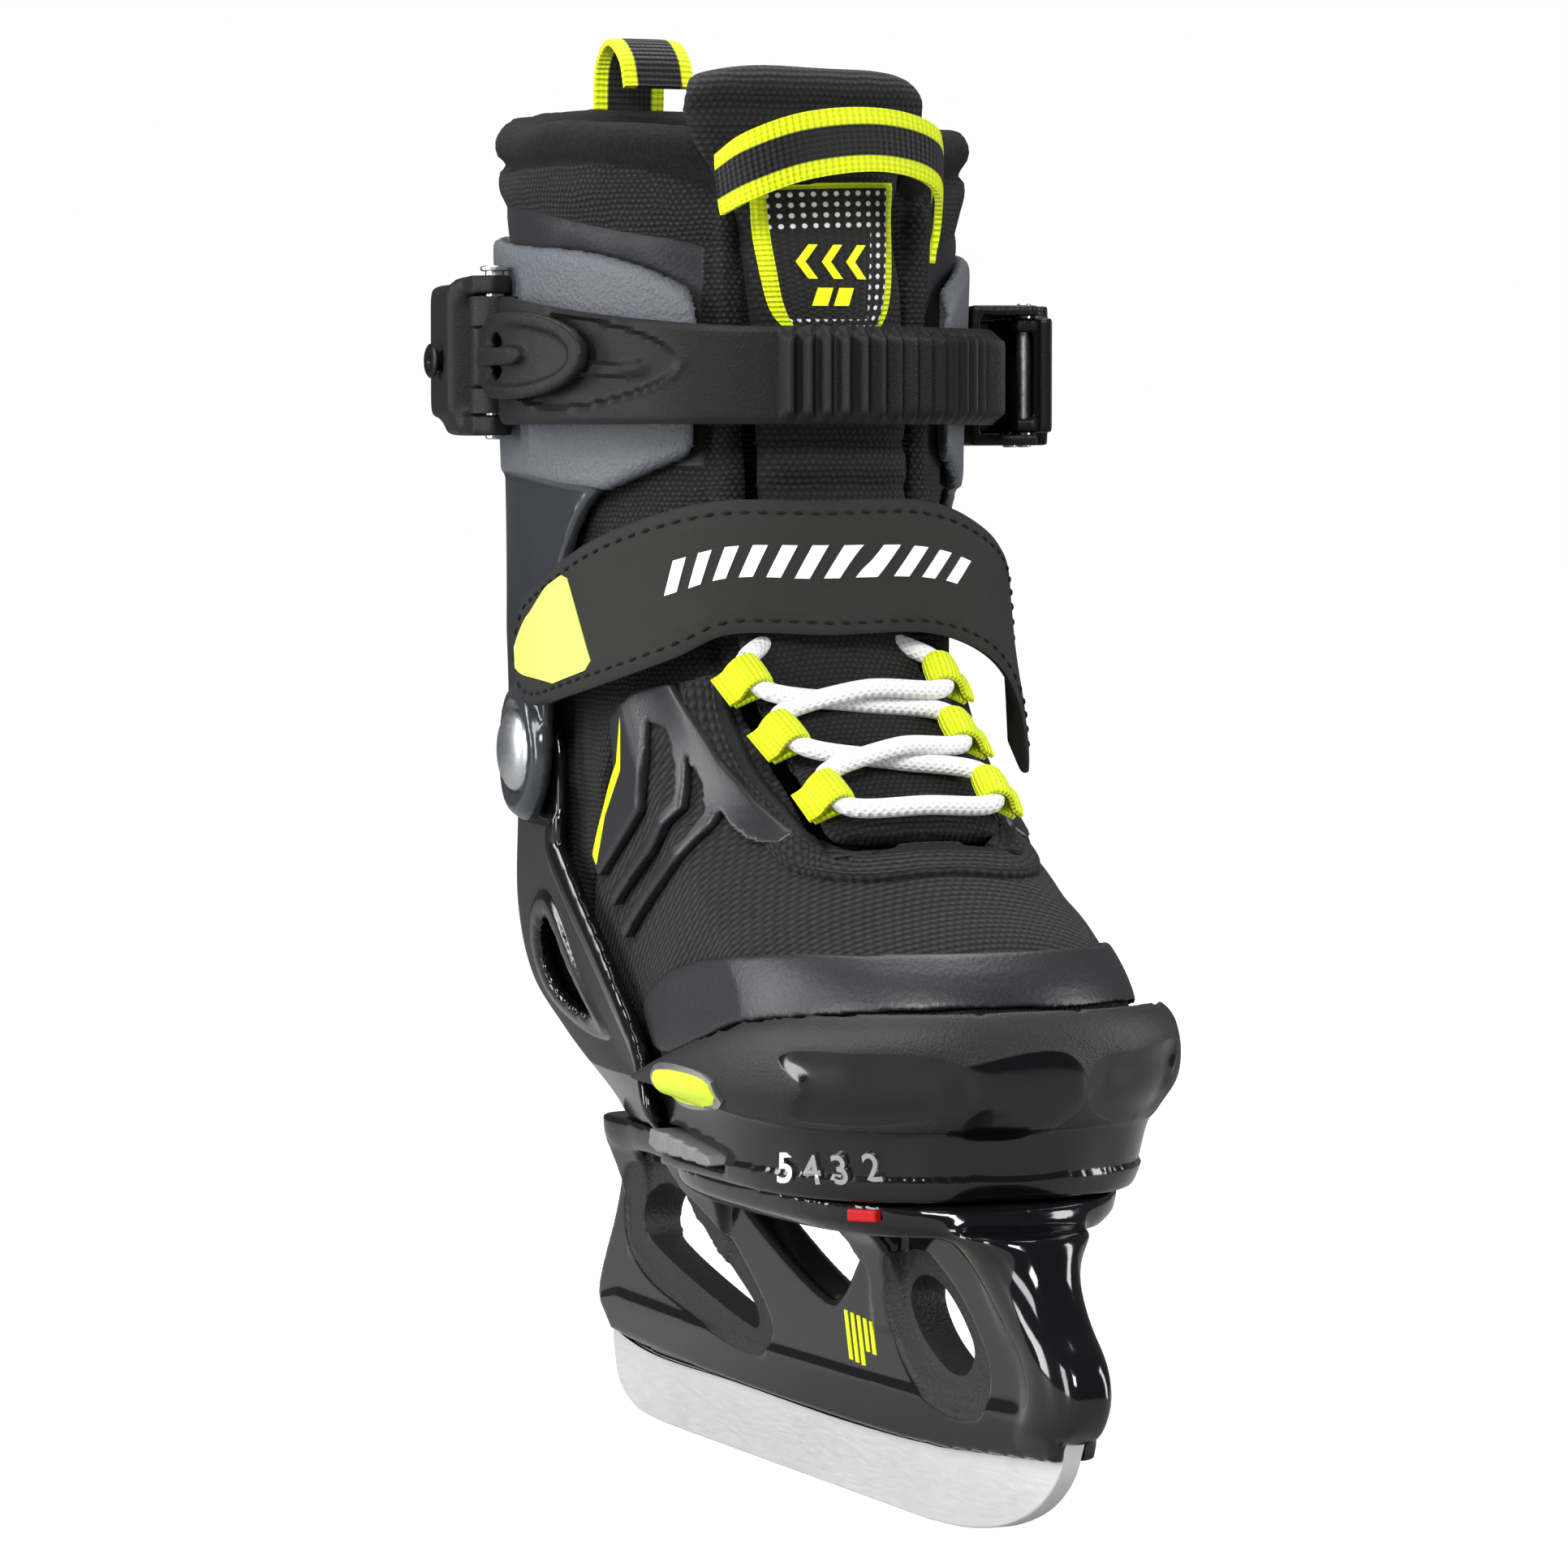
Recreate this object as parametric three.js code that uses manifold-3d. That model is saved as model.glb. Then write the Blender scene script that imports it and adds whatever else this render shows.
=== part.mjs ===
// Child's extendable ice skate for the left foot, in millimetres.
// +Z is up, the toe points along -Y, and Z = 0 is the ice under the blade.
import * as THREE from "three";
import { mergeVertices } from "three/addons/utils/BufferGeometryUtils.js";
import Module from "manifold-3d";

const wasm = await Module();
wasm.setup();

// ---------- driving dimensions ----------
const GAP = 0.35; // clearance between touching pieces
const BLADE_THICKNESS = 4;
const HOLDER_WEB = 9; // thickness of the blade holder's web
const DECK_TOP = 66; // top of the holder, where the shells sit
const SHELL_WALL = 2.6;
const SOFT_WALL = 3.4; // thickness of the soft upper
const ANKLE = { y: 59, z: 147, x: 43.4 }; // cuff pivot
const STRAP_PIN = { x: -50.5, y: 55, r: 2 }; // upright pin that the ratchet strap swings on
const STRAP_LOW = 214.5; // lower edge of the ratchet strap
const STRAP_HIGH = 234; // upper edge of its toothed part
const LADDER_RADIUS = { inner: 101, root: 103.2, tip: 105 }; // about the strap pin

// ---------- solids ----------
const degrees = (value) => (value * Math.PI) / 180;
const mix = (a, b, t) => a + (b - a) * t;

// Value of a table [[at, value], ...] at a place, on a smooth curve through its rows.
function along(table, at) {
  const last = table.length - 1;
  if (at <= table[0][0]) return table[0][1];
  if (at >= table[last][0]) return table[last][1];
  const i = table.findIndex((row) => row[0] > at) - 1;
  const [x0, y0] = table[i];
  const [x1, y1] = table[i + 1];
  const slope = (j) => {
    const a = table[Math.max(j - 1, 0)];
    const b = table[Math.min(j + 1, last)];
    return (b[1] - a[1]) / (b[0] - a[0]);
  };
  const t = (at - x0) / (x1 - x0);
  const s = x1 - x0;
  return (
    y0 * (2 * t ** 3 - 3 * t ** 2 + 1) +
    slope(i) * s * (t ** 3 - 2 * t ** 2 + t) +
    y1 * (3 * t ** 2 - 2 * t ** 3) +
    slope(i + 1) * s * (t ** 3 - t ** 2)
  );
}

function solidOf(geometry) {
  const bare = geometry.clone();
  for (const name of Object.keys(bare.attributes)) {
    if (name !== "position") bare.deleteAttribute(name);
  }
  const merged = mergeVertices(bare, 1e-3);
  const faces = new Uint32Array(merged.index.array);
  const make = () =>
    new wasm.Manifold(
      new wasm.Mesh({
        numProp: 3,
        vertProperties: new Float32Array(merged.attributes.position.array),
        triVerts: faces,
      }),
    );
  let solid = make();
  if (solid.volume() < 0) {
    for (let i = 0; i < faces.length; i += 3) {
      [faces[i + 1], faces[i + 2]] = [faces[i + 2], faces[i + 1]];
    }
    solid = make();
  }
  return solid;
}

function geometryOf(solid) {
  const mesh = solid.getMesh();
  const points = new Float32Array(mesh.numVert * 3);
  for (let i = 0; i < mesh.numVert; i++) {
    const from = i * mesh.numProp;
    points.set(mesh.vertProperties.subarray(from, from + 3), i * 3);
  }
  const geometry = new THREE.BufferGeometry();
  geometry.setAttribute("position", new THREE.BufferAttribute(points, 3));
  geometry.setIndex(new THREE.BufferAttribute(mesh.triVerts, 1));
  geometry.computeVertexNormals();
  return geometry;
}

// Closed solid through rings of [x, y, z] points, with a flat fan on the first and last ring.
function loft(rings) {
  const count = rings[0].length;
  const points = rings.flat(2);
  const faces = [];
  rings.slice(1).forEach((ring, r) => {
    for (let i = 0; i < count; i++) {
      const j = (i + 1) % count;
      const [a, b, c, d] = [r * count + i, r * count + j, (r + 1) * count + j, (r + 1) * count + i];
      faces.push(a, b, c, a, c, d);
    }
  });
  const fan = (ring, start, forward) => {
    const middle = points.length / 3;
    for (let k = 0; k < 3; k++) points.push(ring.reduce((sum, p) => sum + p[k], 0) / count);
    for (let i = 0; i < count; i++) {
      const j = (i + 1) % count;
      faces.push(middle, start + (forward ? i : j), start + (forward ? j : i));
    }
  };
  fan(rings[0], 0, false);
  fan(rings[rings.length - 1], (rings.length - 1) * count, true);
  const geometry = new THREE.BufferGeometry();
  geometry.setAttribute("position", new THREE.Float32BufferAttribute(points, 3));
  geometry.setIndex(faces);
  return solidOf(geometry);
}

// Flat outline [[a, b], ...] extruded along X between two x values; a is y and b is z.
function sideSlab(outline, x0, x1) {
  const shape = new THREE.Shape(outline.map(([y, z]) => new THREE.Vector2(y, z)));
  const geometry = new THREE.ExtrudeGeometry(shape, { depth: x1 - x0, bevelEnabled: false });
  const turn = new THREE.Matrix4().set(0, 0, 1, x0, 1, 0, 0, 0, 0, 1, 0, 0, 0, 0, 0, 1);
  return solidOf(geometry.applyMatrix4(turn));
}

// Flat outline [[x, y], ...] extruded upwards between two heights.
function planSlab(outline, z0, z1) {
  const shape = new THREE.Shape(outline.map(([x, y]) => new THREE.Vector2(x, y)));
  const geometry = new THREE.ExtrudeGeometry(shape, { depth: z1 - z0, bevelEnabled: false });
  return solidOf(geometry.translate(0, 0, z0));
}

function box(x0, x1, y0, y1, z0, z1) {
  const geometry = new THREE.BoxGeometry(x1 - x0, y1 - y0, z1 - z0);
  return solidOf(geometry.translate((x0 + x1) / 2, (y0 + y1) / 2, (z0 + z1) / 2));
}

// Round bar along X, Y or Z from one value to another on that axis.
function bar(axis, radius, from, to, x, y, z, sides = 20) {
  const geometry = new THREE.CylinderGeometry(radius, radius, to - from, sides);
  const middle = (from + to) / 2;
  if (axis === "x") geometry.rotateZ(Math.PI / 2).translate(middle, y, z);
  if (axis === "y") geometry.translate(x, middle, z);
  if (axis === "z") geometry.rotateX(Math.PI / 2).translate(x, y, middle);
  return solidOf(geometry);
}

// Smooth open curve through 2-D or 3-D points, sampled evenly.
function curvePoints(points, count) {
  const path = new THREE.CatmullRomCurve3(
    points.map((p) => new THREE.Vector3(p[0], p[1], p[2] ?? 0)),
    false,
    "centripetal",
  );
  return path.getSpacedPoints(count - 1).map((p) => (points[0].length === 2 ? [p.x, p.y] : [p.x, p.y, p.z]));
}

// ---------- the boot's own form ----------
// At each height: front and back ends, the widest place, half the width, and how square the two ends are.
const BOOT = {
  front: [
    [73, -85], [80, -89], [90, -90], [100, -89], [108, -85], [116, -76], [124, -63], [132, -50], [142, -37],
    [155, -24], [170, -14], [190, -8], [210, -5], [235, -3], [286, 0],
  ],
  back: [[73, 117], [80, 122], [95, 125], [120, 123], [142, 116], [170, 105], [200, 100], [235, 99], [286, 101]],
  widest: [[73, -35], [95, -35], [108, -25], [124, 2], [142, 26], [170, 42], [210, 47], [286, 48]],
  half: [
    [73, 37], [80, 40], [90, 41.5], [100, 41.5], [110, 41], [124, 39.6], [142, 37.3], [160, 37.2], [175, 38.6], [210, 40.2],
    [235, 42], [262, 46], [286, 45.5],
  ],
  squareFront: [[73, 2.3], [108, 2.2], [132, 2.1], [286, 2.2]],
  squareBack: [[73, 2.7], [108, 2.8], [142, 2.3], [286, 2.2]],
};

// Ring round the boot at height z, moved inwards by inset.
function bootRing(z, inset, count = 30) {
  const front = along(BOOT.front, z) + inset;
  const back = along(BOOT.back, z) - inset;
  const mid = along(BOOT.widest, z);
  const half = along(BOOT.half, z) - inset;
  const points = [];
  for (let i = 0; i < count; i++) {
    const angle = (2 * Math.PI * i) / count;
    const toFront = Math.sin(angle) < 0;
    const power = 2 / along(toFront ? BOOT.squareFront : BOOT.squareBack, z);
    const reach = toFront ? mid - front : back - mid;
    const x = half * Math.sign(Math.cos(angle)) * Math.abs(Math.cos(angle)) ** power;
    const y = mid + reach * Math.sign(Math.sin(angle)) * Math.abs(Math.sin(angle)) ** power;
    points.push([x, y, z]);
  }
  return points;
}

const BOOT_LEVELS = [80, 90, 103, 112, 120, 132, 142, 155, 170, 190, 210, 235, 262];

function bootSolid(inset, low, high) {
  const levels = [low, ...BOOT_LEVELS.filter((z) => z > low + 1 && z < high - 1), high];
  return loft(levels.map((z) => bootRing(z, inset)));
}

// ---------- blade and holder ----------
const BLADE = { heel: 109.5, toe: -113, top: 26.5 };

function bladeRunner() {
  const underside = curvePoints(
    [[BLADE.heel, 14], [106.5, 6], [98, 1.6], [86, 0.3], [70, 0]],
    8,
  );
  const toe = curvePoints([[-52, 0], [-70, 1.2], [-87, 4.4], [-101, 10], [-109, 16.5], [BLADE.toe, 24]], 10);
  const outline = [[BLADE.heel, BLADE.top], ...underside, ...toe, [BLADE.toe, BLADE.top]];
  return sideSlab(outline, -BLADE_THICKNESS / 2, BLADE_THICKNESS / 2);
}

const HOLDER_OUTLINE = [
  [96, 60.5], [101, 46], [111.5, 28], [112.5, 22], [108, 18.5], [90, 15], [38, 14.6], [-21, 14.4], [-58, 15.6],
  [-88, 18.4], [-108, 22], [-117, 26], [-120.5, 32], [-118, 39], [-111, 45], [-104, 54], [-101, 60.5],
];

const HOLDER_WINDOWS = {
  rear: [[86, 45], [80, 51.5], [70, 52.5], [58, 49.5], [42, 40], [26, 31], [25.5, 28], [31, 28], [78, 38], [85, 41]],
  middle: [[34, 55.5], [-28, 55.5], [-21, 44], [-14, 39], [-8, 39.5], [16, 47]],
  front: [[-48, 44], [-52, 48], [-61, 48], [-72, 42], [-77, 36], [-73, 31.5], [-65, 31.5], [-52, 38]],
};

// Half the width of the deck under the shells: broad at the ball of the foot, slim at the heel.
const DECK_HALF = [[-92, 0], [-88, 14], [-80, 24], [-66, 32], [-45, 35], [-12, 35], [6, 31], [25, 22], [45, 14], [80, 10.5], [98, 9], [101, 0]];

function deckRing(z, share) {
  const rows = DECK_HALF.slice(1, -1);
  const right = rows.map(([y, half]) => [half * share, y, z]);
  return [[0, -92 * mix(share, 1, 0.5), z], ...right, [0, 101 * mix(share, 1, 0.6), z], ...right.map(([x, y]) => [-x, y, z]).reverse()];
}

function bladeHolder() {
  const web = sideSlab(HOLDER_OUTLINE, -HOLDER_WEB / 2, HOLDER_WEB / 2);
  const deck = loft([deckRing(59.5, 0.86), deckRing(62, 0.97), deckRing(DECK_TOP, 1)]);
  const brace = (y0, y1, lowHalf, highHalf) =>
    loft([
      [[-lowHalf, y0 + 4, 42], [lowHalf, y0 + 4, 42], [lowHalf, y1 - 4, 42], [-lowHalf, y1 - 4, 42]],
      [[-lowHalf - 3, y0 + 2, 52], [lowHalf + 3, y0 + 2, 52], [lowHalf + 3, y1 - 2, 52], [-lowHalf - 3, y1 - 2, 52]],
      [[-highHalf, y0, 61], [highHalf, y0, 61], [highHalf, y1, 61], [-highHalf, y1, 61]],
    ]);
  const frontPost = sideSlab([[-99, 66], [-113, 38], [-108, 30], [-88, 45], [-74, 66]], -7.5, 7.5);
  let holder = web.add(deck);
  holder = holder.add(frontPost.intersect(box(-9, 9, -130, -70, 28, 61)));
  holder = holder.add(brace(36, 58, 5, 11)).add(brace(-48, -30, 5, 15)).add(brace(82, 97, 4, 8));
  for (const outline of Object.values(HOLDER_WINDOWS)) {
    holder = holder.subtract(sideSlab(outline, -30, 30));
  }
  const slot = BLADE_THICKNESS / 2 + GAP;
  holder = holder.subtract(box(-slot, slot, BLADE.toe - GAP, BLADE.heel + GAP, 0, BLADE.top + GAP));
  for (const { y, low } of HOLDER_BOLTS) holder = holder.subtract(bar("z", 2.6, low - GAP, 80, 0, y, 0, 12));
  return holder;
}

// ---------- size lock in the toe shell ----------
const HOLDER_BOLTS = [{ y: 52, low: 47 }, { y: 88, low: 56 }];
const BUTTON = {
  outline: [[-8.8, 71.4], [-9.6, 74.6], [-18, 74.2], [-38, 72], [-40, 70.4], [-38, 69.9], [-13, 70.2]],
  outer: -43.2,
  inner: -36,
  centre: [-24, 72.1],
};
const SPRING = { y: -24, z: 72, coilRadius: 1.3, wire: 0.42, from: -35.2, to: -27.4 };

function buttonSlot() {
  const [y0, z0] = BUTTON.centre;
  const wider = BUTTON.outline.map(([y, z]) => [y0 + (y - y0) * 1.03, z0 + (z - z0) * 1.18]);
  return sideSlab(wider, -50, -34);
}

function sizeButton() {
  let button = sideSlab(BUTTON.outline, BUTTON.outer, BUTTON.inner);
  for (const y of [-17, -24, -31]) button = button.subtract(bar("z", 2.4, 60, 80, BUTTON.outer - 1.5, y, 0, 14));
  return button;
}

function buttonSpring() {
  const turns = 4;
  const steps = turns * 10;
  const points = [];
  for (let i = 0; i <= steps; i++) {
    const angle = (2 * Math.PI * turns * i) / steps;
    const x = mix(SPRING.from - 0.3 + SPRING.wire, SPRING.to - SPRING.wire, i / steps);
    points.push(
      new THREE.Vector3(x, SPRING.y + SPRING.coilRadius * Math.cos(angle), SPRING.z + SPRING.coilRadius * Math.sin(angle)),
    );
  }
  const section = new THREE.Shape();
  section.absarc(0, 0, SPRING.wire, 0, 2 * Math.PI, false);
  const geometry = new THREE.ExtrudeGeometry(section, {
    steps: 44,
    curveSegments: 2,
    bevelEnabled: false,
    extrudePath: new THREE.CatmullRomCurve3(points),
  });
  return solidOf(geometry);
}

// Bolt from the shell's floor down into the holder.
function deckBolt({ y, low }) {
  const floor = DECK_TOP + GAP + 3.4;
  return bar("z", 2.2, low, floor, 0, y, 0, 12).add(bar("z", 4.2, floor, floor + 1.6, 0, y, 0, 12));
}

// ---------- hard shells ----------
const RIM_FRONT = 103.6; // height of the toe shell's rim at the toe
const rimHeight = (y) => RIM_FRONT - 0.0023 * Math.max(y + 95, 0) ** 2;
const TOE_PROFILE = [[66.4, 9], [70, 7.6], [77, 6], [83, 3.4], [87, 0.8], [92, 0], [97, 0.4], [101, 1.8], [RIM_FRONT, 4]];

// Ring round the toe shell: a rounded toe, then near-straight sides back to rearY.
function toeRing(z, inset, rearY, follow) {
  const points = [];
  const sides = 18;
  const place = (x, y) => {
    const share = follow && z > 83 ? (rimHeight(y) - 83) / (RIM_FRONT - 83) : 1;
    points.push([x, y, z > 83 ? 83 + (z - 83) * Math.max(share, 0.06) : z]);
  };
  const half = 48 - inset;
  for (const y of [rearY, mix(rearY, -40, 0.5)]) place(-half + 0.02 * (y + 40), y);
  for (let i = 0; i <= sides; i++) {
    const angle = (Math.PI * i) / sides;
    const x = -half * Math.sign(Math.cos(angle)) * Math.abs(Math.cos(angle)) ** 0.8;
    place(x, -40 - (57 - inset) * Math.sin(angle) ** 0.8);
  }
  for (const y of [mix(rearY, -40, 0.5), rearY]) place(half - 0.02 * (y + 40), y);
  return points;
}

// Line of the rear shell's front edge, seen from the side.
const railY = (z) => (z < 78.5 ? -1 - (z - 66) * 0.85 : -12 + (z - 78) / 0.85);
const RAIL_LEVELS = [50, 66, 72.5, 78.5, 112];

function toeShell() {
  const outer = loft(TOE_PROFILE.map(([z, inset]) => toeRing(z, inset, 0, true)));
  const inner = loft(
    [[69.4, 10.5], [77, 8.8], [83, 6.4], [88, 3.4], [92, 2.7], [97, 3], [101, 4.3], [108, 4.3]].map(([z, inset]) =>
      toeRing(z, inset, 30, false),
    ),
  );
  const bow = outer.subtract(inner);
  const ahead = sideSlab([...RAIL_LEVELS.map((z) => [railY(z) - 1, z]), [-140, 112], [-140, 50]], -60, 60);
  const skirtRings = (inset) => loft([60, 71, 80, 86, 97].map((z) => heelRing(z, SHELL_WALL + GAP + inset)));
  const skirt = skirtRings(0).subtract(skirtRings(1.8));
  const stop = box(SPRING.to + GAP, SPRING.to + 3, -28, -20, 69, 73.6);
  const shell = bow.intersect(ahead).add(skirt.intersect(box(-60, 60, -22, 16, 70.4, 88.8))).add(stop);
  const recess = vents().subtract(loft(TOE_PROFILE.map(([z, inset]) => toeRing(z, inset + 1.1, 5, true))));
  return largest(shell.subtract(recess).subtract(buttonSlot()));
}

// Shallow scoops on both sides of the toe, seen from the front.
function vents() {
  const inner = [[42, 94.5], [24, 94], [15, 91], [13, 87], [20, 83.5], [39, 83.5], [40, 89]];
  const outer = [[-36, 94.5], [-22, 94], [-12, 91], [-11, 87], [-16, 83.5], [-33, 83.5], [-34.5, 89]];
  return sideSlab(inner, -110, -60).add(sideSlab(outer, -110, -60)).rotate([0, 0, 90]);
}

// Thin name plate let into the inner side of the toe shell.
function labelPlate() {
  const skin = (out) => loft(TOE_PROFILE.map(([z, inset]) => toeRing(z, inset - out, 0, true)));
  const outline = [[-24, 82.5], [-23, 86.5], [-25, 88], [-47, 88.6], [-49.5, 87.5], [-50, 84.5], [-47.5, 83], [-26, 81.4]];
  return largest(skin(1.1).subtract(skin(0.3)).intersect(sideSlab(outline, -60, -30)));
}

function largest(solid) {
  return solid.decompose().sort((a, b) => b.volume() - a.volume())[0];
}

// Rear shell: floor, heel cup and the two ankle lugs. Its sides narrow to the holder like a hull.
const HEEL = {
  middle: 45, // the heel is an ellipse about this y
  half: [[66, 12.5], [71, 16], [80, 24], [86, 28.5], [97, 36], [112, 39.6], [130, 40.4], [162, 40.6]],
  back: [[66, 98], [71, 101], [80, 108], [86, 113], [97, 118], [112, 120.5], [130, 118], [162, 112]],
  front: [[66, 34.5], [72, 41], [78, 45], [90, 46], [102, 45], [114, 44], [134, 41.5], [162, 40.6]],
};

function heelRing(z, inset, frontEnd = -32) {
  const { middle } = HEEL;
  const half = along(HEEL.half, z) - inset;
  const front = along(HEEL.front, z) - inset;
  const back = along(HEEL.back, z) - inset;
  const side = (y) => mix(half, front, Math.min(1, (middle - y) / 57) ** 1.3);
  const points = [frontEnd, -24, -12, 4, 20, 34].map((y) => [-side(y), y, z]);
  for (let i = 0; i <= 18; i++) {
    const angle = (Math.PI * i) / 18;
    points.push([-half * Math.cos(angle), middle + (back - middle) * Math.sin(angle), z]);
  }
  return [...points, ...[34, 20, 4, -12, -24, frontEnd].map((y) => [side(y), y, z])];
}

const HEEL_PROFILE = [
  [-1, 60], [-1, 66], [railY(72.5), 72.5], [-11.6, 78.5], [46, 128], [47, 148], [51, 156], [59, 159], [67, 156], [72, 148], [80, 139],
  [94, 132], [108, 127], [140, 124], [140, 60],
];

function heelShell() {
  const levels = [DECK_TOP + GAP, 71, 80, 86, 97, 104, 112, 130, 162];
  const outer = loft(levels.map((z) => heelRing(z, 0)));
  const inner = loft([69.4, ...levels.slice(1, -1), 170].map((z) => heelRing(z, SHELL_WALL)));
  let shell = outer.subtract(inner).intersect(sideSlab(HEEL_PROFILE, -60, 60));
  const windowOutline = curvePoints([[54, 113], [63, 108], [63, 98], [50, 92], [42, 94], [46, 103], [54, 113]], 14);
  shell = shell.subtract(sideSlab(windowOutline.slice(0, -1), -60, -30));
  shell = shell.subtract(sideSlab(windowOutline.slice(0, -1), 30, 60));
  shell = shell.subtract(bar("x", 3.4, -60, 60, 0, ANKLE.y, ANKLE.z, 20));
  for (const { y } of HOLDER_BOLTS) shell = shell.subtract(bar("z", 2.6, 60, 72, 0, y, 0, 12));
  return largest(shell);
}

function sizePointer() {
  const deck = loft([deckRing(58, 1.012), deckRing(68, 1.012)]);
  return planSlab([[-30, -74], [-26, -80.5], [-23, -79], [-26, -73]], 62.2, 65.6).subtract(deck);
}

// ---------- soft boot ----------
// The boot's form where it stands inside the rear shell.
function footSolid(inset, low, high) {
  const room = SHELL_WALL + 2.6 + inset;
  const levels = [60, 66, 71, 80, 86, 97, 112, 130, 162, 215];
  return bootSolid(inset, low, high).intersect(loft(levels.map((z) => heelRing(z, room, -150))));
}

const toeJoin = (z) => 18 + (165 - z) * 0.5; // rear edge of the sliding front upper, seen from the side
const FLEX_LOW = [[150, 124], [ANKLE.y, 147.5], [-60, 184]]; // top of the fixed soft heel
const FLEX_HIGH = [[150, 143], [ANKLE.y, 149], [-60, 207]]; // bottom of the shaft that moves with the cuff
const COLLAR = [[-12, 248], [-4, 256], [10, 265], [35, 271], [62, 275], [84, 280], [104, 283]];
const THROAT = 17; // half width of the gap in the shaft that the tongue shows through
const VAMP_THROAT = 20; // and in the front upper

function frontUpper() {
  const wall = footSolid(0, 77, 180).subtract(footSolid(SOFT_WALL, 70, 190));
  const keep = sideSlab(
    [[toeJoin(77), 77], [toeJoin(152), 152], ...FLEX_LOW.slice(2), [-140, 184], [-140, 77]],
    -60,
    60,
  );
  const throat = sideSlab([[-47, 120], [-47, 200], [80, 200], [80, 140]], -VAMP_THROAT, VAMP_THROAT);
  return largest(wall.intersect(keep).subtract(throat));
}

function heelUpper() {
  const wall = footSolid(0.2, 77, 200).subtract(footSolid(SOFT_WALL + 0.2, 70, 210));
  const join = [toeJoin(77) + 0.8, toeJoin(196) + 0.8];
  const keep = sideSlab([[join[0], 77], ...[...FLEX_LOW].reverse().slice(1), [150, 77]], -60, 60);
  const ahead = sideSlab([[join[0], 77], [join[1], 196], [-140, 196], [-140, 77]], -60, 60);
  return largest(wall.intersect(keep).subtract(ahead).subtract(rivetRoom()));
}

// Dents in the soft wall round the inner ends of the ankle rivets.
function rivetRoom() {
  const dent = (from, to) => bar("x", 6.6, from, to, 0, ANKLE.y, ANKLE.z, 16);
  return dent(-60, 9.1 - ANKLE.x).add(dent(ANKLE.x - 9.1, 60));
}

// Stretch lining behind the join, which closes the gap as the toe slides out.
function gusset(side) {
  const wall = footSolid(SOFT_WALL + 5.2, 90, 138).subtract(footSolid(SOFT_WALL + 6.5, 85, 142));
  const keep = [[toeJoin(90) - 24, 90], [toeJoin(138) - 24, 138], [toeJoin(138) + 12, 138], [toeJoin(90) + 12, 90]];
  return largest(wall.intersect(side < 0 ? sideSlab(keep, -60, -22) : sideSlab(keep, 22, 60)));
}

function shaftUpper() {
  const wall = bootSolid(0, 146, 289).subtract(bootSolid(8, 140, 292));
  const keep = sideSlab([...FLEX_HIGH, ...COLLAR], -60, 60);
  const gap = box(-THROAT - 1, THROAT + 1, -60, 30, 130, 300);
  const room = cuffWall(-GAP, 2.8 + GAP).intersect(sideSlab(CUFF_PROFILE, -60, 60));
  return largest(wall.intersect(keep).subtract(gap).subtract(room).subtract(rivetRoom()));
}

// Front face of the tongue, seen from the side, and how thick the padding is.
const TONGUE_FACE = [[2, 287], [-4, 281], [-6, 260], [-7, 235], [-8.5, 215], [-10, 206]];
const TONGUE_VAMP = [[-13, 178], [-17, 169], [-27, 155], [-38, 143], [-47, 135]];

function tonguePad(face, thickness, half) {
  const line = curvePoints(face, 9);
  const ring = line.map(([y, z], i) => {
    const before = line[Math.max(i - 1, 0)];
    const after = line[Math.min(i + 1, line.length - 1)];
    const length = Math.hypot(after[0] - before[0], after[1] - before[1]);
    const [ny, nz] = [-(after[1] - before[1]) / length, (after[0] - before[0]) / length];
    const width = half(z);
    const section = [];
    for (const x of [-1, -0.6, 0, 0.6, 1]) section.push([x * width, y + 3.2 * x * x, z]);
    for (const x of [1, 0.6, 0, -0.6, -1]) {
      section.push([x * width, y + ny * thickness * (1 - 0.3 * x * x), z + nz * thickness * (1 - 0.3 * x * x)]);
    }
    return section;
  });
  return loft(ring);
}

function tongue() {
  const pad = tonguePad(TONGUE_FACE, 10, (z) => (z > 252 ? 26 : 16.5));
  return pad.subtract(bootSolid(-0.4, 200, 262).subtract(bootSolid(8.4, 200, 262)).subtract(box(-18, 18, -60, 40, 190, 300)));
}

function tongueVamp() {
  return tonguePad(TONGUE_VAMP, 5, () => 18.7);
}

// Insole: its heel sits higher than its toe.
function footbed() {
  const halves = [
    [-80, 8], [-75, 18], [-66, 26], [-50, 29], [-36, 28], [-26, 25.5], [-15, 21.5], [-5, 18.5], [6, 16.5], [20, 14.5],
    [40, 13.5], [60, 13], [80, 12], [92, 9], [97, 4],
  ];
  const rise = (y) => 74 + 12 * Math.max(0, Math.min(1, (y + 50) / 120)) ** 1.5;
  const ring = (lift) => [
    ...halves.map(([y, half]) => [half, y, rise(y) + lift]),
    ...halves.map(([y, half]) => [-half, y, rise(y) + lift]).reverse(),
  ];
  return loft([ring(0), ring(3)]);
}

// Panel that lies on the sliding front upper, cut to an outline seen from the side.
function sidePanel(outline, side, low, high, lift = 0.35, thickness = 1.2) {
  const skin = footSolid(-lift - thickness, low, high).subtract(footSolid(-lift, low - 5, high + 5));
  const reach = side < 0 ? [-60, -VAMP_THROAT - 0.2] : [VAMP_THROAT + 0.2, 60];
  return largest(skin.intersect(sideSlab(outline, reach[0], reach[1])));
}

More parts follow.
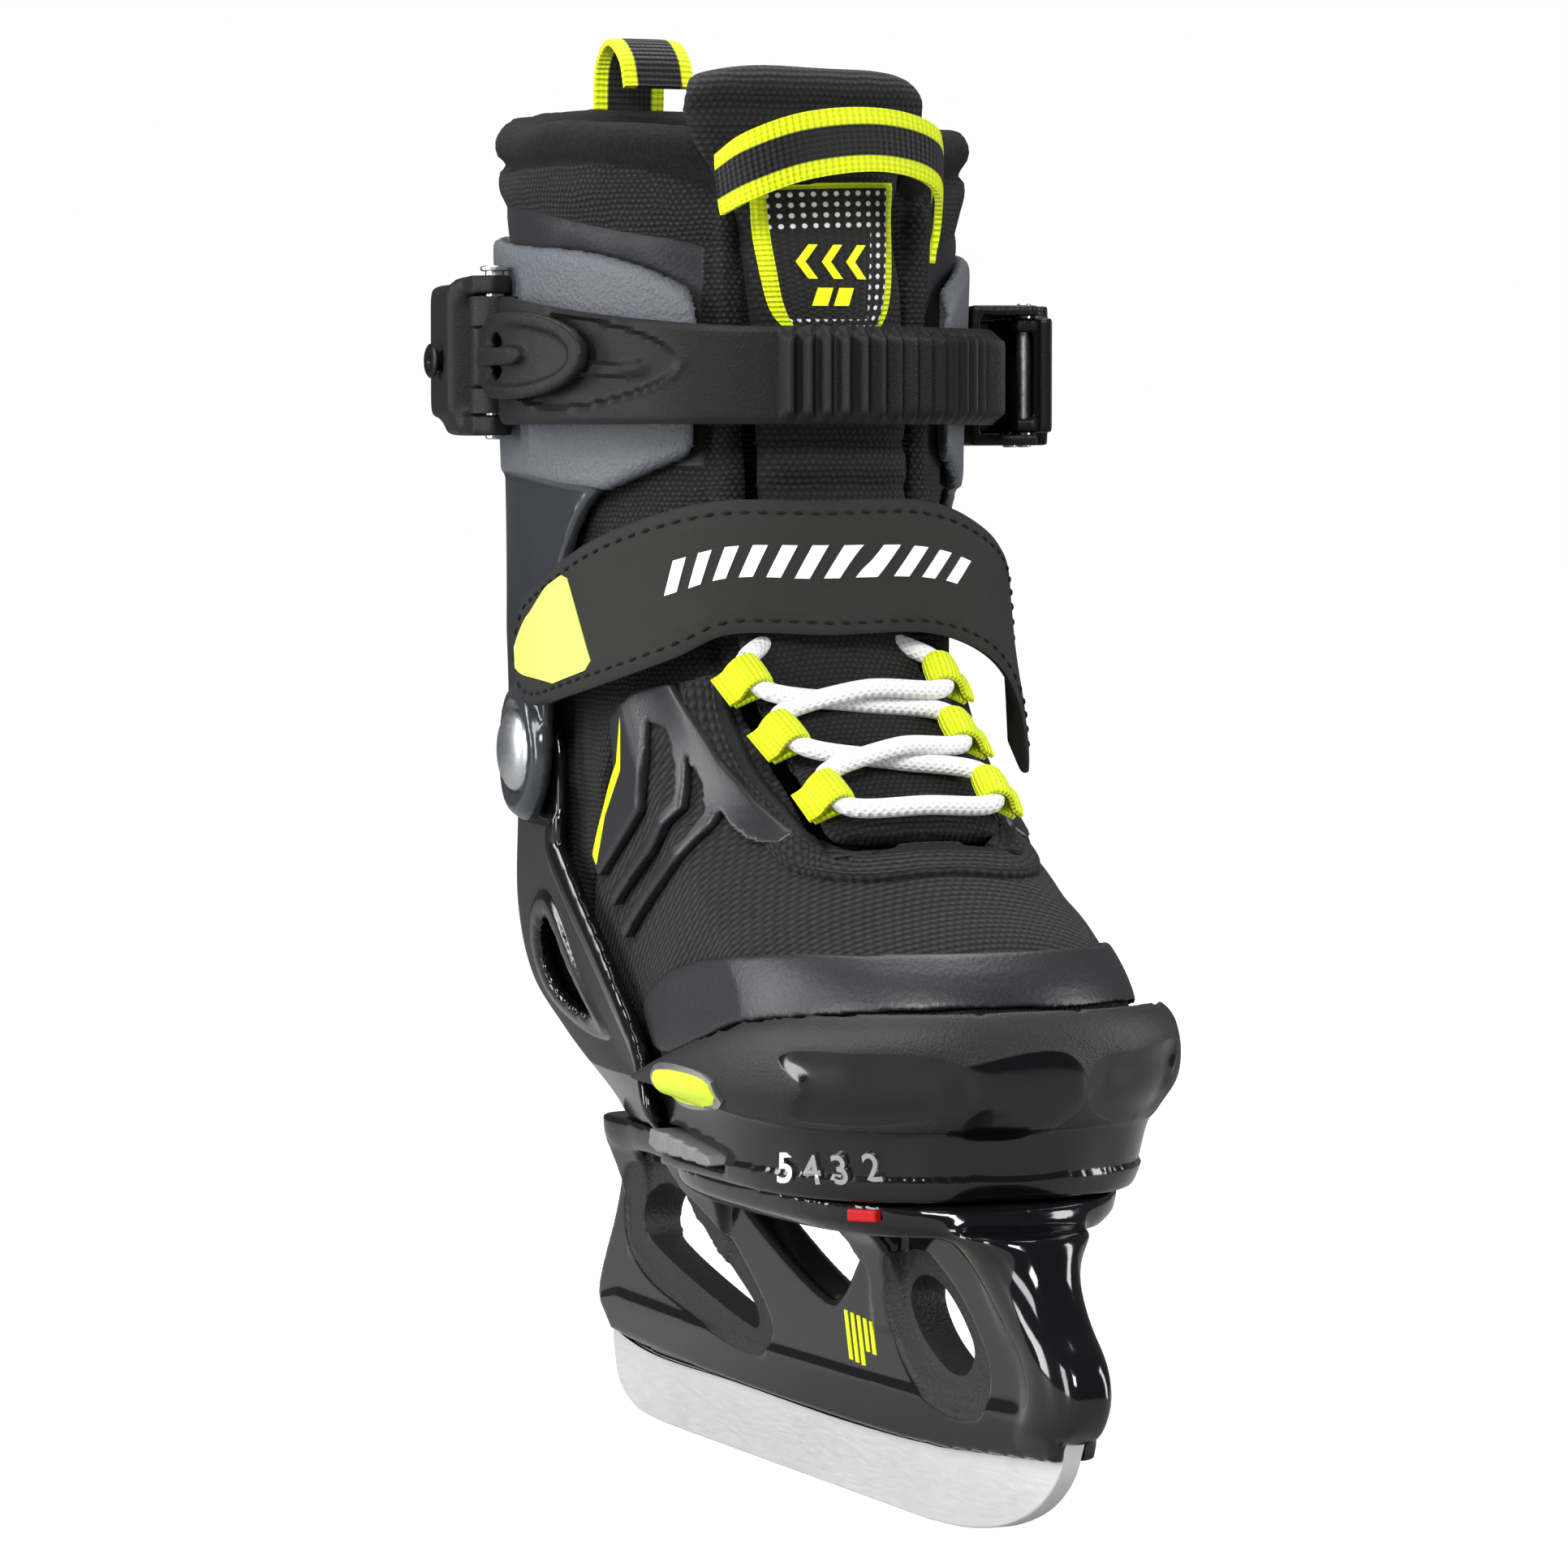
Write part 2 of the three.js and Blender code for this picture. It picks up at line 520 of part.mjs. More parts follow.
const CAGE_OUTLINE = [
  [24, 155], [14, 161], [0, 162.5], [-14.3, 148], [-26, 140], [-37, 134.6], [-36.5, 132.4], [-30, 132.6], [-23, 135.6],
  [-18.5, 138.5], [-18.6, 135], [-14, 128.5], [1, 119], [14, 110.5], [17, 113], [-0.2, 123.3], [-13.2, 132.9],
  [-15.4, 137.8], [-11.6, 143.2], [-4.9, 149.4], [-8.4, 137.9], [1.1, 128.9], [16.3, 119.8], [21, 116.6],
  [23, 119.2], [3.8, 131.2], [-5, 139.8], [-2.5, 146.9], [1.8, 153.5], [8.9, 154.9], [7.9, 146.5], [8.5, 136.6],
  [24, 125.9], [30, 122], [34, 126.5], [27, 137], [22, 145],
];

function sideCage(side) {
  return sidePanel(CAGE_OUTLINE, side, 100, 170);
}

function eyestay() {
  const skin = footSolid(-1.4, 128, 172).subtract(footSolid(-GAP, 120, 180));
  const outer = sideSlab([[-56, 128], [-56, 140], [-16, 172], [0, 172], [-40, 128]], -32, 32);
  const inner = sideSlab([[-47, 125], [-47, 190], [80, 190], [80, 125]], -VAMP_THROAT, VAMP_THROAT);
  const cageRoom = [...CAGE_OUTLINE.slice(1, 9), [40, 120], [40, 158]].map(([y, z]) => [y - 0.6, z + (z < 134 ? -1.2 : 0.9)]);
  return largest(skin.intersect(outer).subtract(inner).subtract(sideSlab(cageRoom, -60, 60)));
}

function toeCapPanel() {
  const skin = footSolid(-1.4, 88, 118).subtract(footSolid(-GAP, 80, 125));
  const outline = [[5, 99.5], [-4, 103.3], [-25, 108.9], [-52, 112.3], [-73, 113.4], [-120, 113.8], [-120, 90], [5, 90]];
  const room = loft(TOE_PROFILE.map(([z, inset]) => toeRing(z, inset - 0.5, 0, true)));
  return largest(
    skin
      .intersect(sideSlab(outline, -60, 60))
      .subtract(room)
      .subtract(sideSlab([[railY(88) - 2, 88], [railY(112) - 2, 112], [60, 112], [60, 88]], -60, 60)),
  );
}

// ---------- laces ----------
const LOOP_ROWS = [
  { x: 21.6, y: -17, z: 164.7 },
  { x: 20.5, y: -25.5, z: 153.5 },
  { x: 19.5, y: -38.5, z: 142 },
];

function laceLoop(row, side) {
  const { x, y, z } = row;
  const outside = planSlab([[x - 4, -3.6], [x + 6, -3.6], [x + 6, 3.6], [x - 4, 3.6]], 0, 4.2);
  const hole = planSlab([[x - 5, -5], [x + 4.4, -5], [x + 4.4, 5], [x - 5, 5]], 0.9, 3.4);
  const back = planSlab([[x - 4, -3.6], [x - 3.1, -3.6], [x - 3.1, 3.6], [x - 4, 3.6]], 0, 4.2);
  const loop = side > 0 ? outside.subtract(hole).add(back) : outside.subtract(hole).add(back).mirror([1, 0, 0]);
  return loop.rotate([42, 0, 0]).rotate([0, side * 12, 0]).translate([side * 0, y - 1.6, z + 2.6]);
}

const LACE_RADIUS = 1.9;

// The lace runs L1, R2, L3, R3, L2, R1, crossing over itself twice.
function lace() {
  const lift = (row, side, out) => [side * (row.x - out), row.y - 4.2, row.z + 4.6];
  const [top, middle, low] = LOOP_ROWS;
  const between = (a, b, raise) => [0, (a.y + b.y) / 2 - 4.6 - raise, (a.z + b.z) / 2 + 4.6 + raise];
  const route = [
    [-15.2, -17.4, 168], lift(top, -1, 7), between(top, middle, 0.4), lift(middle, 1, 6.5), [14.4, -34.2, 156.6],
    between(middle, low, 0.4), lift(low, -1, 6.5), [0, low.y - 6.4, low.z + 3], lift(low, 1, 6.5), [11.5, -43.5, 148.4],
    between(middle, low, 4), [-14, -31.8, 158.4], lift(middle, -1, 5.8), [-10.5, -27.4, 162.6], between(top, middle, 4), lift(top, 1, 7),
    [15.2, -17.4, 168],
  ];
  const section = new THREE.Shape();
  section.absarc(0, 0, LACE_RADIUS, 0, 2 * Math.PI, false);
  const geometry = new THREE.ExtrudeGeometry(section, {
    steps: 72,
    curveSegments: 3,
    bevelEnabled: false,
    extrudePath: new THREE.CatmullRomCurve3(route.map((p) => new THREE.Vector3(...p))),
  });
  return solidOf(geometry);
}

// ---------- straps and loops of webbing ----------
// Band between two edge curves, thickened along the outward direction from the ankle's axis.
function band(upper, lower, thickness, count, centre) {
  const high = curvePoints(upper, count);
  const low = curvePoints(lower, count);
  const out = (p) => {
    const away = new THREE.Vector3(p[0] - centre[0], p[1] - centre[1], p[2] - centre[2]).normalize();
    return [p[0] + away.x * thickness, p[1] + away.y * thickness, p[2] + away.z * thickness];
  };
  return loft(high.map((p, i) => [p, low[i], out(low[i]), out(p)]));
}

const INSTEP = {
  inner: [[-60, 199], [-18, 199], [5, 195.5], [23, 189], [44, 180], [51, 172], [52, 166], [43, 157], [25, 159.5], [-4, 168], [-21, 172.5], [-60, 173]],
  outer: [[-60, 199], [-18, 199], [-8, 195], [4, 186], [12, 170], [14, 148], [3, 142], [-3, 155], [-10, 165.5], [-21, 172.5], [-60, 173]],
};

function instepRing(z, out) {
  const front = along([[130, -48], [142, -40], [155, -29], [170, -20], [190, -16], [215, -12]], z) - out;
  const points = [];
  for (let i = 0; i < 32; i++) {
    const angle = (2 * Math.PI * i) / 32;
    const reach = Math.sin(angle) < 0 ? 42 - front : 60 + out;
    const half = (Math.cos(angle) > 0 ? 49 : 46) + out;
    const x = half * Math.sign(Math.cos(angle)) * Math.abs(Math.cos(angle)) ** 0.86;
    points.push([x, 42 + reach * Math.sign(Math.sin(angle)) * Math.abs(Math.sin(angle)) ** 0.86, z]);
  }
  return points;
}

// Wide padded strap over the instep, fixed low on the outer side.
function instepStrap() {
  const levels = [135, 142, 150, 160, 170, 180, 190, 205, 215];
  const skin = loft(levels.map((z) => instepRing(z, 2))).subtract(
    loft([133, ...levels.slice(1, -1), 217].map((z) => instepRing(z, 0))),
  );
  const inner = skin.intersect(sideSlab(INSTEP.inner, -60, 0));
  return largest(inner.add(skin.intersect(sideSlab(INSTEP.outer, -0.01, 60))));
}

function webbingLoop(path, width) {
  const line = curvePoints(path, 14);
  const thick = 1.3;
  const rings = line.map(([y, z], i) => {
    const before = line[Math.max(i - 1, 0)];
    const after = line[Math.min(i + 1, line.length - 1)];
    const length = Math.hypot(after[0] - before[0], after[1] - before[1]);
    const [ny, nz] = [(after[1] - before[1]) / length, -(after[0] - before[0]) / length];
    return [
      [-width, y, z],
      [width, y, z],
      [width, y + ny * thick, z + nz * thick],
      [-width, y + ny * thick, z + nz * thick],
    ];
  });
  return loft(rings);
}

function heelLoop() {
  return webbingLoop([[104, 262], [104.5, 284], [103, 294], [97, 298], [90, 294], [87.5, 288.5]], 8);
}

// Pull loop: its two ends are sewn to the tongue and its middle stands off as a handle.
function tongueLoop() {
  const upper = [[-27, -5.6, 268], [-24, -13, 272], [-14, -20, 276.5], [2, -23, 278], [16, -18.5, 275], [21.5, -9, 268], [21, -7, 262]];
  const lower = [[-26, -6.2, 256], [-22, -13, 259], [-12, -19.5, 263], [3, -22, 264.5], [16, -17.5, 261.5], [20.5, -9.5, 254], [19.5, -7.8, 248]];
  return band(upper, lower, 1.3, 16, [-2, 30, 266]);
}

// ---------- cuff ----------
const CUFF = {
  middle: [[128, 45], [165, 46], [205, 50], [252, 50]],
  half: [[128, 43.9], [150, 44], [180, 44.2], [205, 44.6], [225, 45.6], [252, 46.4]],
  front: [[128, -20], [180, -14], [205, -8], [252, -8]],
  back: [[128, 121.6], [147, 118.5], [165, 111], [205, 105], [252, 105]],
};

function cuffRing(z, inset) {
  const half = along(CUFF.half, z) - inset;
  const front = along(CUFF.front, z) + inset;
  const back = along(CUFF.back, z) - inset;
  const points = [];
  for (let i = 0; i < 32; i++) {
    const angle = (2 * Math.PI * i) / 32;
    const middle = along(CUFF.middle, z);
    const reach = Math.sin(angle) < 0 ? middle - front : back - middle;
    const power = z < 165 ? 1 : 0.94;
    const x = half * Math.sign(Math.cos(angle)) * Math.abs(Math.cos(angle)) ** power;
    points.push([x, middle + reach * Math.sign(Math.sin(angle)) * Math.abs(Math.sin(angle)) ** power, z]);
  }
  return points;
}

const CUFF_PROFILE = [
  [2, 236], [8, 243], [22, 248], [55, 251], [120, 256], [120, 172], [96, 174], [84, 168], [76, 154], [71, 140],
  [64, 133], [56, 132.5], [48, 139], [45, 152], [45, 180], [42, 194], [34, 204], [12, 207], [3, 212], [-2, 224],
];

function cuffWall(out, into) {
  const outer = loft([128, 147, 165, 185, 205, 225, 240, 258].map((z) => cuffRing(z, out)));
  return outer.subtract(loft([126, 147, 165, 185, 205, 225, 240, 260].map((z) => cuffRing(z, into))));
}

function cuff() {
  const tailWindow = sideSlab([[92, 188], [120, 186], [120, 210], [94, 210]], -14, 14);
  let made = cuffWall(0, 2.8).intersect(sideSlab(CUFF_PROFILE, -60, 60)).subtract(tailWindow);
  made = made.subtract(box(-28, 28, -60, 40, 100, 300));
  made = made.subtract(bar("x", 3.4, -60, 60, 0, ANKLE.y, ANKLE.z, 20));
  made = made.subtract(bar("x", 2.4, 30, 60, 0, BUCKLE_RIVET.y, BUCKLE_RIVET.z, 12));
  return largest(made.subtract(bar("x", 2.4, -60, -30, 0, ANCHOR_SCREW.y, ANCHOR_SCREW.z, 12)));
}

// Ankle rivet: a shank through both walls, with a domed head outside and a flat one inside.
function ankleRivet(side) {
  const profile = [[0, 0], [3, 0], [3, 7.9], [8.6, 7.9], [7.8, 9.5], [5, 10.7], [0, 11.3]];
  const head = new THREE.LatheGeometry(profile.map(([r, h]) => new THREE.Vector2(r, h)), 24);
  const inside = ANKLE.x - 7.5;
  const rivet = solidOf(head.rotateZ(-Math.PI / 2).translate(inside, ANKLE.y, ANKLE.z));
  const tail = bar("x", 5.6, inside - 1.2, inside, 0, ANKLE.y, ANKLE.z, 20);
  const whole = rivet.add(tail);
  return side > 0 ? whole : whole.mirror([1, 0, 0]);
}

// ---------- ratchet strap and its anchor ----------
const ANCHOR_SCREW = { y: 72, z: 228 };
const LEAF_PATH = [[-50.5, 50.5], [-52.6, 40], [-51, 26], [-45, 9], [-33, -5], [-17, -13], [2, -16]];

// Point at a radius and an angle from the strap pin, seen from above.
function fromPin(radius, angle) {
  return [STRAP_PIN.x + radius * Math.cos(degrees(angle)), STRAP_PIN.y + radius * Math.sin(degrees(angle))];
}

function ladderLine() {
  const mid = (LADDER_RADIUS.inner + LADDER_RADIUS.root) / 2;
  const tail = [-24, -18, -12, -6, -2].map((angle) => fromPin(mid, angle));
  return [...LEAF_PATH, [20, -11], [34, 0], ...tail];
}

// Plan outline of the strap: smooth inside, toothed outside from the front to the tail.
function ladderStrap() {
  const line = curvePoints(ladderLine(), 91);
  const normals = line.map((p, i) => {
    const before = line[Math.max(i - 1, 0)];
    const after = line[Math.min(i + 1, line.length - 1)];
    const length = Math.hypot(after[0] - before[0], after[1] - before[1]);
    return [(after[1] - before[1]) / length, -(after[0] - before[0]) / length];
  });
  const half = (LADDER_RADIUS.root - LADDER_RADIUS.inner) / 2;
  const at = (i, out) => [line[i][0] + normals[i][0] * out, line[i][1] + normals[i][1] * out];
  const start = line.findIndex((p) => p[0] > -17);
  const outline = [];
  for (let i = 0; i < line.length; i += 2) outline.push(at(i, -half));
  outline.push(at(line.length - 1, half));
  for (let i = line.length - 3; i >= start; i -= 2) {
    outline.push(at(i, half + LADDER_RADIUS.tip - LADDER_RADIUS.root), at(i, half));
  }
  for (let i = start - 2; i >= 0; i -= 2) outline.push(at(i, half + 0.4));
  const strip = planSlab(outline, STRAP_LOW, 243);
  const overLeaf = sideSlab([[-40, 231], [-14, STRAP_HIGH - 0.5], [62, 243], [62, 260], [-40, 260]], -60, -10);
  const overLadder = box(-17, 70, -40, 90, STRAP_HIGH, 260);
  const knuckle = bar("z", 4.2, STRAP_LOW + 2.5, 241, STRAP_PIN.x, STRAP_PIN.y, 0, 20);
  const clipRoom = bar("z", 4.8, 222, 235, STRAP_PIN.x, STRAP_PIN.y, 0, 16);
  const trimmed = strip.subtract(overLeaf).subtract(overLadder).subtract(box(-60, -44, 49, 70, 200, 217)).subtract(
    box(-60, -44, 49, 70, 241, 260),
  );
  return largest(
    trimmed
      .add(knuckle)
      .subtract(clipRoom)
      .subtract(bar("z", STRAP_PIN.r + GAP, 200, 260, STRAP_PIN.x, STRAP_PIN.y, 0, 20)),
  );
}

// Clip that locks the strap's length: an oval finger plate on the strap, with a barred hole.
function adjusterClip() {
  const line = curvePoints(LEAF_PATH.slice(0, 4), 16);
  const outline = (out) =>
    line.map((p, i) => {
      const before = line[Math.max(i - 1, 0)];
      const after = line[Math.min(i + 1, line.length - 1)];
      const length = Math.hypot(after[0] - before[0], after[1] - before[1]);
      return [p[0] + ((after[1] - before[1]) / length) * out, p[1] - ((after[0] - before[0]) / length) * out];
    });
  const plate = planSlab([...outline(2.1), ...outline(4.6).reverse()], 216, 240);
  const oval = [];
  for (let i = 0; i < 24; i++) {
    const angle = (2 * Math.PI * i) / 24;
    oval.push([34 + 24 * Math.sign(Math.cos(angle)) * Math.abs(Math.cos(angle)) ** 0.8, 228.5 + 8.6 * Math.sin(angle)]);
  }
  const hole = bar("x", 5.2, -70, -40, 0, 40, 228.5, 20).subtract(sideSlab([[10, 227], [70, 227], [70, 230], [10, 230]], -70, -40));
  const knuckle = bar("z", 4.2, 222.4, 234.6, STRAP_PIN.x, STRAP_PIN.y, 0, 16);
  const neck = planSlab([[-55.2, 48], [-52.9, 48], [-52, 53], [-54.6, 56]], 223, 234);
  const inside = bar("z", 4.9, 200, 222, STRAP_PIN.x, STRAP_PIN.y, 0, 16).add(
    bar("z", 4.9, 235, 260, STRAP_PIN.x, STRAP_PIN.y, 0, 16),
  );
  return largest(
    plate
      .intersect(sideSlab(oval, -70, -30))
      .subtract(hole)
      .subtract(inside)
      .add(knuckle)
      .add(neck)
      .subtract(bar("z", STRAP_PIN.r + GAP, 200, 260, STRAP_PIN.x, STRAP_PIN.y, 0, 20)),
  );
}

// Bracket on the cuff with two ears that hold the upright pin.
function strapAnchor() {
  const block = [[-57.5, 64], [-55.5, 80], [-50, 88], [-43, 88], [-43, 61.2], [-50, 61.2]];
  const ear = [[-55, 61], [-55.4, 55], [-52.5, 51.5], [-48.5, 51.5], [-46.6, 55], [-46.6, 64], [-56, 66]];
  let made = planSlab(block, 216, 244).add(planSlab(ear, 212.4, 216.6)).add(planSlab(ear, 241.4, 245.4));
  made = made.add(planSlab([[-56, 63], [-54, 76], [-43, 76], [-43, 61.2], [-50, 61.2]], 212.4, 216));
  made = made.subtract(loft([200, 225, 252].map((z) => cuffRing(z, -GAP))));
  made = made.subtract(bar("x", 2.4, -70, -30, 0, ANCHOR_SCREW.y, ANCHOR_SCREW.z, 12));
  return largest(made.subtract(bar("z", STRAP_PIN.r + GAP, 200, 250, STRAP_PIN.x, STRAP_PIN.y, 0, 20)));
}

function strapPin() {
  const shank = bar("z", STRAP_PIN.r, 211.6, 247, STRAP_PIN.x, STRAP_PIN.y, 0, 20);
  return shank.add(bar("z", 3, 246.3, 247.4, STRAP_PIN.x, STRAP_PIN.y, 0, 20));
}

function anchorScrew() {
  const shank = bar("x", 2.05, -58.3, -42, 0, ANCHOR_SCREW.y, ANCHOR_SCREW.z, 12);
  return shank.add(bar("x", 3.6, -58.6, -57.8, 0, ANCHOR_SCREW.y, ANCHOR_SCREW.z, 16));
}

// ---------- ratchet buckle ----------
const BUCKLE = { from: -22, to: 0, low: 210.4, high: 239.4, wall: 2.2 };
const BUCKLE_RIVET = { y: 49, z: 225 };
const LEVER_PIN = { radius: 110.2, angle: -18.5 };
const PAWL_PIN = { radius: 110.4, angle: -10.5 };

// Plate that bends round the strap pin between two radii and two angles.
function arcPlate(inner, outer, from, to, low, high, steps = 8) {
  const outline = [];
  for (let i = 0; i <= steps; i++) outline.push(fromPin(inner, mix(from, to, i / steps)));
  for (let i = steps; i >= 0; i--) outline.push(fromPin(outer, mix(from, to, i / steps)));
  return planSlab(outline, low, high);
}

function pinBar(pin, radius, low, high) {
  const [x, y] = fromPin(pin.radius, pin.angle);
  return bar("z", radius, low, high, x, y, 0, 16);
}

function buckleBase() {
  const { from, to, low, high, wall } = BUCKLE;
  let base = arcPlate(98.6, 100.5, from, to, low, high);
  base = base.add(arcPlate(98.6, 112.5, from, to + 5, low, low + wall));
  base = base.add(arcPlate(98.6, 112.5, from, to + 5, high - wall, high));
  for (const pin of [LEVER_PIN, PAWL_PIN]) base = base.subtract(pinBar(pin, 1.5 + 0.3, 200, 250));
  base = base.subtract(bar("x", 2.4, 30, 70, 0, BUCKLE_RIVET.y, BUCKLE_RIVET.z, 12));
  return base.subtract(loft([200, 225, 252].map((z) => cuffRing(z, -GAP))));
}

function buckleRivet() {
  const [x] = fromPin(100.2, -6);
  const shank = bar("x", 2.05, 41.8, x - 0.9, 0, BUCKLE_RIVET.y, BUCKLE_RIVET.z, 12);
  return shank;
}

function bucklePin(pin) {
  return pinBar(pin, 1.5, BUCKLE.low - 0.4, BUCKLE.high + 0.4);
}

function buckleLever() {
  const low = BUCKLE.low + BUCKLE.wall + 0.4;
  const high = BUCKLE.high - BUCKLE.wall - 0.4;
  const nose = arcPlate(113, 115.6, BUCKLE.from + 0.8, BUCKLE.from + 5, low, high, 3);
  const cover = arcPlate(113, 115.6, BUCKLE.from + 4.4, BUCKLE.to + 6, BUCKLE.low, BUCKLE.high, 10).add(nose);
  const ears = arcPlate(108.2, 113.2, BUCKLE.from + 1.5, BUCKLE.from + 6.5, low, high, 3);
  const ribs = arcPlate(110, 113.2, BUCKLE.to - 4, BUCKLE.to + 5, low, high, 4);
  const middle = planSlab(
    [fromPin(106, -36), fromPin(116, -36), fromPin(113, -13.5), fromPin(106, -13.5)],
    low + 3,
    high - 3,
  );
  return cover.add(ears.subtract(middle)).add(ribs).subtract(pinBar(LEVER_PIN, 1.5 + 0.3, 200, 250));
}

function bucklePawl() {
  const low = BUCKLE.low + BUCKLE.wall + 0.5;
  const high = BUCKLE.high - BUCKLE.wall - 0.5;
  const wedge = planSlab(
    [fromPin(105.5, -13.1), fromPin(108.2, -12.9), fromPin(112.2, -10.9), fromPin(112.2, -9.7), fromPin(108.6, -8.9)],
    low,
    high,
  );
  const hub = pinBar(PAWL_PIN, 2.4, low, high).intersect(arcPlate(107.6, 112.4, -16, -5, low, high));
  return wedge.add(hub).subtract(pinBar(PAWL_PIN, 1.5 + 0.3, 200, 250));
}

// ---------- finishes ----------
const finish = (color, roughness, metalness = 0) => new THREE.MeshStandardMaterial({ color, roughness, metalness });
const FINISHES = {
  steel: finish("#c9cbcb", 0.3, 1),
  glossBlack: finish("#0c0d10", 0.12),
  satinBlack: finish("#1b1c1e", 0.5),
  slate: finish("#4b535c", 0.4),
  fabric: finish("#111214", 0.95),
  fleece: finish("#0d0e0f", 1),
  cage: finish("#2a2b30", 0.45),
  vinyl: finish("#26262a", 0.5),
  nubuck: finish("#2b2b2c", 0.9),
  yellow: finish("#d8f015", 0.75),
  white: finish("#f1f1f0", 0.8),
  grey: finish("#8d9194", 0.5),
  red: finish("#c4161c", 0.4),
  zinc: finish("#b9bec4", 0.35, 1),
};

// ---------- assembly ----------
const skate = new THREE.Group();

function place(name, solid, look) {
  const mesh = new THREE.Mesh(geometryOf(solid), FINISHES[look]);
  mesh.name = name;
  skate.add(mesh);
}

place("blade_runner", bladeRunner(), "steel");
place("blade_holder", bladeHolder(), "glossBlack");
place("holder_bolt_middle", deckBolt(HOLDER_BOLTS[0]), "zinc");
place("holder_bolt_rear", deckBolt(HOLDER_BOLTS[1]), "zinc");
place("size_pointer", sizePointer(), "red");
place("size_button", sizeButton(), "grey");
place("button_spring", buttonSpring(), "zinc");
place("heel_shell", heelShell(), "glossBlack");
place("toe_shell", toeShell(), "satinBlack");
place("label_plate", labelPlate(), "yellow");
place("footbed", footbed(), "fleece");
place("heel_upper", heelUpper(), "fabric");
place("gusset_inner", gusset(-1), "fabric");
place("gusset_outer", gusset(1), "fabric");
place("front_upper", frontUpper(), "fabric");
place("toe_cap_panel", toeCapPanel(), "vinyl");
place("eyestay", eyestay(), "fabric");
place("side_cage_inner", sideCage(-1), "cage");
place("side_cage_outer", sideCage(1), "cage");
place("tongue_vamp", tongueVamp(), "fabric");
LOOP_ROWS.forEach((row, i) => {
  place(`lace_loop_inner_${i + 1}`, laceLoop(row, -1), "yellow");
  place(`lace_loop_outer_${i + 1}`, laceLoop(row, 1), "yellow");
});
place("lace", lace(), "white");
place("instep_strap", instepStrap(), "nubuck");
place("shaft_upper", shaftUpper(), "fabric");
place("tongue", tongue(), "fabric");
place("tongue_loop", tongueLoop(), "yellow");
place("heel_loop", heelLoop(), "yellow");
place("cuff", cuff(), "slate");
place("ankle_rivet_inner", ankleRivet(-1), "zinc");
place("ankle_rivet_outer", ankleRivet(1), "zinc");
place("strap_anchor", strapAnchor(), "satinBlack");
place("strap_pin", strapPin(), "zinc");
place("anchor_screw", anchorScrew(), "zinc");
place("ratchet_strap", ladderStrap(), "satinBlack");
place("adjuster_clip", adjusterClip(), "satinBlack");
place("buckle_base", buckleBase(), "satinBlack");
place("buckle_rivet", buckleRivet(), "zinc");
place("buckle_lever", buckleLever(), "satinBlack");
place("lever_pin", bucklePin(LEVER_PIN), "zinc");
place("buckle_pawl", bucklePawl(), "satinBlack");
place("pawl_pin", bucklePin(PAWL_PIN), "zinc");

export default skate;
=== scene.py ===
import math

import bmesh
import bpy
import numpy as np
from mathutils import Matrix, Vector
from mathutils.bvhtree import BVHTree


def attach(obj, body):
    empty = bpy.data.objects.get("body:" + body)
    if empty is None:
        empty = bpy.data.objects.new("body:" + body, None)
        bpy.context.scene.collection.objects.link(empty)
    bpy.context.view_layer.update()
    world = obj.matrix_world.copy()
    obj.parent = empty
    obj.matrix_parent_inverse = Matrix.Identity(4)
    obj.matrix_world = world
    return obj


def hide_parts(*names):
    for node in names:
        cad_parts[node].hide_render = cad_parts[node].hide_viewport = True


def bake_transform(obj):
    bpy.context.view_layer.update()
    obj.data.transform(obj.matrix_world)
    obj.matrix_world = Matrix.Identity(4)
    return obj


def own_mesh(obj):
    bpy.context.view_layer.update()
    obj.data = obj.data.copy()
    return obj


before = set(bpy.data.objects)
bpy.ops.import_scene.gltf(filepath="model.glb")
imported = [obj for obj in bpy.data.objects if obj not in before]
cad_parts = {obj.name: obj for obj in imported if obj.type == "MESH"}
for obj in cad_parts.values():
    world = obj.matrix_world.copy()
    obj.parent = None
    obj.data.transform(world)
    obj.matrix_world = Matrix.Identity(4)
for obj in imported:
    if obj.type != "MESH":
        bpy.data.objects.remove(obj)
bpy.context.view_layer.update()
scene = bpy.context.scene
unit = 0.001  # shapes are worked out in millimetres and placed in metres

# camera
view = {
    "azimuth": -24.0, "elevation": 3.0, "distance": 1250.0,
    "lookAt": (-9.6, 0.0, 142.0), "lens": 142.1,
}


def placeCamera():
    turn, tilt = math.radians(view["azimuth"]), math.radians(view["elevation"])
    back = Vector((math.sin(turn) * math.cos(tilt), -math.cos(turn) * math.cos(tilt), math.sin(tilt)))
    target = Vector(view["lookAt"]) * unit
    lensData = bpy.data.cameras.new("photoCamera")
    lensData.lens = view["lens"]
    lensData.sensor_width = 36
    lensData.clip_start, lensData.clip_end = 0.01, 50
    camera = bpy.data.objects.new("photoCamera", lensData)
    scene.collection.objects.link(camera)
    camera.location = target + back * view["distance"] * unit
    camera.rotation_euler = (-back).to_track_quat("-Z", "Y").to_euler()
    scene.camera = camera


placeCamera()
print("camera placed")


# small tools for curves and tables

def mix(a, b, t):
    return a + (b - a) * t


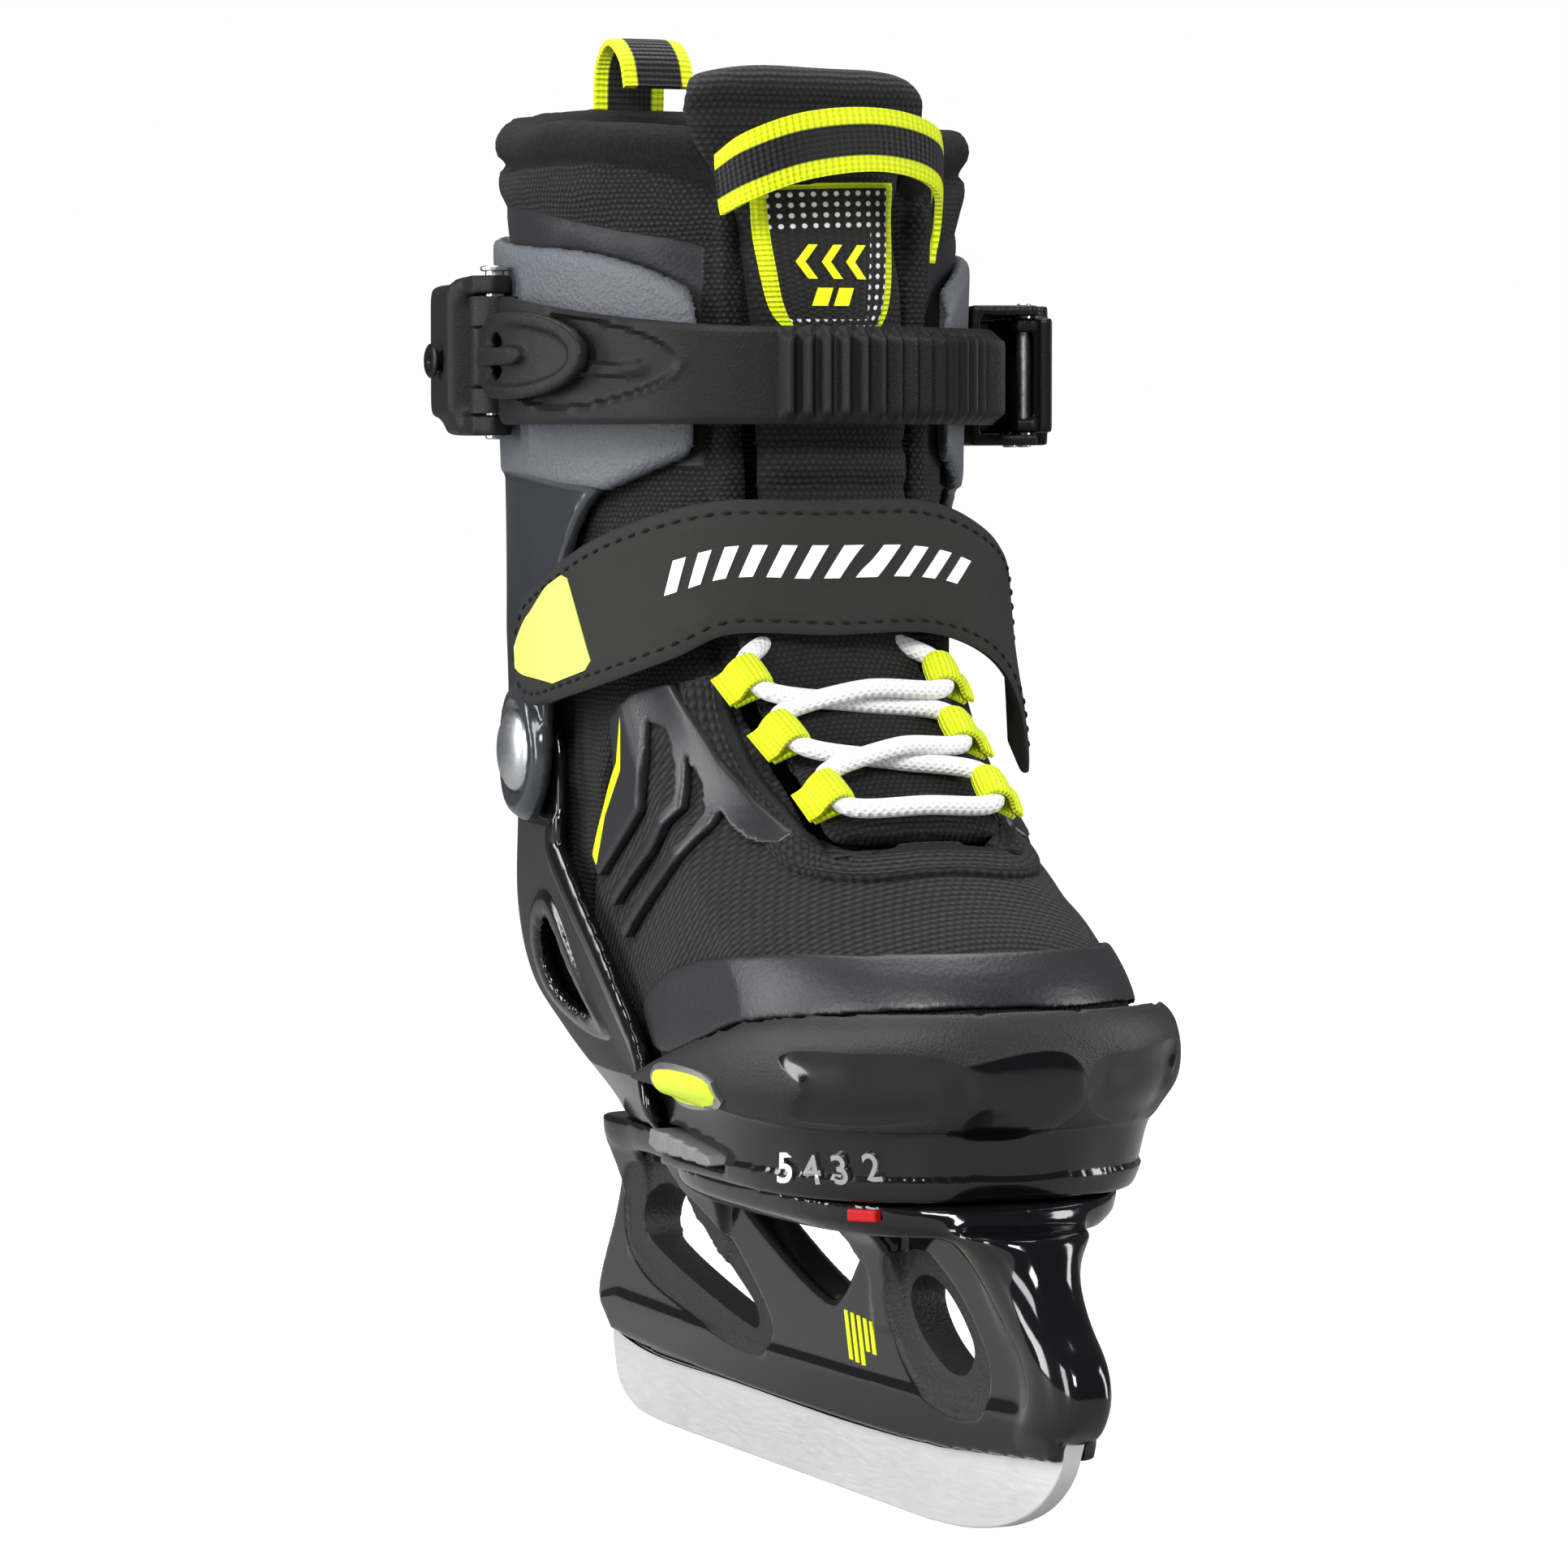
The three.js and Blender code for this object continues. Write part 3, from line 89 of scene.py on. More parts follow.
def along(table, at):  # smooth value of a table [(at, value), ...]
    last = len(table) - 1
    if at <= table[0][0]:
        return table[0][1]
    if at >= table[last][0]:
        return table[last][1]
    i = max(k for k in range(last) if table[k][0] <= at)

    def slope(j):
        a, b = table[max(j - 1, 0)], table[min(j + 1, last)]
        return (b[1] - a[1]) / (b[0] - a[0])

    s = table[i + 1][0] - table[i][0]
    t = (at - table[i][0]) / s
    return (
        table[i][1] * (2 * t**3 - 3 * t**2 + 1) + slope(i) * s * (t**3 - 2 * t**2 + t)
        + table[i + 1][1] * (3 * t**2 - 2 * t**3) + slope(i + 1) * s * (t**3 - t**2)
    )


def signedPower(value, power):
    return math.copysign(abs(value) ** power, value)


def curveThrough(points, count, closed=False):  # evenly spaced points on a smooth curve
    given = [np.array(p, float) for p in points]
    if closed:
        reach = [given[-1]] + given + [given[0], given[1]]
    else:
        reach = [2 * given[0] - given[1]] + given + [2 * given[-1] - given[-2]]
    dense = []
    for p0, p1, p2, p3 in zip(reach, reach[1:], reach[2:], reach[3:]):
        t1 = np.linalg.norm(p1 - p0) ** 0.5 + 1e-6
        t2 = t1 + np.linalg.norm(p2 - p1) ** 0.5 + 1e-6
        t3 = t2 + np.linalg.norm(p3 - p2) ** 0.5 + 1e-6
        for t in np.linspace(t1, t2, 14, endpoint=False):
            a1 = (t1 - t) / t1 * p0 + t / t1 * p1
            a2 = (t2 - t) / (t2 - t1) * p1 + (t - t1) / (t2 - t1) * p2
            a3 = (t3 - t) / (t3 - t2) * p2 + (t - t2) / (t3 - t2) * p3
            b1 = (t2 - t) / t2 * a1 + t / t2 * a2
            b2 = (t3 - t) / (t3 - t1) * a2 + (t - t1) / (t3 - t1) * a3
            dense.append((t2 - t) / (t2 - t1) * b1 + (t - t1) / (t2 - t1) * b2)
    dense.append(dense[0] if closed else given[-1])
    dense = np.array(dense)
    length = np.concatenate([[0], np.cumsum(np.linalg.norm(np.diff(dense, axis=0), axis=1))])
    marks = np.linspace(0, length[-1], count, endpoint=not closed)
    return np.stack([np.interp(marks, length, dense[:, k]) for k in range(dense.shape[1])], axis=1)


def depthInside(points, outline):  # signed distance to a closed outline, positive inside
    a = np.array(outline, float)
    b = np.roll(a, -1, 0)
    found = np.empty(len(points))
    for start in range(0, len(points), 20000):
        p = points[start : start + 20000][:, None, :]
        ab, ap = (b - a)[None], p - a[None]
        t = np.clip((ap * ab).sum(2) / np.maximum((ab * ab).sum(2), 1e-9), 0, 1)
        gap = np.sqrt(((ap - t[..., None] * ab) ** 2).sum(2)).min(1)
        spans = (a[:, 1] > p[:, :, 1]) != (b[:, 1] > p[:, :, 1])
        rise = np.where(np.abs(b[:, 1] - a[:, 1]) < 1e-9, 1e-9, b[:, 1] - a[:, 1])
        left = p[:, :, 0] < (b[:, 0] - a[:, 0]) * (p[:, :, 1] - a[:, 1]) / rise + a[:, 0]
        inside = (spans & left).sum(1) % 2 == 1
        found[start : start + 20000] = np.where(inside, gap, -gap)
    return found


def distanceTo(points, line):  # distance to an open line
    line = [tuple(p) for p in line]
    return np.abs(depthInside(points, line + line[-2:0:-1]))


# small tools for meshes

def makePiece(name, verts, faces, body=None):
    mesh = bpy.data.meshes.new(name)
    mesh.from_pydata([tuple(c * unit for c in v) for v in verts], [], faces)
    mesh.update()
    obj = bpy.data.objects.new(name, mesh)
    scene.collection.objects.link(obj)
    tidyNormals(obj)
    if body:
        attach(obj, body)
    return obj


def tidyNormals(obj):
    work = bmesh.new()
    work.from_mesh(obj.data)
    bmesh.ops.recalc_face_normals(work, faces=work.faces)
    work.to_mesh(obj.data)
    work.free()


def loft(name, rings, body=None, closed=False):
    count = len(rings[0])
    verts = [p for ring in rings for p in ring]
    faces = []
    steps = len(rings) if closed else len(rings) - 1
    for r in range(steps):
        s = (r + 1) % len(rings)
        for i in range(count):
            j = (i + 1) % count
            faces.append((r * count + i, r * count + j, s * count + j, s * count + i))
    if not closed:
        faces.append(tuple(range(count)))
        faces.append(tuple((len(rings) - 1) * count + i for i in reversed(range(count))))
    return makePiece(name, verts, faces, body)


def slab(name, outline, axis, low, high, body=None):  # flat outline pushed through along an axis
    def spot(a, b, c):
        return {"x": (c, a, b), "y": (a, c, b), "z": (a, b, c)}[axis]

    return loft(name, [[spot(a, b, level) for a, b in outline] for level in (low, high)], body)


def rod(name, axis, radius, low, high, at, sides=32, body=None):
    ring = [
        (radius * math.cos(2 * math.pi * i / sides), radius * math.sin(2 * math.pi * i / sides))
        for i in range(sides)
    ]
    return slab(name, [(at[0] + a, at[1] + b) for a, b in ring], axis, low, high, body)


def settle(obj):  # applies the modifiers
    depsgraph = bpy.context.evaluated_depsgraph_get()
    mesh = bpy.data.meshes.new_from_object(obj.evaluated_get(depsgraph))
    obj.modifiers.clear()
    old, obj.data = obj.data, mesh
    bpy.data.meshes.remove(old)
    return obj


def combine(target, tool, kind, keep=False):
    step = target.modifiers.new("join", "BOOLEAN")
    step.operation, step.solver, step.object = kind, "MANIFOLD", tool
    settle(target)
    if not keep:
        bpy.data.objects.remove(tool)
    return target


def cut(target, *tools):
    for tool in tools:
        combine(target, tool, "DIFFERENCE")
    return target


def join(target, *tools):
    for tool in tools:
        combine(target, tool, "UNION")
    return target


def keepInside(target, tool):
    return combine(target, tool, "INTERSECT")


def soften(obj, voxel, rounds, factor=0.5):  # even skin with rounded edges
    step = obj.modifiers.new("skin", "REMESH")
    step.mode, step.voxel_size = "VOXEL", voxel * unit
    if rounds:
        step = obj.modifiers.new("smooth", "SMOOTH")
        step.factor, step.iterations = factor, rounds
    return settle(obj)


def roundOff(obj, shareAt, rounds):  # extra smoothing where shareAt is high
    group = obj.vertex_groups.new(name="round")
    places, _ = spots(obj)
    for i, share in enumerate(shareAt(places)):
        if share > 0.01:
            group.add([i], float(share), "REPLACE")
    step = obj.modifiers.new("round", "SMOOTH")
    step.factor, step.iterations, step.vertex_group = 0.5, rounds, "round"
    return settle(obj)


def bevelEdges(obj, width, segments=2, angle=35):
    step = obj.modifiers.new("bevel", "BEVEL")
    step.width, step.segments, step.limit_method = width * unit, segments, "ANGLE"
    step.angle_limit = math.radians(angle)
    return settle(obj)


def smoothShade(obj, angle=None):
    for polygon in obj.data.polygons:
        polygon.use_smooth = True
    if angle:
        obj.data.set_sharp_from_angle(angle=math.radians(angle))
    return obj


def spots(obj):  # vertex places and normals, in millimetres
    count = len(obj.data.vertices)
    places, normals = np.empty(count * 3), np.empty(count * 3)
    obj.data.vertices.foreach_get("co", places)
    obj.data.vertex_normals.foreach_get("vector", normals)
    return places.reshape(-1, 3) / unit, normals.reshape(-1, 3)


def moveSpots(obj, places):
    obj.data.vertices.foreach_set("co", (places * unit).ravel())
    obj.data.update()


def paint(obj, name, values):  # a number at each vertex, read by the materials
    mark = obj.data.attributes.new(name, "FLOAT", "POINT")
    mark.data.foreach_set("value", np.asarray(values, np.float32))


def wrapUv(obj, rule):  # map in millimetres from each vertex's place
    places, normals = spots(obj)
    pairs = rule(places, normals)
    corners = np.empty(len(obj.data.loops), np.int32)
    obj.data.loops.foreach_get("vertex_index", corners)
    layer = obj.data.uv_layers.new(name="cloth")
    layer.data.foreach_set("uv", np.stack(pairs, 1)[corners].astype(np.float32).ravel())


def surfaceOf(obj):
    return BVHTree.FromPolygons([v.co for v in obj.data.vertices], [p.vertices for p in obj.data.polygons])


def press(surface, place, direction, lift):  # drops a point on a surface along a direction
    origin = Vector(place) * unit
    hit, normal, _, _ = surface.ray_cast(origin, Vector(direction).normalized())
    if hit is None:
        hit, normal, _, _ = surface.find_nearest(origin)
    if normal.dot(Vector(direction)) > 0:
        normal = -normal
    return np.array(hit / unit + normal * lift), np.array(normal)


def remove(*objs):
    for obj in objs:
        bpy.data.objects.remove(obj)


def smoothStep(value, low, high):
    t = np.clip((value - low) / (high - low), 0, 1)
    return t * t * (3 - 2 * t)


# shader tools

def feed(tree, socket, value):
    if isinstance(value, bpy.types.NodeSocket):
        tree.links.new(value, socket)
    else:
        socket.default_value = value


def addNode(tree, kind, inputs=None, **settings):
    node = tree.nodes.new(kind)
    for key, value in settings.items():
        setattr(node, key, value)
    for key, value in (inputs or {}).items():
        feed(tree, node.inputs[key], value)
    return node


def calc(tree, operation, *values):
    return addNode(tree, "ShaderNodeMath", dict(enumerate(values)), operation=operation).outputs[0]


def mixColour(tree, mask, a, b, kind="MIX"):
    node = addNode(tree, "ShaderNodeMix", {0: mask, 6: a, 7: b}, data_type="RGBA", blend_type=kind)
    return node.outputs[2]


def mixValue(tree, mask, a, b):
    return addNode(tree, "ShaderNodeMix", {0: mask, 2: a, 3: b}).outputs[0]


def remap(tree, value, fromLow, fromHigh, toLow=0.0, toHigh=1.0):
    inputs = {"Value": value, "From Min": fromLow, "From Max": fromHigh, "To Min": toLow, "To Max": toHigh}
    return addNode(tree, "ShaderNodeMapRange", inputs).outputs[0]


def noise(tree, coordinates, scale, detail=3.0, rough=0.5):
    inputs = {"Vector": coordinates, "Scale": scale, "Detail": detail, "Roughness": rough}
    return addNode(tree, "ShaderNodeTexNoise", inputs).outputs["Fac"]


def objectPlace(tree):  # object coordinates in millimetres
    place = addNode(tree, "ShaderNodeTexCoord").outputs["Object"]
    return addNode(tree, "ShaderNodeVectorMath", {0: place, 3: 1000.0}, operation="SCALE").outputs[0]


def clothPlace(tree):
    return addNode(tree, "ShaderNodeUVMap", uv_map="cloth").outputs[0]


def painted(tree, name):
    return addNode(tree, "ShaderNodeAttribute", attribute_name=name).outputs["Fac"]


def makeGroup(name, inputs, outputs, build):
    tree = bpy.data.node_groups.new(name, "ShaderNodeTree")
    for label, kind, default in inputs:
        socket = tree.interface.new_socket(label, in_out="INPUT", socket_type=kind)
        if default is not None:
            socket.default_value = default
    for label, kind in outputs:
        tree.interface.new_socket(label, in_out="OUTPUT", socket_type=kind)
    start, end = addNode(tree, "NodeGroupInput"), addNode(tree, "NodeGroupOutput")
    for label, value in build(tree, start.outputs).items():
        feed(tree, end.inputs[label], value)
    return tree


def useGroup(tree, group, **inputs):
    node = addNode(tree, "ShaderNodeGroup", node_tree=group)
    for label, value in inputs.items():
        feed(tree, node.inputs[label.replace("_", " ")], value)
    return node.outputs


number, vector = "NodeSocketFloat", "NodeSocketVector"


def buildGrain(tree, given):  # moulded or leather grain
    scaled = addNode(
        tree, "ShaderNodeVectorMath", {0: given["Place"], 3: given["Scale"]}, operation="SCALE"
    ).outputs[0]
    cells = addNode(
        tree, "ShaderNodeTexVoronoi", {"Vector": scaled, "Scale": 1.0}, feature="SMOOTH_F1"
    ).outputs["Distance"]
    fine = noise(tree, scaled, 2.7, 2.0)
    height = calc(tree, "ADD", calc(tree, "MULTIPLY", cells, 0.6), calc(tree, "MULTIPLY", fine, 0.4))
    return {"Height": height, "Speck": remap(tree, fine, 0.35, 0.7)}


def buildKnit(tree, given):  # rows of small loops with dark gaps between; the materials paint shade into the gaps and a highlight onto the loop tops
    parts = addNode(tree, "ShaderNodeSeparateXYZ", {0: given["Place"]}).outputs
    wave = noise(tree, given["Place"], 0.16, 2.0)
    drift = calc(tree, "MULTIPLY", calc(tree, "SUBTRACT", wave, 0.5), given["Unevenness"])
    u = calc(tree, "MULTIPLY", calc(tree, "ADD", parts[0], drift), given["Across"])
    v = calc(tree, "MULTIPLY", calc(tree, "ADD", parts[1], drift), given["Along"])
    row = calc(tree, "FLOOR", v)
    shifted = calc(tree, "ADD", u, calc(tree, "MULTIPLY", row, 0.5))
    turn = 2 * math.pi
    across = calc(tree, "COSINE", calc(tree, "MULTIPLY", shifted, turn))
    down = calc(tree, "COSINE", calc(tree, "MULTIPLY", v, turn))
    height = calc(
        tree, "SUBTRACT", 1.0,
        calc(tree, "MULTIPLY", calc(tree, "ADD", calc(tree, "ADD", across, down), 2.0), 0.25)
    )
    fibre = noise(tree, given["Place"], 3.5, 3.0, 0.7)
    mixed = calc(tree, "ADD", calc(tree, "MULTIPLY", height, 0.75), calc(tree, "MULTIPLY", fibre, 0.25))
    # loop tops, where the materials paint a highlight into the colour and make the surface less rough
    glint = calc(tree, "MULTIPLY", remap(tree, height, 0.55, 0.95), remap(tree, fibre, 0.45, 0.75))
    return {"Height": mixed, "Gaps": remap(tree, height, 0.4, 0.1), "Glint": glint}


def buildRib(tree, given):  # crosswise ribs of flat webbing, darker in the grooves as painted shade
    parts = addNode(tree, "ShaderNodeSeparateXYZ", {0: given["Place"]}).outputs
    turn = calc(tree, "MULTIPLY", parts[0], calc(tree, "MULTIPLY", given["Ribs"], 2 * math.pi))
    waver = calc(tree, "MULTIPLY", noise(tree, given["Place"], 0.8, 2.0), 1.6)
    ribs = calc(
        tree, "ADD", calc(tree, "MULTIPLY", calc(tree, "SINE", calc(tree, "ADD", turn, waver)), 0.5), 0.5
    )
    warp = calc(tree, "SINE", calc(tree, "MULTIPLY", parts[1], 2 * math.pi * 0.9))
    height = calc(tree, "ADD", ribs, calc(tree, "MULTIPLY", warp, 0.18))
    # the colour factor darkens the grooves between the ribs: painted shade
    return {"Height": height, "Shade": remap(tree, ribs, 0.0, 0.6, 0.74, 1.0)}


def buildBraid(tree, given):  # two crossing sets of yarn round a lace, darker between the yarns as painted shade
    parts = addNode(tree, "ShaderNodeSeparateXYZ", {0: given["Place"]}).outputs
    a = calc(tree, "SINE", calc(tree, "MULTIPLY", calc(tree, "ADD", parts[0], parts[1]), given["Yarns"]))
    b = calc(tree, "SINE", calc(tree, "MULTIPLY", calc(tree, "SUBTRACT", parts[0], parts[1]), given["Yarns"]))
    height = calc(tree, "ADD", calc(tree, "MULTIPLY", calc(tree, "MAXIMUM", a, b), 0.5), 0.5)
    return {"Height": height, "Shade": remap(tree, height, 0.2, 0.75, 0.88, 1.0)}


def buildWear(tree, given):  # pale worn edges, broken up by noise
    sharp = remap(
        tree, addNode(tree, "ShaderNodeNewGeometry").outputs["Pointiness"], given["Start"], given["End"]
    )
    patchy = remap(tree, noise(tree, given["Place"], 0.35, 4.0, 0.6), 0.42, 0.62)
    return {"Mask": calc(tree, "MULTIPLY", calc(tree, "MULTIPLY", sharp, patchy), given["Amount"])}


def buildDust(tree, given):  # thin film that gathers on faces turned upwards
    facing = addNode(
        tree, "ShaderNodeSeparateXYZ", {0: addNode(tree, "ShaderNodeNewGeometry").outputs["Normal"]}
    ).outputs[2]
    up = remap(tree, facing, -0.2, 1.0, 0.25, 1.0)
    cloud = remap(tree, noise(tree, given["Place"], 0.06, 5.0, 0.65), 0.35, 0.75)
    return {"Mask": calc(tree, "MULTIPLY", calc(tree, "MULTIPLY", up, cloud), given["Amount"])}


def buildStreaks(tree, given):  # fine grinding lines along the blade
    scaled = addNode(
        tree, "ShaderNodeVectorMath", {0: given["Place"], 1: given["Stretch"]}, operation="MULTIPLY"
    ).outputs[0]
    return {"Height": noise(tree, scaled, 1.0, 5.0, 0.6), "Cloud": noise(tree, given["Place"], 0.03, 3.0)}


placeInput = ("Place", vector, None)
grainGroup = makeGroup(
    "mouldedGrain", [placeInput, ("Scale", number, 1.0)], [("Height", number), ("Speck", number)],
    buildGrain
)
knitGroup = makeGroup(
    "knitLoops", [placeInput, ("Across", number, 1.0), ("Along", number, 1.0), ("Unevenness", number, 0.6)],
    [("Height", number), ("Gaps", number), ("Glint", number)], buildKnit,
)
ribGroup = makeGroup(
    "webbingRibs", [placeInput, ("Ribs", number, 0.9)], [("Height", number), ("Shade", number)], buildRib
)
braidGroup = makeGroup(
    "laceBraid", [placeInput, ("Yarns", number, 2.6)], [("Height", number), ("Shade", number)], buildBraid
)
wearGroup = makeGroup(
    "edgeWear", [placeInput, ("Start", number, 0.53), ("End", number, 0.6), ("Amount", number, 0.5)],
    [("Mask", number)], buildWear,
)
dustGroup = makeGroup("dustFilm", [placeInput, ("Amount", number, 0.1)], [("Mask", number)], buildDust)
streakGroup = makeGroup(
    "grindLines", [
        placeInput, ("Stretch", vector, (1.0, 1.0, 1.0))
    ], [("Height", number), ("Cloud", number)], buildStreaks,
)
print("shader groups made")


def startMaterial(name, **fixed):  # fixed numbers go straight on the shader's own sockets
    made = bpy.data.materials.new(name)
    made.use_nodes = True
    tree = made.node_tree
    shader = tree.nodes["Principled BSDF"]
    for label, value in fixed.items():
        shader.inputs[label.replace("_", " ")].default_value = value
    return made, tree, shader


def bumpFrom(tree, shader, height, strength, distance):
    inputs = {"Height": height, "Strength": strength, "Distance": distance * unit}
    feed(tree, shader.inputs["Normal"], addNode(tree, "ShaderNodeBump", inputs).outputs[0])


def rgb(red, green, blue):
    return (red, green, blue, 1.0)


def plasticMaterial(
    name, base, worn, rough, grainScale, grainDepth, wear=0.35, dust=0.06, coat=0.0, glossMark=None,
    glossBase=None, glossRough=0.1, specular=0.2
):
    # moulded plastic; where glossMark is above zero it is polished instead of grained
    made, tree, shader = startMaterial(
        name, Coat_Roughness=0.06, Specular_IOR_Level=0.5 if glossMark else specular
    )
    place = objectPlace(tree)
    grain = useGroup(tree, grainGroup, Place=place, Scale=grainScale)
    wearMask = useGroup(tree, wearGroup, Place=place, Amount=wear)["Mask"]
    dustMask = useGroup(tree, dustGroup, Place=place, Amount=dust)["Mask"]
    shade = mixColour(tree, grain["Speck"], base, tuple(c * 1.5 for c in base[:3]) + (1.0,))
    roughness = mixValue(tree, grain["Speck"], rough, min(rough + 0.12, 1.0))
    height = grain["Height"]
    if glossMark:
        gloss = remap(tree, painted(tree, glossMark), -0.15, 0.15)
        smear = noise(tree, place, 0.05, 4.0, 0.6)
        shade = mixColour(tree, gloss, shade, glossBase or base)
        roughness = mixValue(
            tree, gloss, roughness, remap(tree, smear, 0.3, 0.8, glossRough * 0.7, glossRough * 1.8)
        )
        height = calc(tree, "MULTIPLY", height, calc(tree, "SUBTRACT", 1.0, gloss))
        feed(tree, shader.inputs["Coat Weight"], calc(tree, "MULTIPLY", gloss, 0.1))
    elif coat:
        shader.inputs["Coat Weight"].default_value = coat
    shade = mixColour(tree, wearMask, shade, worn)
    shade = mixColour(tree, dustMask, shade, rgb(0.3, 0.3, 0.31))
    feed(tree, shader.inputs["Base Color"], shade)
    feed(tree, shader.inputs["Roughness"], roughness)
    bumpFrom(tree, shader, height, 1.0, grainDepth)
    return made


def metalMaterial(name, base, rough, stretch, depth=0.03, metallic=1.0):
    made, tree, shader = startMaterial(name, Metallic=metallic)
    place = objectPlace(tree)
    lines = useGroup(tree, streakGroup, Place=place, Stretch=stretch)
    dark = tuple(c * 0.82 for c in base[:3]) + (1.0,)
    feed(tree, shader.inputs["Base Color"], mixColour(tree, lines["Cloud"], dark, base))
    feed(tree, shader.inputs["Roughness"], remap(tree, lines["Height"], 0.2, 0.8, rough * 0.75, rough * 1.3))
    bumpFrom(tree, shader, lines["Height"], 0.35, depth)
    return made


def clothMaterial(
    name, thread, gap, across, along, depth, rough=0.75, paintedGlintColour=None, uneven=0.6, sheen=0.05,
    place=clothPlace, dust=0.008
):
    made, tree, shader = startMaterial(name, Sheen_Weight=sheen, Sheen_Roughness=0.5, Specular_IOR_Level=0.22)
    spot = place(tree)
    knit = useGroup(tree, knitGroup, Place=spot, Across=across, Along=along, Unevenness=uneven)
    # the gaps are real openings; their darker colour is painted shade inside them
    shade = mixColour(tree, knit["Gaps"], thread, gap)
    # the glint colour is a painted highlight on the loop tops
    if paintedGlintColour:
        shade = mixColour(tree, knit["Glint"], shade, paintedGlintColour)
    dustMask = useGroup(tree, dustGroup, Place=objectPlace(tree), Amount=dust)["Mask"]
    feed(tree, shader.inputs["Base Color"], mixColour(tree, dustMask, shade, rgb(0.3, 0.3, 0.3)))
    feed(tree, shader.inputs["Roughness"], mixValue(tree, knit["Glint"], rough, rough * 0.6))
    bumpFrom(tree, shader, knit["Height"], 1.0, depth)
    return made


def webbingMaterial(name, edge, centre=None, centreWidth=0.0, ribs=0.9):
    # across the strip the second coordinate is the distance from the middle
    made, tree, shader = startMaterial(name, Roughness=0.7, Sheen_Weight=0.08, Specular_IOR_Level=0.3)
    spot = clothPlace(tree)
    rib = useGroup(tree, ribGroup, Place=spot, Ribs=ribs)
    shade = edge
    if centre:
        away = calc(tree, "ABSOLUTE", addNode(tree, "ShaderNodeSeparateXYZ", {0: spot}).outputs[1])
        inner = remap(tree, away, centreWidth + 0.25, centreWidth - 0.25)
        shade = mixColour(tree, inner, edge, centre)
    # multiplies the painted shade of the rib grooves into the colour
    shaded = mixColour(tree, 1.0, shade, rib["Shade"], "MULTIPLY")
    feed(tree, shader.inputs["Base Color"], shaded)
    bumpFrom(tree, shader, rib["Height"], 1.0, 0.35)
    return made


looks = {
    "black": rgb(0.006, 0.006, 0.0065), "softBlack": rgb(
        0.0075, 0.0075, 0.008
    ), "worn": rgb(0.03, 0.03, 0.032),
    "slate": rgb(0.082, 0.09, 0.104), "slateDark": rgb(0.03, 0.033, 0.039),
    "neon": rgb(0.8, 0.96, 0.005), "white": rgb(0.88, 0.88, 0.9), "patch": rgb(0.68, 0.84, 0.13),
}

steelMaterial = metalMaterial("brushedBladeSteel", rgb(0.86, 0.86, 0.86), 0.5, (9.0, 0.15, 2.4), 0.006, 0.7)
zincMaterial = metalMaterial("zincRivet", rgb(0.6, 0.62, 0.65), 0.32, (1.2, 1.2, 1.2), 0.008)
holderMaterial = plasticMaterial(
    "pianoBlackHolder", rgb(0.009, 0.009, 0.0095), looks["worn"], 0.5, 1.5, 0.35, wear=0.1, dust=0.006,
    glossMark="gloss", glossBase=rgb(0.0035, 0.0035, 0.005), glossRough=0.09,
)
shellMaterial = plasticMaterial(
    "shellBlack", rgb(0.008, 0.008, 0.0085), looks["worn"], 0.48, 2.0, 0.16, wear=0.1, dust=0.008,
    glossMark="gloss", glossBase=rgb(0.003, 0.003, 0.004), glossRough=0.13,
)
cuffMaterial = plasticMaterial(
    "pebbledSlate", looks["slate"], rgb(0.18, 0.2, 0.23), 0.46, 1.2, 0.42, wear=0.15, dust=0.02,
    glossMark="gloss", glossBase=looks["slateDark"], glossRough=0.14,
)
strapMaterial = plasticMaterial(
    "strapBlack", looks["softBlack"], looks["worn"], 0.42, 2.4, 0.08, wear=0.2, dust=0.008
)
buckleMaterial = plasticMaterial(
    "buckleBlack", looks["black"], looks["worn"], 0.3, 2.6, 0.06, wear=0.2, dust=0.005
)
cageMaterial = plasticMaterial(
    "satinRib", rgb(0.012, 0.012, 0.0145), looks["worn"], 0.3, 3.0, 0.05, wear=0.15, dust=0.008,
    specular=0.55
)
vinylMaterial = plasticMaterial(
    "toeVinyl", rgb(0.013, 0.0125, 0.0155), looks["worn"], 0.36, 1.1, 0.08, wear=0.0, dust=0.012,
    specular=0.5
)
buttonMaterial = plasticMaterial(
    "greyButton", rgb(0.16, 0.16, 0.165), rgb(0.3, 0.3, 0.3), 0.28, 3.0, 0.05, wear=0.3
)
pointerMaterial = plasticMaterial(
    "redPointer", rgb(0.38, 0.004, 0.006), rgb(0.5, 0.08, 0.08), 0.35, 3.0, 0.04
)
labelMaterial = plasticMaterial(
    "neonLabel", rgb(0.62, 0.8, 0.03), rgb(0.7, 0.8, 0.3), 0.3, 3.0, 0.02, wear=0.1
)
printMaterial = plasticMaterial(
    "neonPrint", rgb(0.78, 0.92, 0.01), rgb(0.7, 0.8, 0.2), 0.45, 3.0, 0.02, wear=0.1
)
darkScrewMaterial = metalMaterial("blackScrew", rgb(0.03, 0.03, 0.032), 0.35, (1.2, 1.2, 1.2), 0.03)
silverMaterial = metalMaterial("silverPaint", rgb(0.62, 0.62, 0.62), 0.32, (2.0, 2.0, 2.0), 0.02)
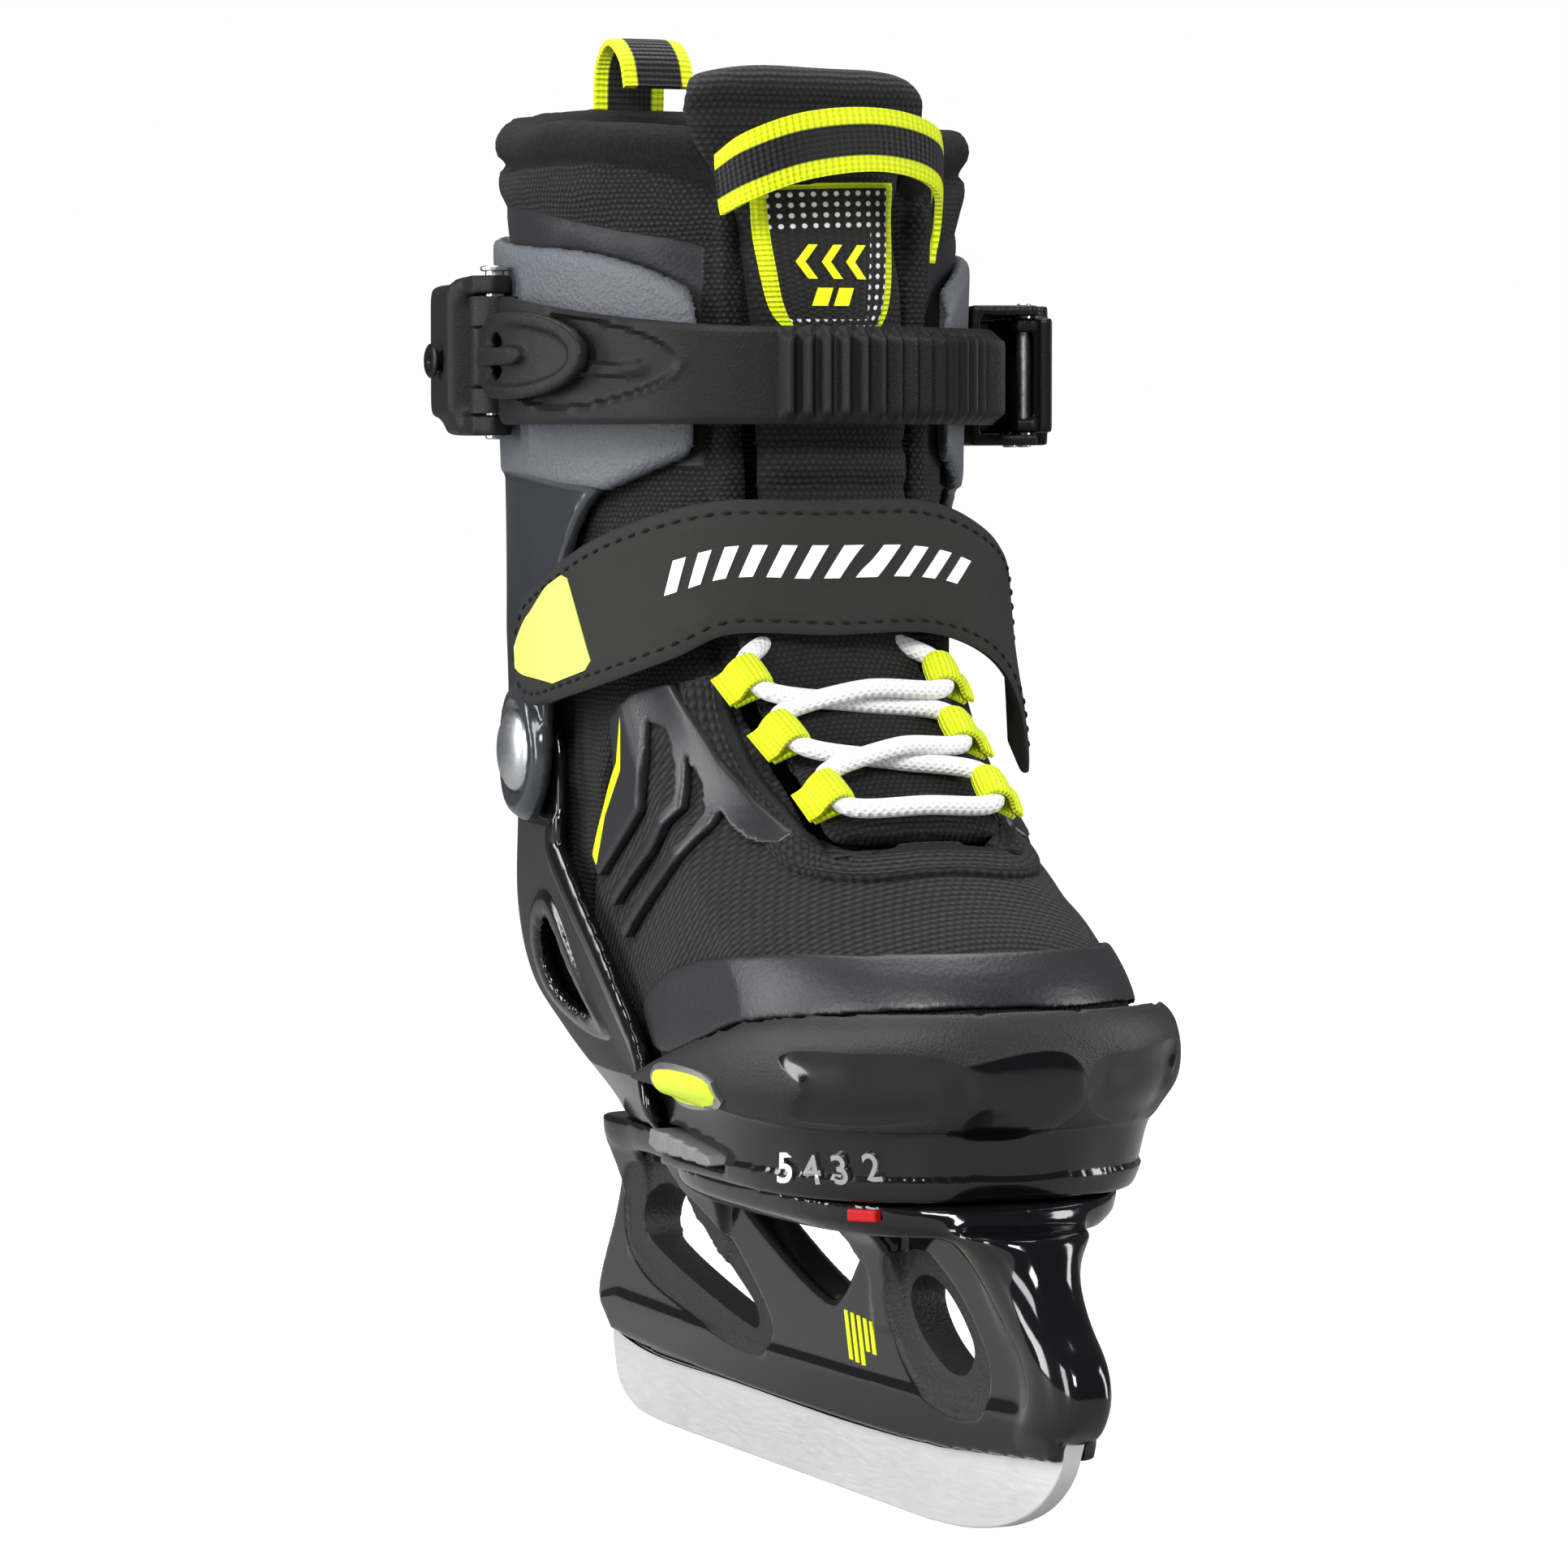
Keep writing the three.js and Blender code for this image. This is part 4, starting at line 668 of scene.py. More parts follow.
# knit cloths: the second colour is painted shade in the gaps, the glint colour a painted highlight on the
# loop tops
vampMaterial = clothMaterial(
    "vampMesh", rgb(0.0095, 0.0105, 0.0095), rgb(0.0012, 0.0012, 0.0012), 0.5, 0.62, 0.8,
    paintedGlintColour=rgb(0.075, 0.078, 0.07), uneven=0.2
)
tongueMaterial = clothMaterial(
    "tongueMesh", rgb(0.006, 0.006, 0.0065), rgb(0.0012, 0.0012, 0.0012), 0.7, 0.8, 0.5,
    paintedGlintColour=rgb(0.05, 0.05, 0.05), uneven=0.9
)
eyestayMaterial = clothMaterial(
    "eyestayMesh", rgb(0.01, 0.01, 0.0105), rgb(0.001, 0.001, 0.001), 0.42, 0.55, 1.2,
    paintedGlintColour=rgb(0.07, 0.07, 0.07), uneven=1.6
)
linerMaterial = clothMaterial(
    "linerKnit", rgb(0.006, 0.006, 0.006), rgb(0.002, 0.002, 0.002), 1.2, 1.2, 0.2, place=objectPlace
)
nubuckMaterial = plasticMaterial(
    "nubuckStrap", rgb(0.019, 0.019, 0.018), rgb(0.04, 0.04, 0.04), 0.72, 3.0, 0.12, wear=0.0, dust=0.03
)
threadMaterial = clothMaterial(
    "blackThread", rgb(0.005, 0.005, 0.005), rgb(0.002, 0.002, 0.002), 2.0, 2.0, 0.1, place=objectPlace
)
patchMaterial = plasticMaterial(
    "patchVinyl", looks["patch"], rgb(0.8, 0.85, 0.5), 0.4, 3.0, 0.04, wear=0.0, dust=0.03
)
whitePrintMaterial = plasticMaterial(
    "whitePrint", rgb(0.85, 0.85, 0.85), rgb(0.8, 0.8, 0.8), 0.5, 3.0, 0.03, wear=0.0, dust=0.01
)
neonWebbing = webbingMaterial("neonWebbing", looks["neon"], ribs=0.95)
stripedWebbing = webbingMaterial("stripedWebbing", looks["neon"], looks["black"], 5.2, ribs=0.75)


def buildLaceMaterial():
    made, tree, shader = startMaterial("laceWhite", Roughness=0.75, Sheen_Weight=0.2)
    braid = useGroup(tree, braidGroup, Place=clothPlace(tree), Yarns=3.6)
    # multiplies the painted shade between the braid's yarns into the white
    feed(tree, shader.inputs["Base Color"], mixColour(tree, 1.0, looks["white"], braid["Shade"], "MULTIPLY"))
    bumpFrom(tree, shader, braid["Height"], 1.0, 0.22)
    return made


laceMaterial = buildLaceMaterial()
print("materials made")


def dress(obj, material, slotName, *nodes):
    obj.data.materials.clear()
    obj.data.materials.append(material)
    if nodes:
        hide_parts(*nodes)
    return obj


# blade
blade = {"heel": 109.5, "toe": -113.0, "top": 26.5, "halfThickness": 2.0, "bevel": 0.5}


def makeBlade():
    under = curveThrough([(blade["heel"], 14), (106.5, 6), (98, 1.6), (86, 0.3), (70, 0)], 24)
    toe = curveThrough([(-52, 0), (-70, 1.2), (-87, 4.4), (-101, 10), (-109, 16.5), (blade["toe"], 24)], 36)
    outline = [
        (blade["heel"], blade["top"]), *map(tuple, under), *map(tuple, toe), (blade["toe"], blade["top"])
    ]
    obj = slab("blade", outline, "x", -blade["halfThickness"], blade["halfThickness"], "chassis")
    bevelEdges(obj, blade["bevel"], 3, 40)
    dress(smoothShade(obj, 25), steelMaterial, "steel", "blade_runner")


makeBlade()

# blade holder
holder = {
    "web": 4.7, "voxel": 0.7, "rounds": 10, "recess": 0.7, "noseRounds": 18, "beamRounds": 70, "tuck": 1.7,
    "outline": [
        (96, 60.5), (101, 46), (
            111.5, 28
        ), (112.5, 22), (108, 18.5), (90, 15), (38, 14.6), (-21, 14.4), (-58, 15.6),
        (-88, 18.4), (-108, 22), (-117, 26), (-120.5, 32), (-118, 39), (-111, 45), (-104, 54), (-101, 60.5),
    ],
    "nose": [(-101.5, 62), (-104, 54), (-111, 45), (-118, 39), (-120.4, 32), (-117, 26), (-110, 21.4)],
    "postHalf": [(20, 5.4), (26, 6.6), (38, 7.3), (46, 7.8), (54, 9.4), (58, 12), (62, 16)],
    "postReach": [(20, 11), (38, 11), (50, 12), (62, 15)],
    "rearWindow": [
        (86, 45), (80, 51.5), (70, 52.5), (58, 49.5), (42, 40), (26, 31), (25.5, 28), (31, 28), (78, 38),
        (85, 41)
    ],
    "middleWindow": [(34, 55.5), (-28, 55.5), (-21, 44), (-14, 39), (-8, 39.5), (16, 47)],
    "frontWindow": [
        (-48, 44), (-52, 48), (-61, 48), (-72, 42), (-77, 36), (-73, 31.5), (-65, 31.5), (-52, 38)
    ],
    "rearLeaf": [
        (96, 47), (90, 55), (76, 57), (58, 54.5), (40, 46), (24, 36), (17, 29), (20, 23.5), (31, 22.5),
        (60, 27), (84, 32), (94, 38)
    ],
    "frontLeaf": [
        (-40, 42), (-45, 51), (-55, 53.5), (-66, 50), (-78, 42.5), (-85, 34), (-84, 26), (-74, 23),
        (-60, 24), (-46, 31)
    ],
    "deckHalf": [
        (-92, 0), (-88, 14), (-80, 24), (-66, 32), (-45, 35), (-12, 35), (6, 31), (25, 22), (45, 14), (
            80, 10.5
        ), (98, 9), (101, 0),
    ],
}


def deckRing(z, share):
    line = curveThrough(holder["deckHalf"], 60)[1:-1]
    right = [(half * share, y * 1.0, z) for y, half in line]
    return [
        (0, -92 * mix(share, 1, 0.5), z), *right, (0, 101 * mix(share, 1, 0.6), z),
        *[(-x, y, w) for x, y, w in reversed(right)]
    ]


def postRing(z):  # round column under the toe
    ahead = along([(z0, y0) for y0, z0 in reversed(holder["nose"])], z)
    half, reach = along(holder["postHalf"], z), along(holder["postReach"], z)
    return [
        (half * signedPower(math.cos(a), 0.9), ahead + reach + reach * signedPower(math.sin(a), 0.9), z)
        for a in np.linspace(0, 2 * math.pi, 56, endpoint=False)
    ]


def makeHolder():
    outline = [tuple(p) for p in curveThrough(holder["outline"], 120)]
    obj = slab("bladeHolder", outline, "x", -holder["web"], holder["web"], "chassis")

    def brace(y0, y1, lowHalf, highHalf, lowest=36):
        rows = [
            (lowest, 5.2, 5), (46, lowHalf, 4), (53, lowHalf + (highHalf - lowHalf) * 0.35, 2),
            (61, highHalf, 0)
        ]
        return loft("brace", [
            [(-h, y0 + d, z), (h, y0 + d, z), (h, y1 - d, z), (-h, y1 - d, z)] for z, h, d in rows
        ])

    cut(
        obj,
        slab("nose", [(y + 5.5, z) for y, z in holder["nose"]] + [(-140, 63), (-140, 21.4)], "x", -20, 20)
    )
    post = loft("post", [postRing(z) for z in np.linspace(20.8, 61.5, 44)])
    beam = slab(
        "beam",
        [
            (-112, 20), (-60, 15.5), (30, 14.9), (106, 17.5), (110, 24), (100, 26), (30, 24.5), (-60, 25.5),
            (-110, 29)
        ],
        "x", -5.6, 5.6
    )
    deck = loft("deck", [deckRing(59.5, 0.86), deckRing(62, 0.97), deckRing(66, 1)])
    join(obj, post, beam, deck, brace(36, 58, 6, 13), brace(-50, -28, 6, 17), brace(80, 98, 5, 9))
    for key in ("rearWindow", "middleWindow", "frontWindow"):
        window = [tuple(p) for p in curveThrough(holder[key], 60, closed=True)]
        cut(obj, slab("window", window, "x", -30, 30))
    soften(obj, holder["voxel"], holder["rounds"])
    roundOff(obj, lambda p: smoothStep(-p[:, 1], 76, 92) * smoothStep(p[:, 2], 23, 30), holder["noseRounds"])
    roundOff(obj, lambda p: smoothStep(p[:, 2], 18.5, 21) * smoothStep(p[:, 2], 36, 31), holder["beamRounds"])
    places, _ = spots(obj)
    outer = np.abs(places[:, 0]) > 3.3
    places[:, 0] -= np.sign(places[:, 0]) * smoothStep(places[:, 2], 27, 14.5) * holder["tuck"] * outer
    moveSpots(obj, places)
    places, normals = spots(obj)
    leafs = [
        depthInside(places[:, 1:], curveThrough(holder[key], 60, closed=True))
        for key in ("rearLeaf", "frontLeaf")
    ]
    leaf = np.maximum(*leafs)
    side = np.abs(normals[:, 0]) > 0.35
    sunk = smoothStep(leaf, -0.3, 0.9) * holder["recess"] * np.clip(np.abs(normals[:, 0]), 0, 1)
    places[:, 0] -= np.sign(places[:, 0]) * np.where(side, sunk, 0)
    moveSpots(obj, places)
    paint(obj, "gloss", np.clip(-leaf, -3, 3))
    slot = 2.35
    cut(
        obj,
        slab("slot", [(-slot, -113.35), (slot, -113.35), (slot, 109.85), (-slot, 109.85)], "z", 2, 26.85)
    )
    return dress(smoothShade(obj, 40), holderMaterial, "gloss_black", "blade_holder")


holderPiece = makeHolder()
print("blade and holder made")

# hard shells
heelShell = {
    "middle": 45.0, "wall": 2.6, "voxel": 0.8, "rounds": 8, "lip": 1.0,
    "half": [(66, 12.5), (71, 16), (80, 24), (86, 28.5), (97, 36), (112, 39.6), (130, 40.4), (162, 40.6)],
    "back": [(66, 98), (71, 101), (80, 108), (86, 113), (97, 118), (112, 120.5), (130, 118), (162, 112)],
    "front": [(66, 34.5), (72, 41), (78, 45), (90, 46), (102, 45), (114, 44), (134, 41.5), (162, 40.6)],
    "window": [(54, 113), (63, 108), (63, 98), (50, 92), (42, 94), (46, 103)],
    "rise": [(-1, 66), (-6.5, 72.5), (-11.6, 78.5), (14, 101), (36, 119), (46, 128)],
    "top": [
        (46, 128), (46.5, 148), (51, 156), (59, 159), (67, 156), (72, 148), (80, 139), (94, 132),
        (108, 127), (140, 124)
    ],
}


def heelRing(z, inset, frontEnd=-32):
    middle = heelShell["middle"]
    half = along(heelShell["half"], z) - inset
    front = along(heelShell["front"], z) - inset
    back = along(heelShell["back"], z) - inset

    def side(y):
        return mix(half, front, min(1, max(0, (middle - y) / 57)) ** 1.3)

    rows = [frontEnd, *np.linspace(max(frontEnd + 4, -24), 42, 14)]
    points = [(-side(y), y, z) for y in rows]
    for i in range(41):
        angle = math.pi * i / 40
        points.append((-half * math.cos(angle), middle + (back - middle) * math.sin(angle), z))
    return [*points, *[(side(y), y, z) for y in reversed(rows)]]


def heelProfile():
    rise = [tuple(p) for p in curveThrough(heelShell["rise"], 40)]
    top = [tuple(p) for p in curveThrough(heelShell["top"], 60)]
    return [(-1, 60), *rise, *top[1:], (140, 60)]


def makeHeelShell():
    levels = [66.35, *np.linspace(69, 162, 46)]
    obj = loft("heelShell", [heelRing(z, 0) for z in levels], "chassis")
    inner = loft("inner", [heelRing(z, heelShell["wall"]) for z in [69.4, *np.linspace(71, 170, 46)]])
    cut(obj, inner)
    keepInside(obj, slab("side", heelProfile(), "x", -60, 60))
    window = [tuple(p) for p in curveThrough(heelShell["window"], 40, closed=True)]
    cut(obj, slab("window", window, "x", -60, 60))
    soften(obj, heelShell["voxel"], heelShell["rounds"])
    places, normals = spots(obj)
    flat = places[:, 1:]
    edge = distanceTo(flat, curveThrough(heelShell["rise"], 50))
    frameGap = np.abs(depthInside(flat, curveThrough(heelShell["window"], 40, closed=True)))
    outward = normals[:, 0] * np.sign(places[:, 0]) > 0.2
    lip = smoothStep(edge, 7.5, 5.0) * (
        0.5 + 0.5 * smoothStep(edge, 0.0, 2.5)
    ) + smoothStep(frameGap, 5.5, 3.8)
    lip = np.clip(lip, 0, 1) * heelShell["lip"] * outward * (places[:, 2] > 74)
    moveSpots(obj, places + normals * lip[:, None])
    rear = (places[:, 1] - 84) * 0.6
    paint(
        obj, "gloss",
        np.maximum.reduce(
            [7.2 - edge, 5.2 - frameGap, 79 - places[:, 2], rear, np.where(places[:, 2] > 131, 1.0, -3.0)]
        )
    )
    dress(smoothShade(obj), shellMaterial, "gloss_black", "heel_shell")


toeShell = {
    "rimFront": 103.6, "voxel": 0.8, "rounds": 7,
    "profile": [
        (66.4, 9), (70, 7.6), (77, 6), (80, 5.0), (83, 3.4), (87, 0.8), (92, 0), (97, 0.4), (101, 1.8),
        (103.6, 4)
    ],
    "leftVent": [
        (-42.5, 94.2), (-34, 95), (-20, 94.2), (-12.6, 91), (-12.4, 86.6), (-20, 83.6), (-39.5, 83.2),
        (-39.6, 88.5)
    ],
    "rightVent": [
        (11.4, 90), (14, 93.2), (23, 94), (36.5, 94.6), (34.4, 88.4), (33.6, 82), (20, 81.6), (13, 85)
    ],
    "plateau": [(-20.6, 90.5), (-10.5, 94.5), (7, 95), (11.4, 86), (3, 79.5), (-17.3, 81)],
}


def rimHeight(y):
    return toeShell["rimFront"] - 0.0023 * max(y + 95, 0) ** 2


def toeRing(z, inset, rearY, follow=True, sides=60):
    points = []

    def place(x, y):
        share = (rimHeight(y) - 83) / (toeShell["rimFront"] - 83) if follow and z > 83 else 1
        points.append((x, y, 83 + (z - 83) * max(share, 0.06) if z > 83 else z))

    half = 48 - inset
    rows = list(np.linspace(rearY, -36, 8))
    for y in rows:
        place(-half + 0.02 * (y + 40), y)
    for i in range(sides + 1):
        angle = math.pi * i / sides
        place(-half * signedPower(math.cos(angle), 0.8), -40 - (57 - inset) * math.sin(angle) ** 0.8)
    for y in reversed(rows):
        place(half - 0.02 * (y + 40), y)
    return points


def toeLoft(name, out, rearY=0, low=66.4):
    levels = [z for z in np.linspace(low, 103.6, 34)]
    return loft(name, [toeRing(z, along(toeShell["profile"], z) - out, rearY) for z in levels])


def makeToeShell():
    obj = toeLoft("toeShell", 0)
    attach(obj, "toe_box")
    hollow = [(69.4, 10.5), (77, 8.8), (83, 6.4), (88, 3.4), (92, 2.7), (97, 3), (101, 4.3), (108, 4.3)]
    cut(obj, loft("inner", [toeRing(z, along(hollow, z), 30, False) for z in np.linspace(69.4, 108, 30)]))
    rise = [(y - 1, z) for y, z in curveThrough([(12.6, 50), *heelShell["rise"]], 50)]
    keepInside(obj, slab("ahead", [*rise, (45, 160), (-140, 160), (-140, 50)], "x", -60, 60))
    for key, depth in (("leftVent", 1.2), ("rightVent", 1.2)):
        outline = [tuple(p) for p in curveThrough(toeShell[key], 50, closed=True)]
        scoop = slab("scoop", outline, "y", -120, -62)
        cut(scoop, toeLoft("core", -depth, 5, 60))
        cut(obj, scoop)
    cut(
        obj,
        slab(
            "buttonSlot",
            [(-8, 71), (-9, 75.2), (-18, 74.8), (-38.5, 72.6), (-41, 70.6), (-38, 69.2), (-13, 69.4)], "x",
            -50, -34
        )
    )
    soften(obj, toeShell["voxel"], toeShell["rounds"] + 6)
    places, normals = spots(obj)
    front = places[:, [0, 2]]
    vent = np.maximum(
        depthInside(front, curveThrough(toeShell["leftVent"], 50, closed=True)),
        depthInside(front, curveThrough(toeShell["rightVent"], 50, closed=True))
    )
    plateau = depthInside(front, curveThrough(toeShell["plateau"], 50, closed=True))
    ahead = places[:, 1] < -55
    stepLine = 80.2 + np.clip((places[:, 1] + 70) * 0.07, 0, 5)
    raised = smoothStep(plateau, -0.4, 1.2) * 0.5 * (ahead & (normals[:, 1] < -0.2))
    sunk = smoothStep(stepLine - places[:, 2], -0.6, 0.6) * 0.7 * (places[:, 2] > 71)
    moveSpots(obj, places + normals * (raised - sunk * (normals[:, 2] < 0.5))[:, None])
    roundOff(
        obj,
        lambda p: smoothStep(-p[:, 1], 55, 66) * smoothStep(p[:, 2], 79, 82) * smoothStep(p[:, 2], 99, 96),
        16
    )
    roundOff(
        obj,
        lambda p: smoothStep(p[:, 2], 67, 69.5) * smoothStep(p[:, 2], 77, 74.5) * smoothStep(
            np.abs(p[:, 1] + 92), 8, 14
        ),
        12
    )
    paint(
        obj, "gloss",
        np.maximum(np.where(ahead, np.maximum(vent + 0.6, plateau - 0.2), -3), stepLine - places[:, 2])
    )
    dress(smoothShade(obj), shellMaterial, "matte_black", "toe_shell")
    return obj


makeHeelShell()
toeShellPiece = makeToeShell()
print("hard shells made")

# soft boot
boot = {
    "front": [
        (73, -85), (80, -89), (90, -90), (
            100, -89
        ), (108, -85), (116, -76), (124, -63), (132, -50), (142, -37),
        (155, -24), (170, -14), (190, -8), (210, -5), (235, -3), (286, 0),
    ],
    "back": [
        (73, 117), (80, 122), (95, 125), (120, 123), (142, 116), (170, 105), (200, 100), (235, 99),
        (286, 101)
    ],
    "widest": [(73, -35), (95, -35), (108, -25), (124, 2), (142, 26), (170, 42), (210, 47), (286, 48)],
    "half": [
        (73, 37), (80, 40), (90, 41.5), (
            100, 41.5
        ), (110, 41), (124, 39.6), (142, 37.3), (160, 37.2), (175, 38.6),
        (210, 40.2), (235, 42), (262, 46), (286, 45.5),
    ],
    "squareFront": [(73, 2.3), (108, 2.2), (132, 2.1), (286, 2.2)],
    "squareBack": [(73, 2.7), (108, 2.8), (142, 2.3), (286, 2.2)],
    "collar": [
        (-16, 249), (-11, 255), (-5, 263), (3, 270), (14, 274), (32, 275.5), (54, 275.5), (78, 278),
        (104, 283), (125, 284)
    ],
    "vinylTop": [(-14, 243), (-4, 247.5), (10, 252), (45, 258.5), (110, 263)],
    "ankle": (59.0, 147.0), "throat": 18.0, "vampThroat": 20.0,
}


def bootRing(z, inset, count=104):
    front, back = along(boot["front"], z) + inset, along(boot["back"], z) - inset
    widest, half = along(boot["widest"], z), along(boot["half"], z) - inset
    points = []
    for i in range(count):
        angle = 2 * math.pi * i / count
        toFront = math.sin(angle) < 0
        power = 2 / along(boot["squareFront" if toFront else "squareBack"], z)
        reach = widest - front if toFront else back - widest
        x = half * signedPower(math.cos(angle), power)
        y = widest + reach * signedPower(math.sin(angle), power)
        points.append((x, y, z))
    return points


def bootLoft(name, insetAt, low, high):
    levels = np.linspace(low, high, max(12, int((high - low) / 2.6)))
    return loft(name, [bootRing(z, insetAt(z)) for z in levels])


def footForm(name, inset, low, high, room=5.2):  # the boot's form where it stands inside the rear shell
    form = bootLoft(name, lambda z: inset, low, high)
    levels = np.linspace(60, 215, 50)
    return keepInside(
        form, loft("hull", [heelRing(z, room + inset - max(0, z - 160) * 0.6, -150) for z in levels])
    )


def toeJoin(z):
    return 18 + (165 - z) * 0.5


def puff(places, size):  # slow swell so that padding isn't perfectly even
    x, y, z = places.T
    return size * (
        np.sin(0.19 * x + 0.11 * z + 1.1) * np.sin(0.13 * y - 0.07 * z)
        + 0.5 * np.sin(0.31 * z + 0.23 * y + 2)
    )


def aroundLeg(places, normals):
    return np.arctan2(places[:, 0], -(places[:, 1] - 47)) * 44, places[:, 2]


def overFoot(places, normals):
    return np.arctan2(places[:, 0], places[:, 2] - 84) * 42, (places[:, 2] + places[:, 1]) * 0.74


cuff = {
    "wall": 2.8, "voxel": 0.8, "rounds": 6,
    "middle": [(128, 45), (165, 46), (205, 50), (252, 50)],
    "half": [(128, 43.9), (150, 44), (180, 44.2), (205, 44.6), (225, 45.6), (252, 46.4)],
    "front": [(128, -20), (180, -14), (205, -8), (252, -8)],
    "back": [(128, 121.6), (147, 118.5), (165, 111), (205, 105), (252, 105)],
    "profile": [
        (2, 236), (8, 243), (22, 248), (55, 251), (
            100, 255
        ), (124, 256), (126, 215), (120, 172), (96, 174), (84, 168), (76, 154),
        (71, 140), (64, 133), (56, 132.5), (48, 139), (45, 152), (43.5, 168), (39, 180), (33.5, 191), (
            26.5, 199.5
        ), (13, 205.5), (3, 211), (-2, 224),
    ],
    "wing": [
        (-6, 224), (0, 203), (32, 202), (42, 203), (60, 204.5), (90, 204), (132, 204), (132, 262),
        (20, 262), (-4, 240)
    ],
}


def cuffRing(z, inset):
    half, middle = along(cuff["half"], z) - inset, along(cuff["middle"], z)
    front, back = along(cuff["front"], z) + inset, along(cuff["back"], z) - inset
    power = mix(1, 0.94, min(1, max(0, (z - 158) / 14)))
    points = []
    for i in range(110):
        angle = 2 * math.pi * i / 110
        reach = middle - front if math.sin(angle) < 0 else back - middle
        x = half * signedPower(math.cos(angle), power)
        y = middle + reach * signedPower(math.sin(angle), power)
        points.append((x, y, z))
    return points


def cuffProfile():
    return [tuple(p) for p in curveThrough(cuff["profile"], 150, closed=True)]


def cuffWall(name, out, into):
    levels = np.linspace(126, 260, 54)
    wall = loft(name, [cuffRing(z, out) for z in levels])
    levels = np.linspace(124, 262, 54)
    cut(wall, loft("inner", [cuffRing(z, into) for z in levels]))
    return keepInside(wall, slab("side", cuffProfile(), "x", -60, 60))


def makeCuff():
    obj = cuffWall("cuffShell", 0, cuff["wall"])
    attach(obj, "cuff_and_shaft")
    cut(obj, slab("gap", [(-28, -60), (28, -60), (28, 40), (-28, 40)], "z", 100, 300))
    tail = [
        tuple(p)
        for p in curveThrough(
            [(-13, 189), (0, 187), (13, 189), (14, 199), (12, 209), (0, 210.5), (-12, 209), (-14, 199)], 40,
            closed=True
        )
    ]
    cut(obj, slab("tailWindow", tail, "y", 92, 130))
    soften(obj, cuff["voxel"], cuff["rounds"])
    places, normals = spots(obj)
    wing = depthInside(places[:, 1:], curveThrough(cuff["wing"], 80, closed=True))
    outward = (normals[:, 0] * places[:, 0] + normals[:, 1] * (places[:, 1] - 48)) > 0
    places += normals * (smoothStep(wing, -0.5, 1.4) * 0.9 * outward)[:, None]
    lug = np.hypot(places[:, 1] - 59, places[:, 2] - 147)
    ring = smoothStep(lug, 14.8, 12.2) * mix(0.5, 2.2, smoothStep(lug, 9.0, 10.2))
    places += normals * (ring * outward)[:, None]
    moveSpots(obj, places)
    paint(obj, "gloss", -wing + 0.4)
    dress(smoothShade(obj), cuffMaterial, "slate", "cuff")


makeCuff()
print("cuff made")

rearBoot = {"voxel": 1.5, "rounds": 9, "lowWall": 3.8, "highWall": 8.0, "roll": 1.9}


def buildBootMaterial():
    made, tree, shader = startMaterial(
        "bootFabric", Sheen_Weight=0.03, Sheen_Roughness=0.5, Specular_IOR_Level=0.25
    )
    knit = useGroup(tree, knitGroup, Place=clothPlace(tree), Across=0.76, Along=0.92, Unevenness=1.6)
    place = objectPlace(tree)
    # near-black in the gaps between loops is painted shade, and the grey on loop tops a painted highlight
    shade = mixColour(tree, knit["Gaps"], rgb(0.006, 0.006, 0.0065), rgb(0.0012, 0.0012, 0.0012))
    shade = mixColour(tree, knit["Glint"], shade, rgb(0.1, 0.1, 0.1))
    vinyl = remap(tree, painted(tree, "vinyl"), -0.2, 0.2)
    fleece = remap(tree, painted(tree, "fleece"), -0.5, 0.5)
    grain = useGroup(tree, grainGroup, Place=place, Scale=1.3)
    pile = noise(tree, place, 1.1, 5.0, 0.75)
    shade = mixColour(tree, vinyl, shade, rgb(0.014, 0.0135, 0.0165))
    shade = mixColour(
        tree, fleece, shade,
        mixColour(tree, remap(tree, pile, 0.4, 0.7), rgb(0.002, 0.002, 0.002), rgb(0.013, 0.013, 0.013))
    )
    dustMask = useGroup(tree, dustGroup, Place=place, Amount=0.008)["Mask"]
    feed(tree, shader.inputs["Base Color"], mixColour(tree, dustMask, shade, rgb(0.3, 0.3, 0.3)))
    rough = mixValue(tree, knit["Glint"], 0.75, 0.45)
    feed(tree, shader.inputs["Roughness"], mixValue(tree, fleece, mixValue(tree, vinyl, rough, 0.42), 0.95))
    height = mixValue(tree, vinyl, knit["Height"], calc(tree, "MULTIPLY", grain["Height"], 0.22))
    bumpFrom(tree, shader, mixValue(tree, fleece, height, calc(tree, "MULTIPLY", pile, 2.0)), 1.0, 0.5)
    return made


bootMaterial = buildBootMaterial()


def ankleDents(obj):
    y, z = boot["ankle"]
    cut(obj, rod("dent", "x", 6.8, -60, -34.2, (y, z)), rod("dent", "x", 6.8, 34.2, 60, (y, z)))


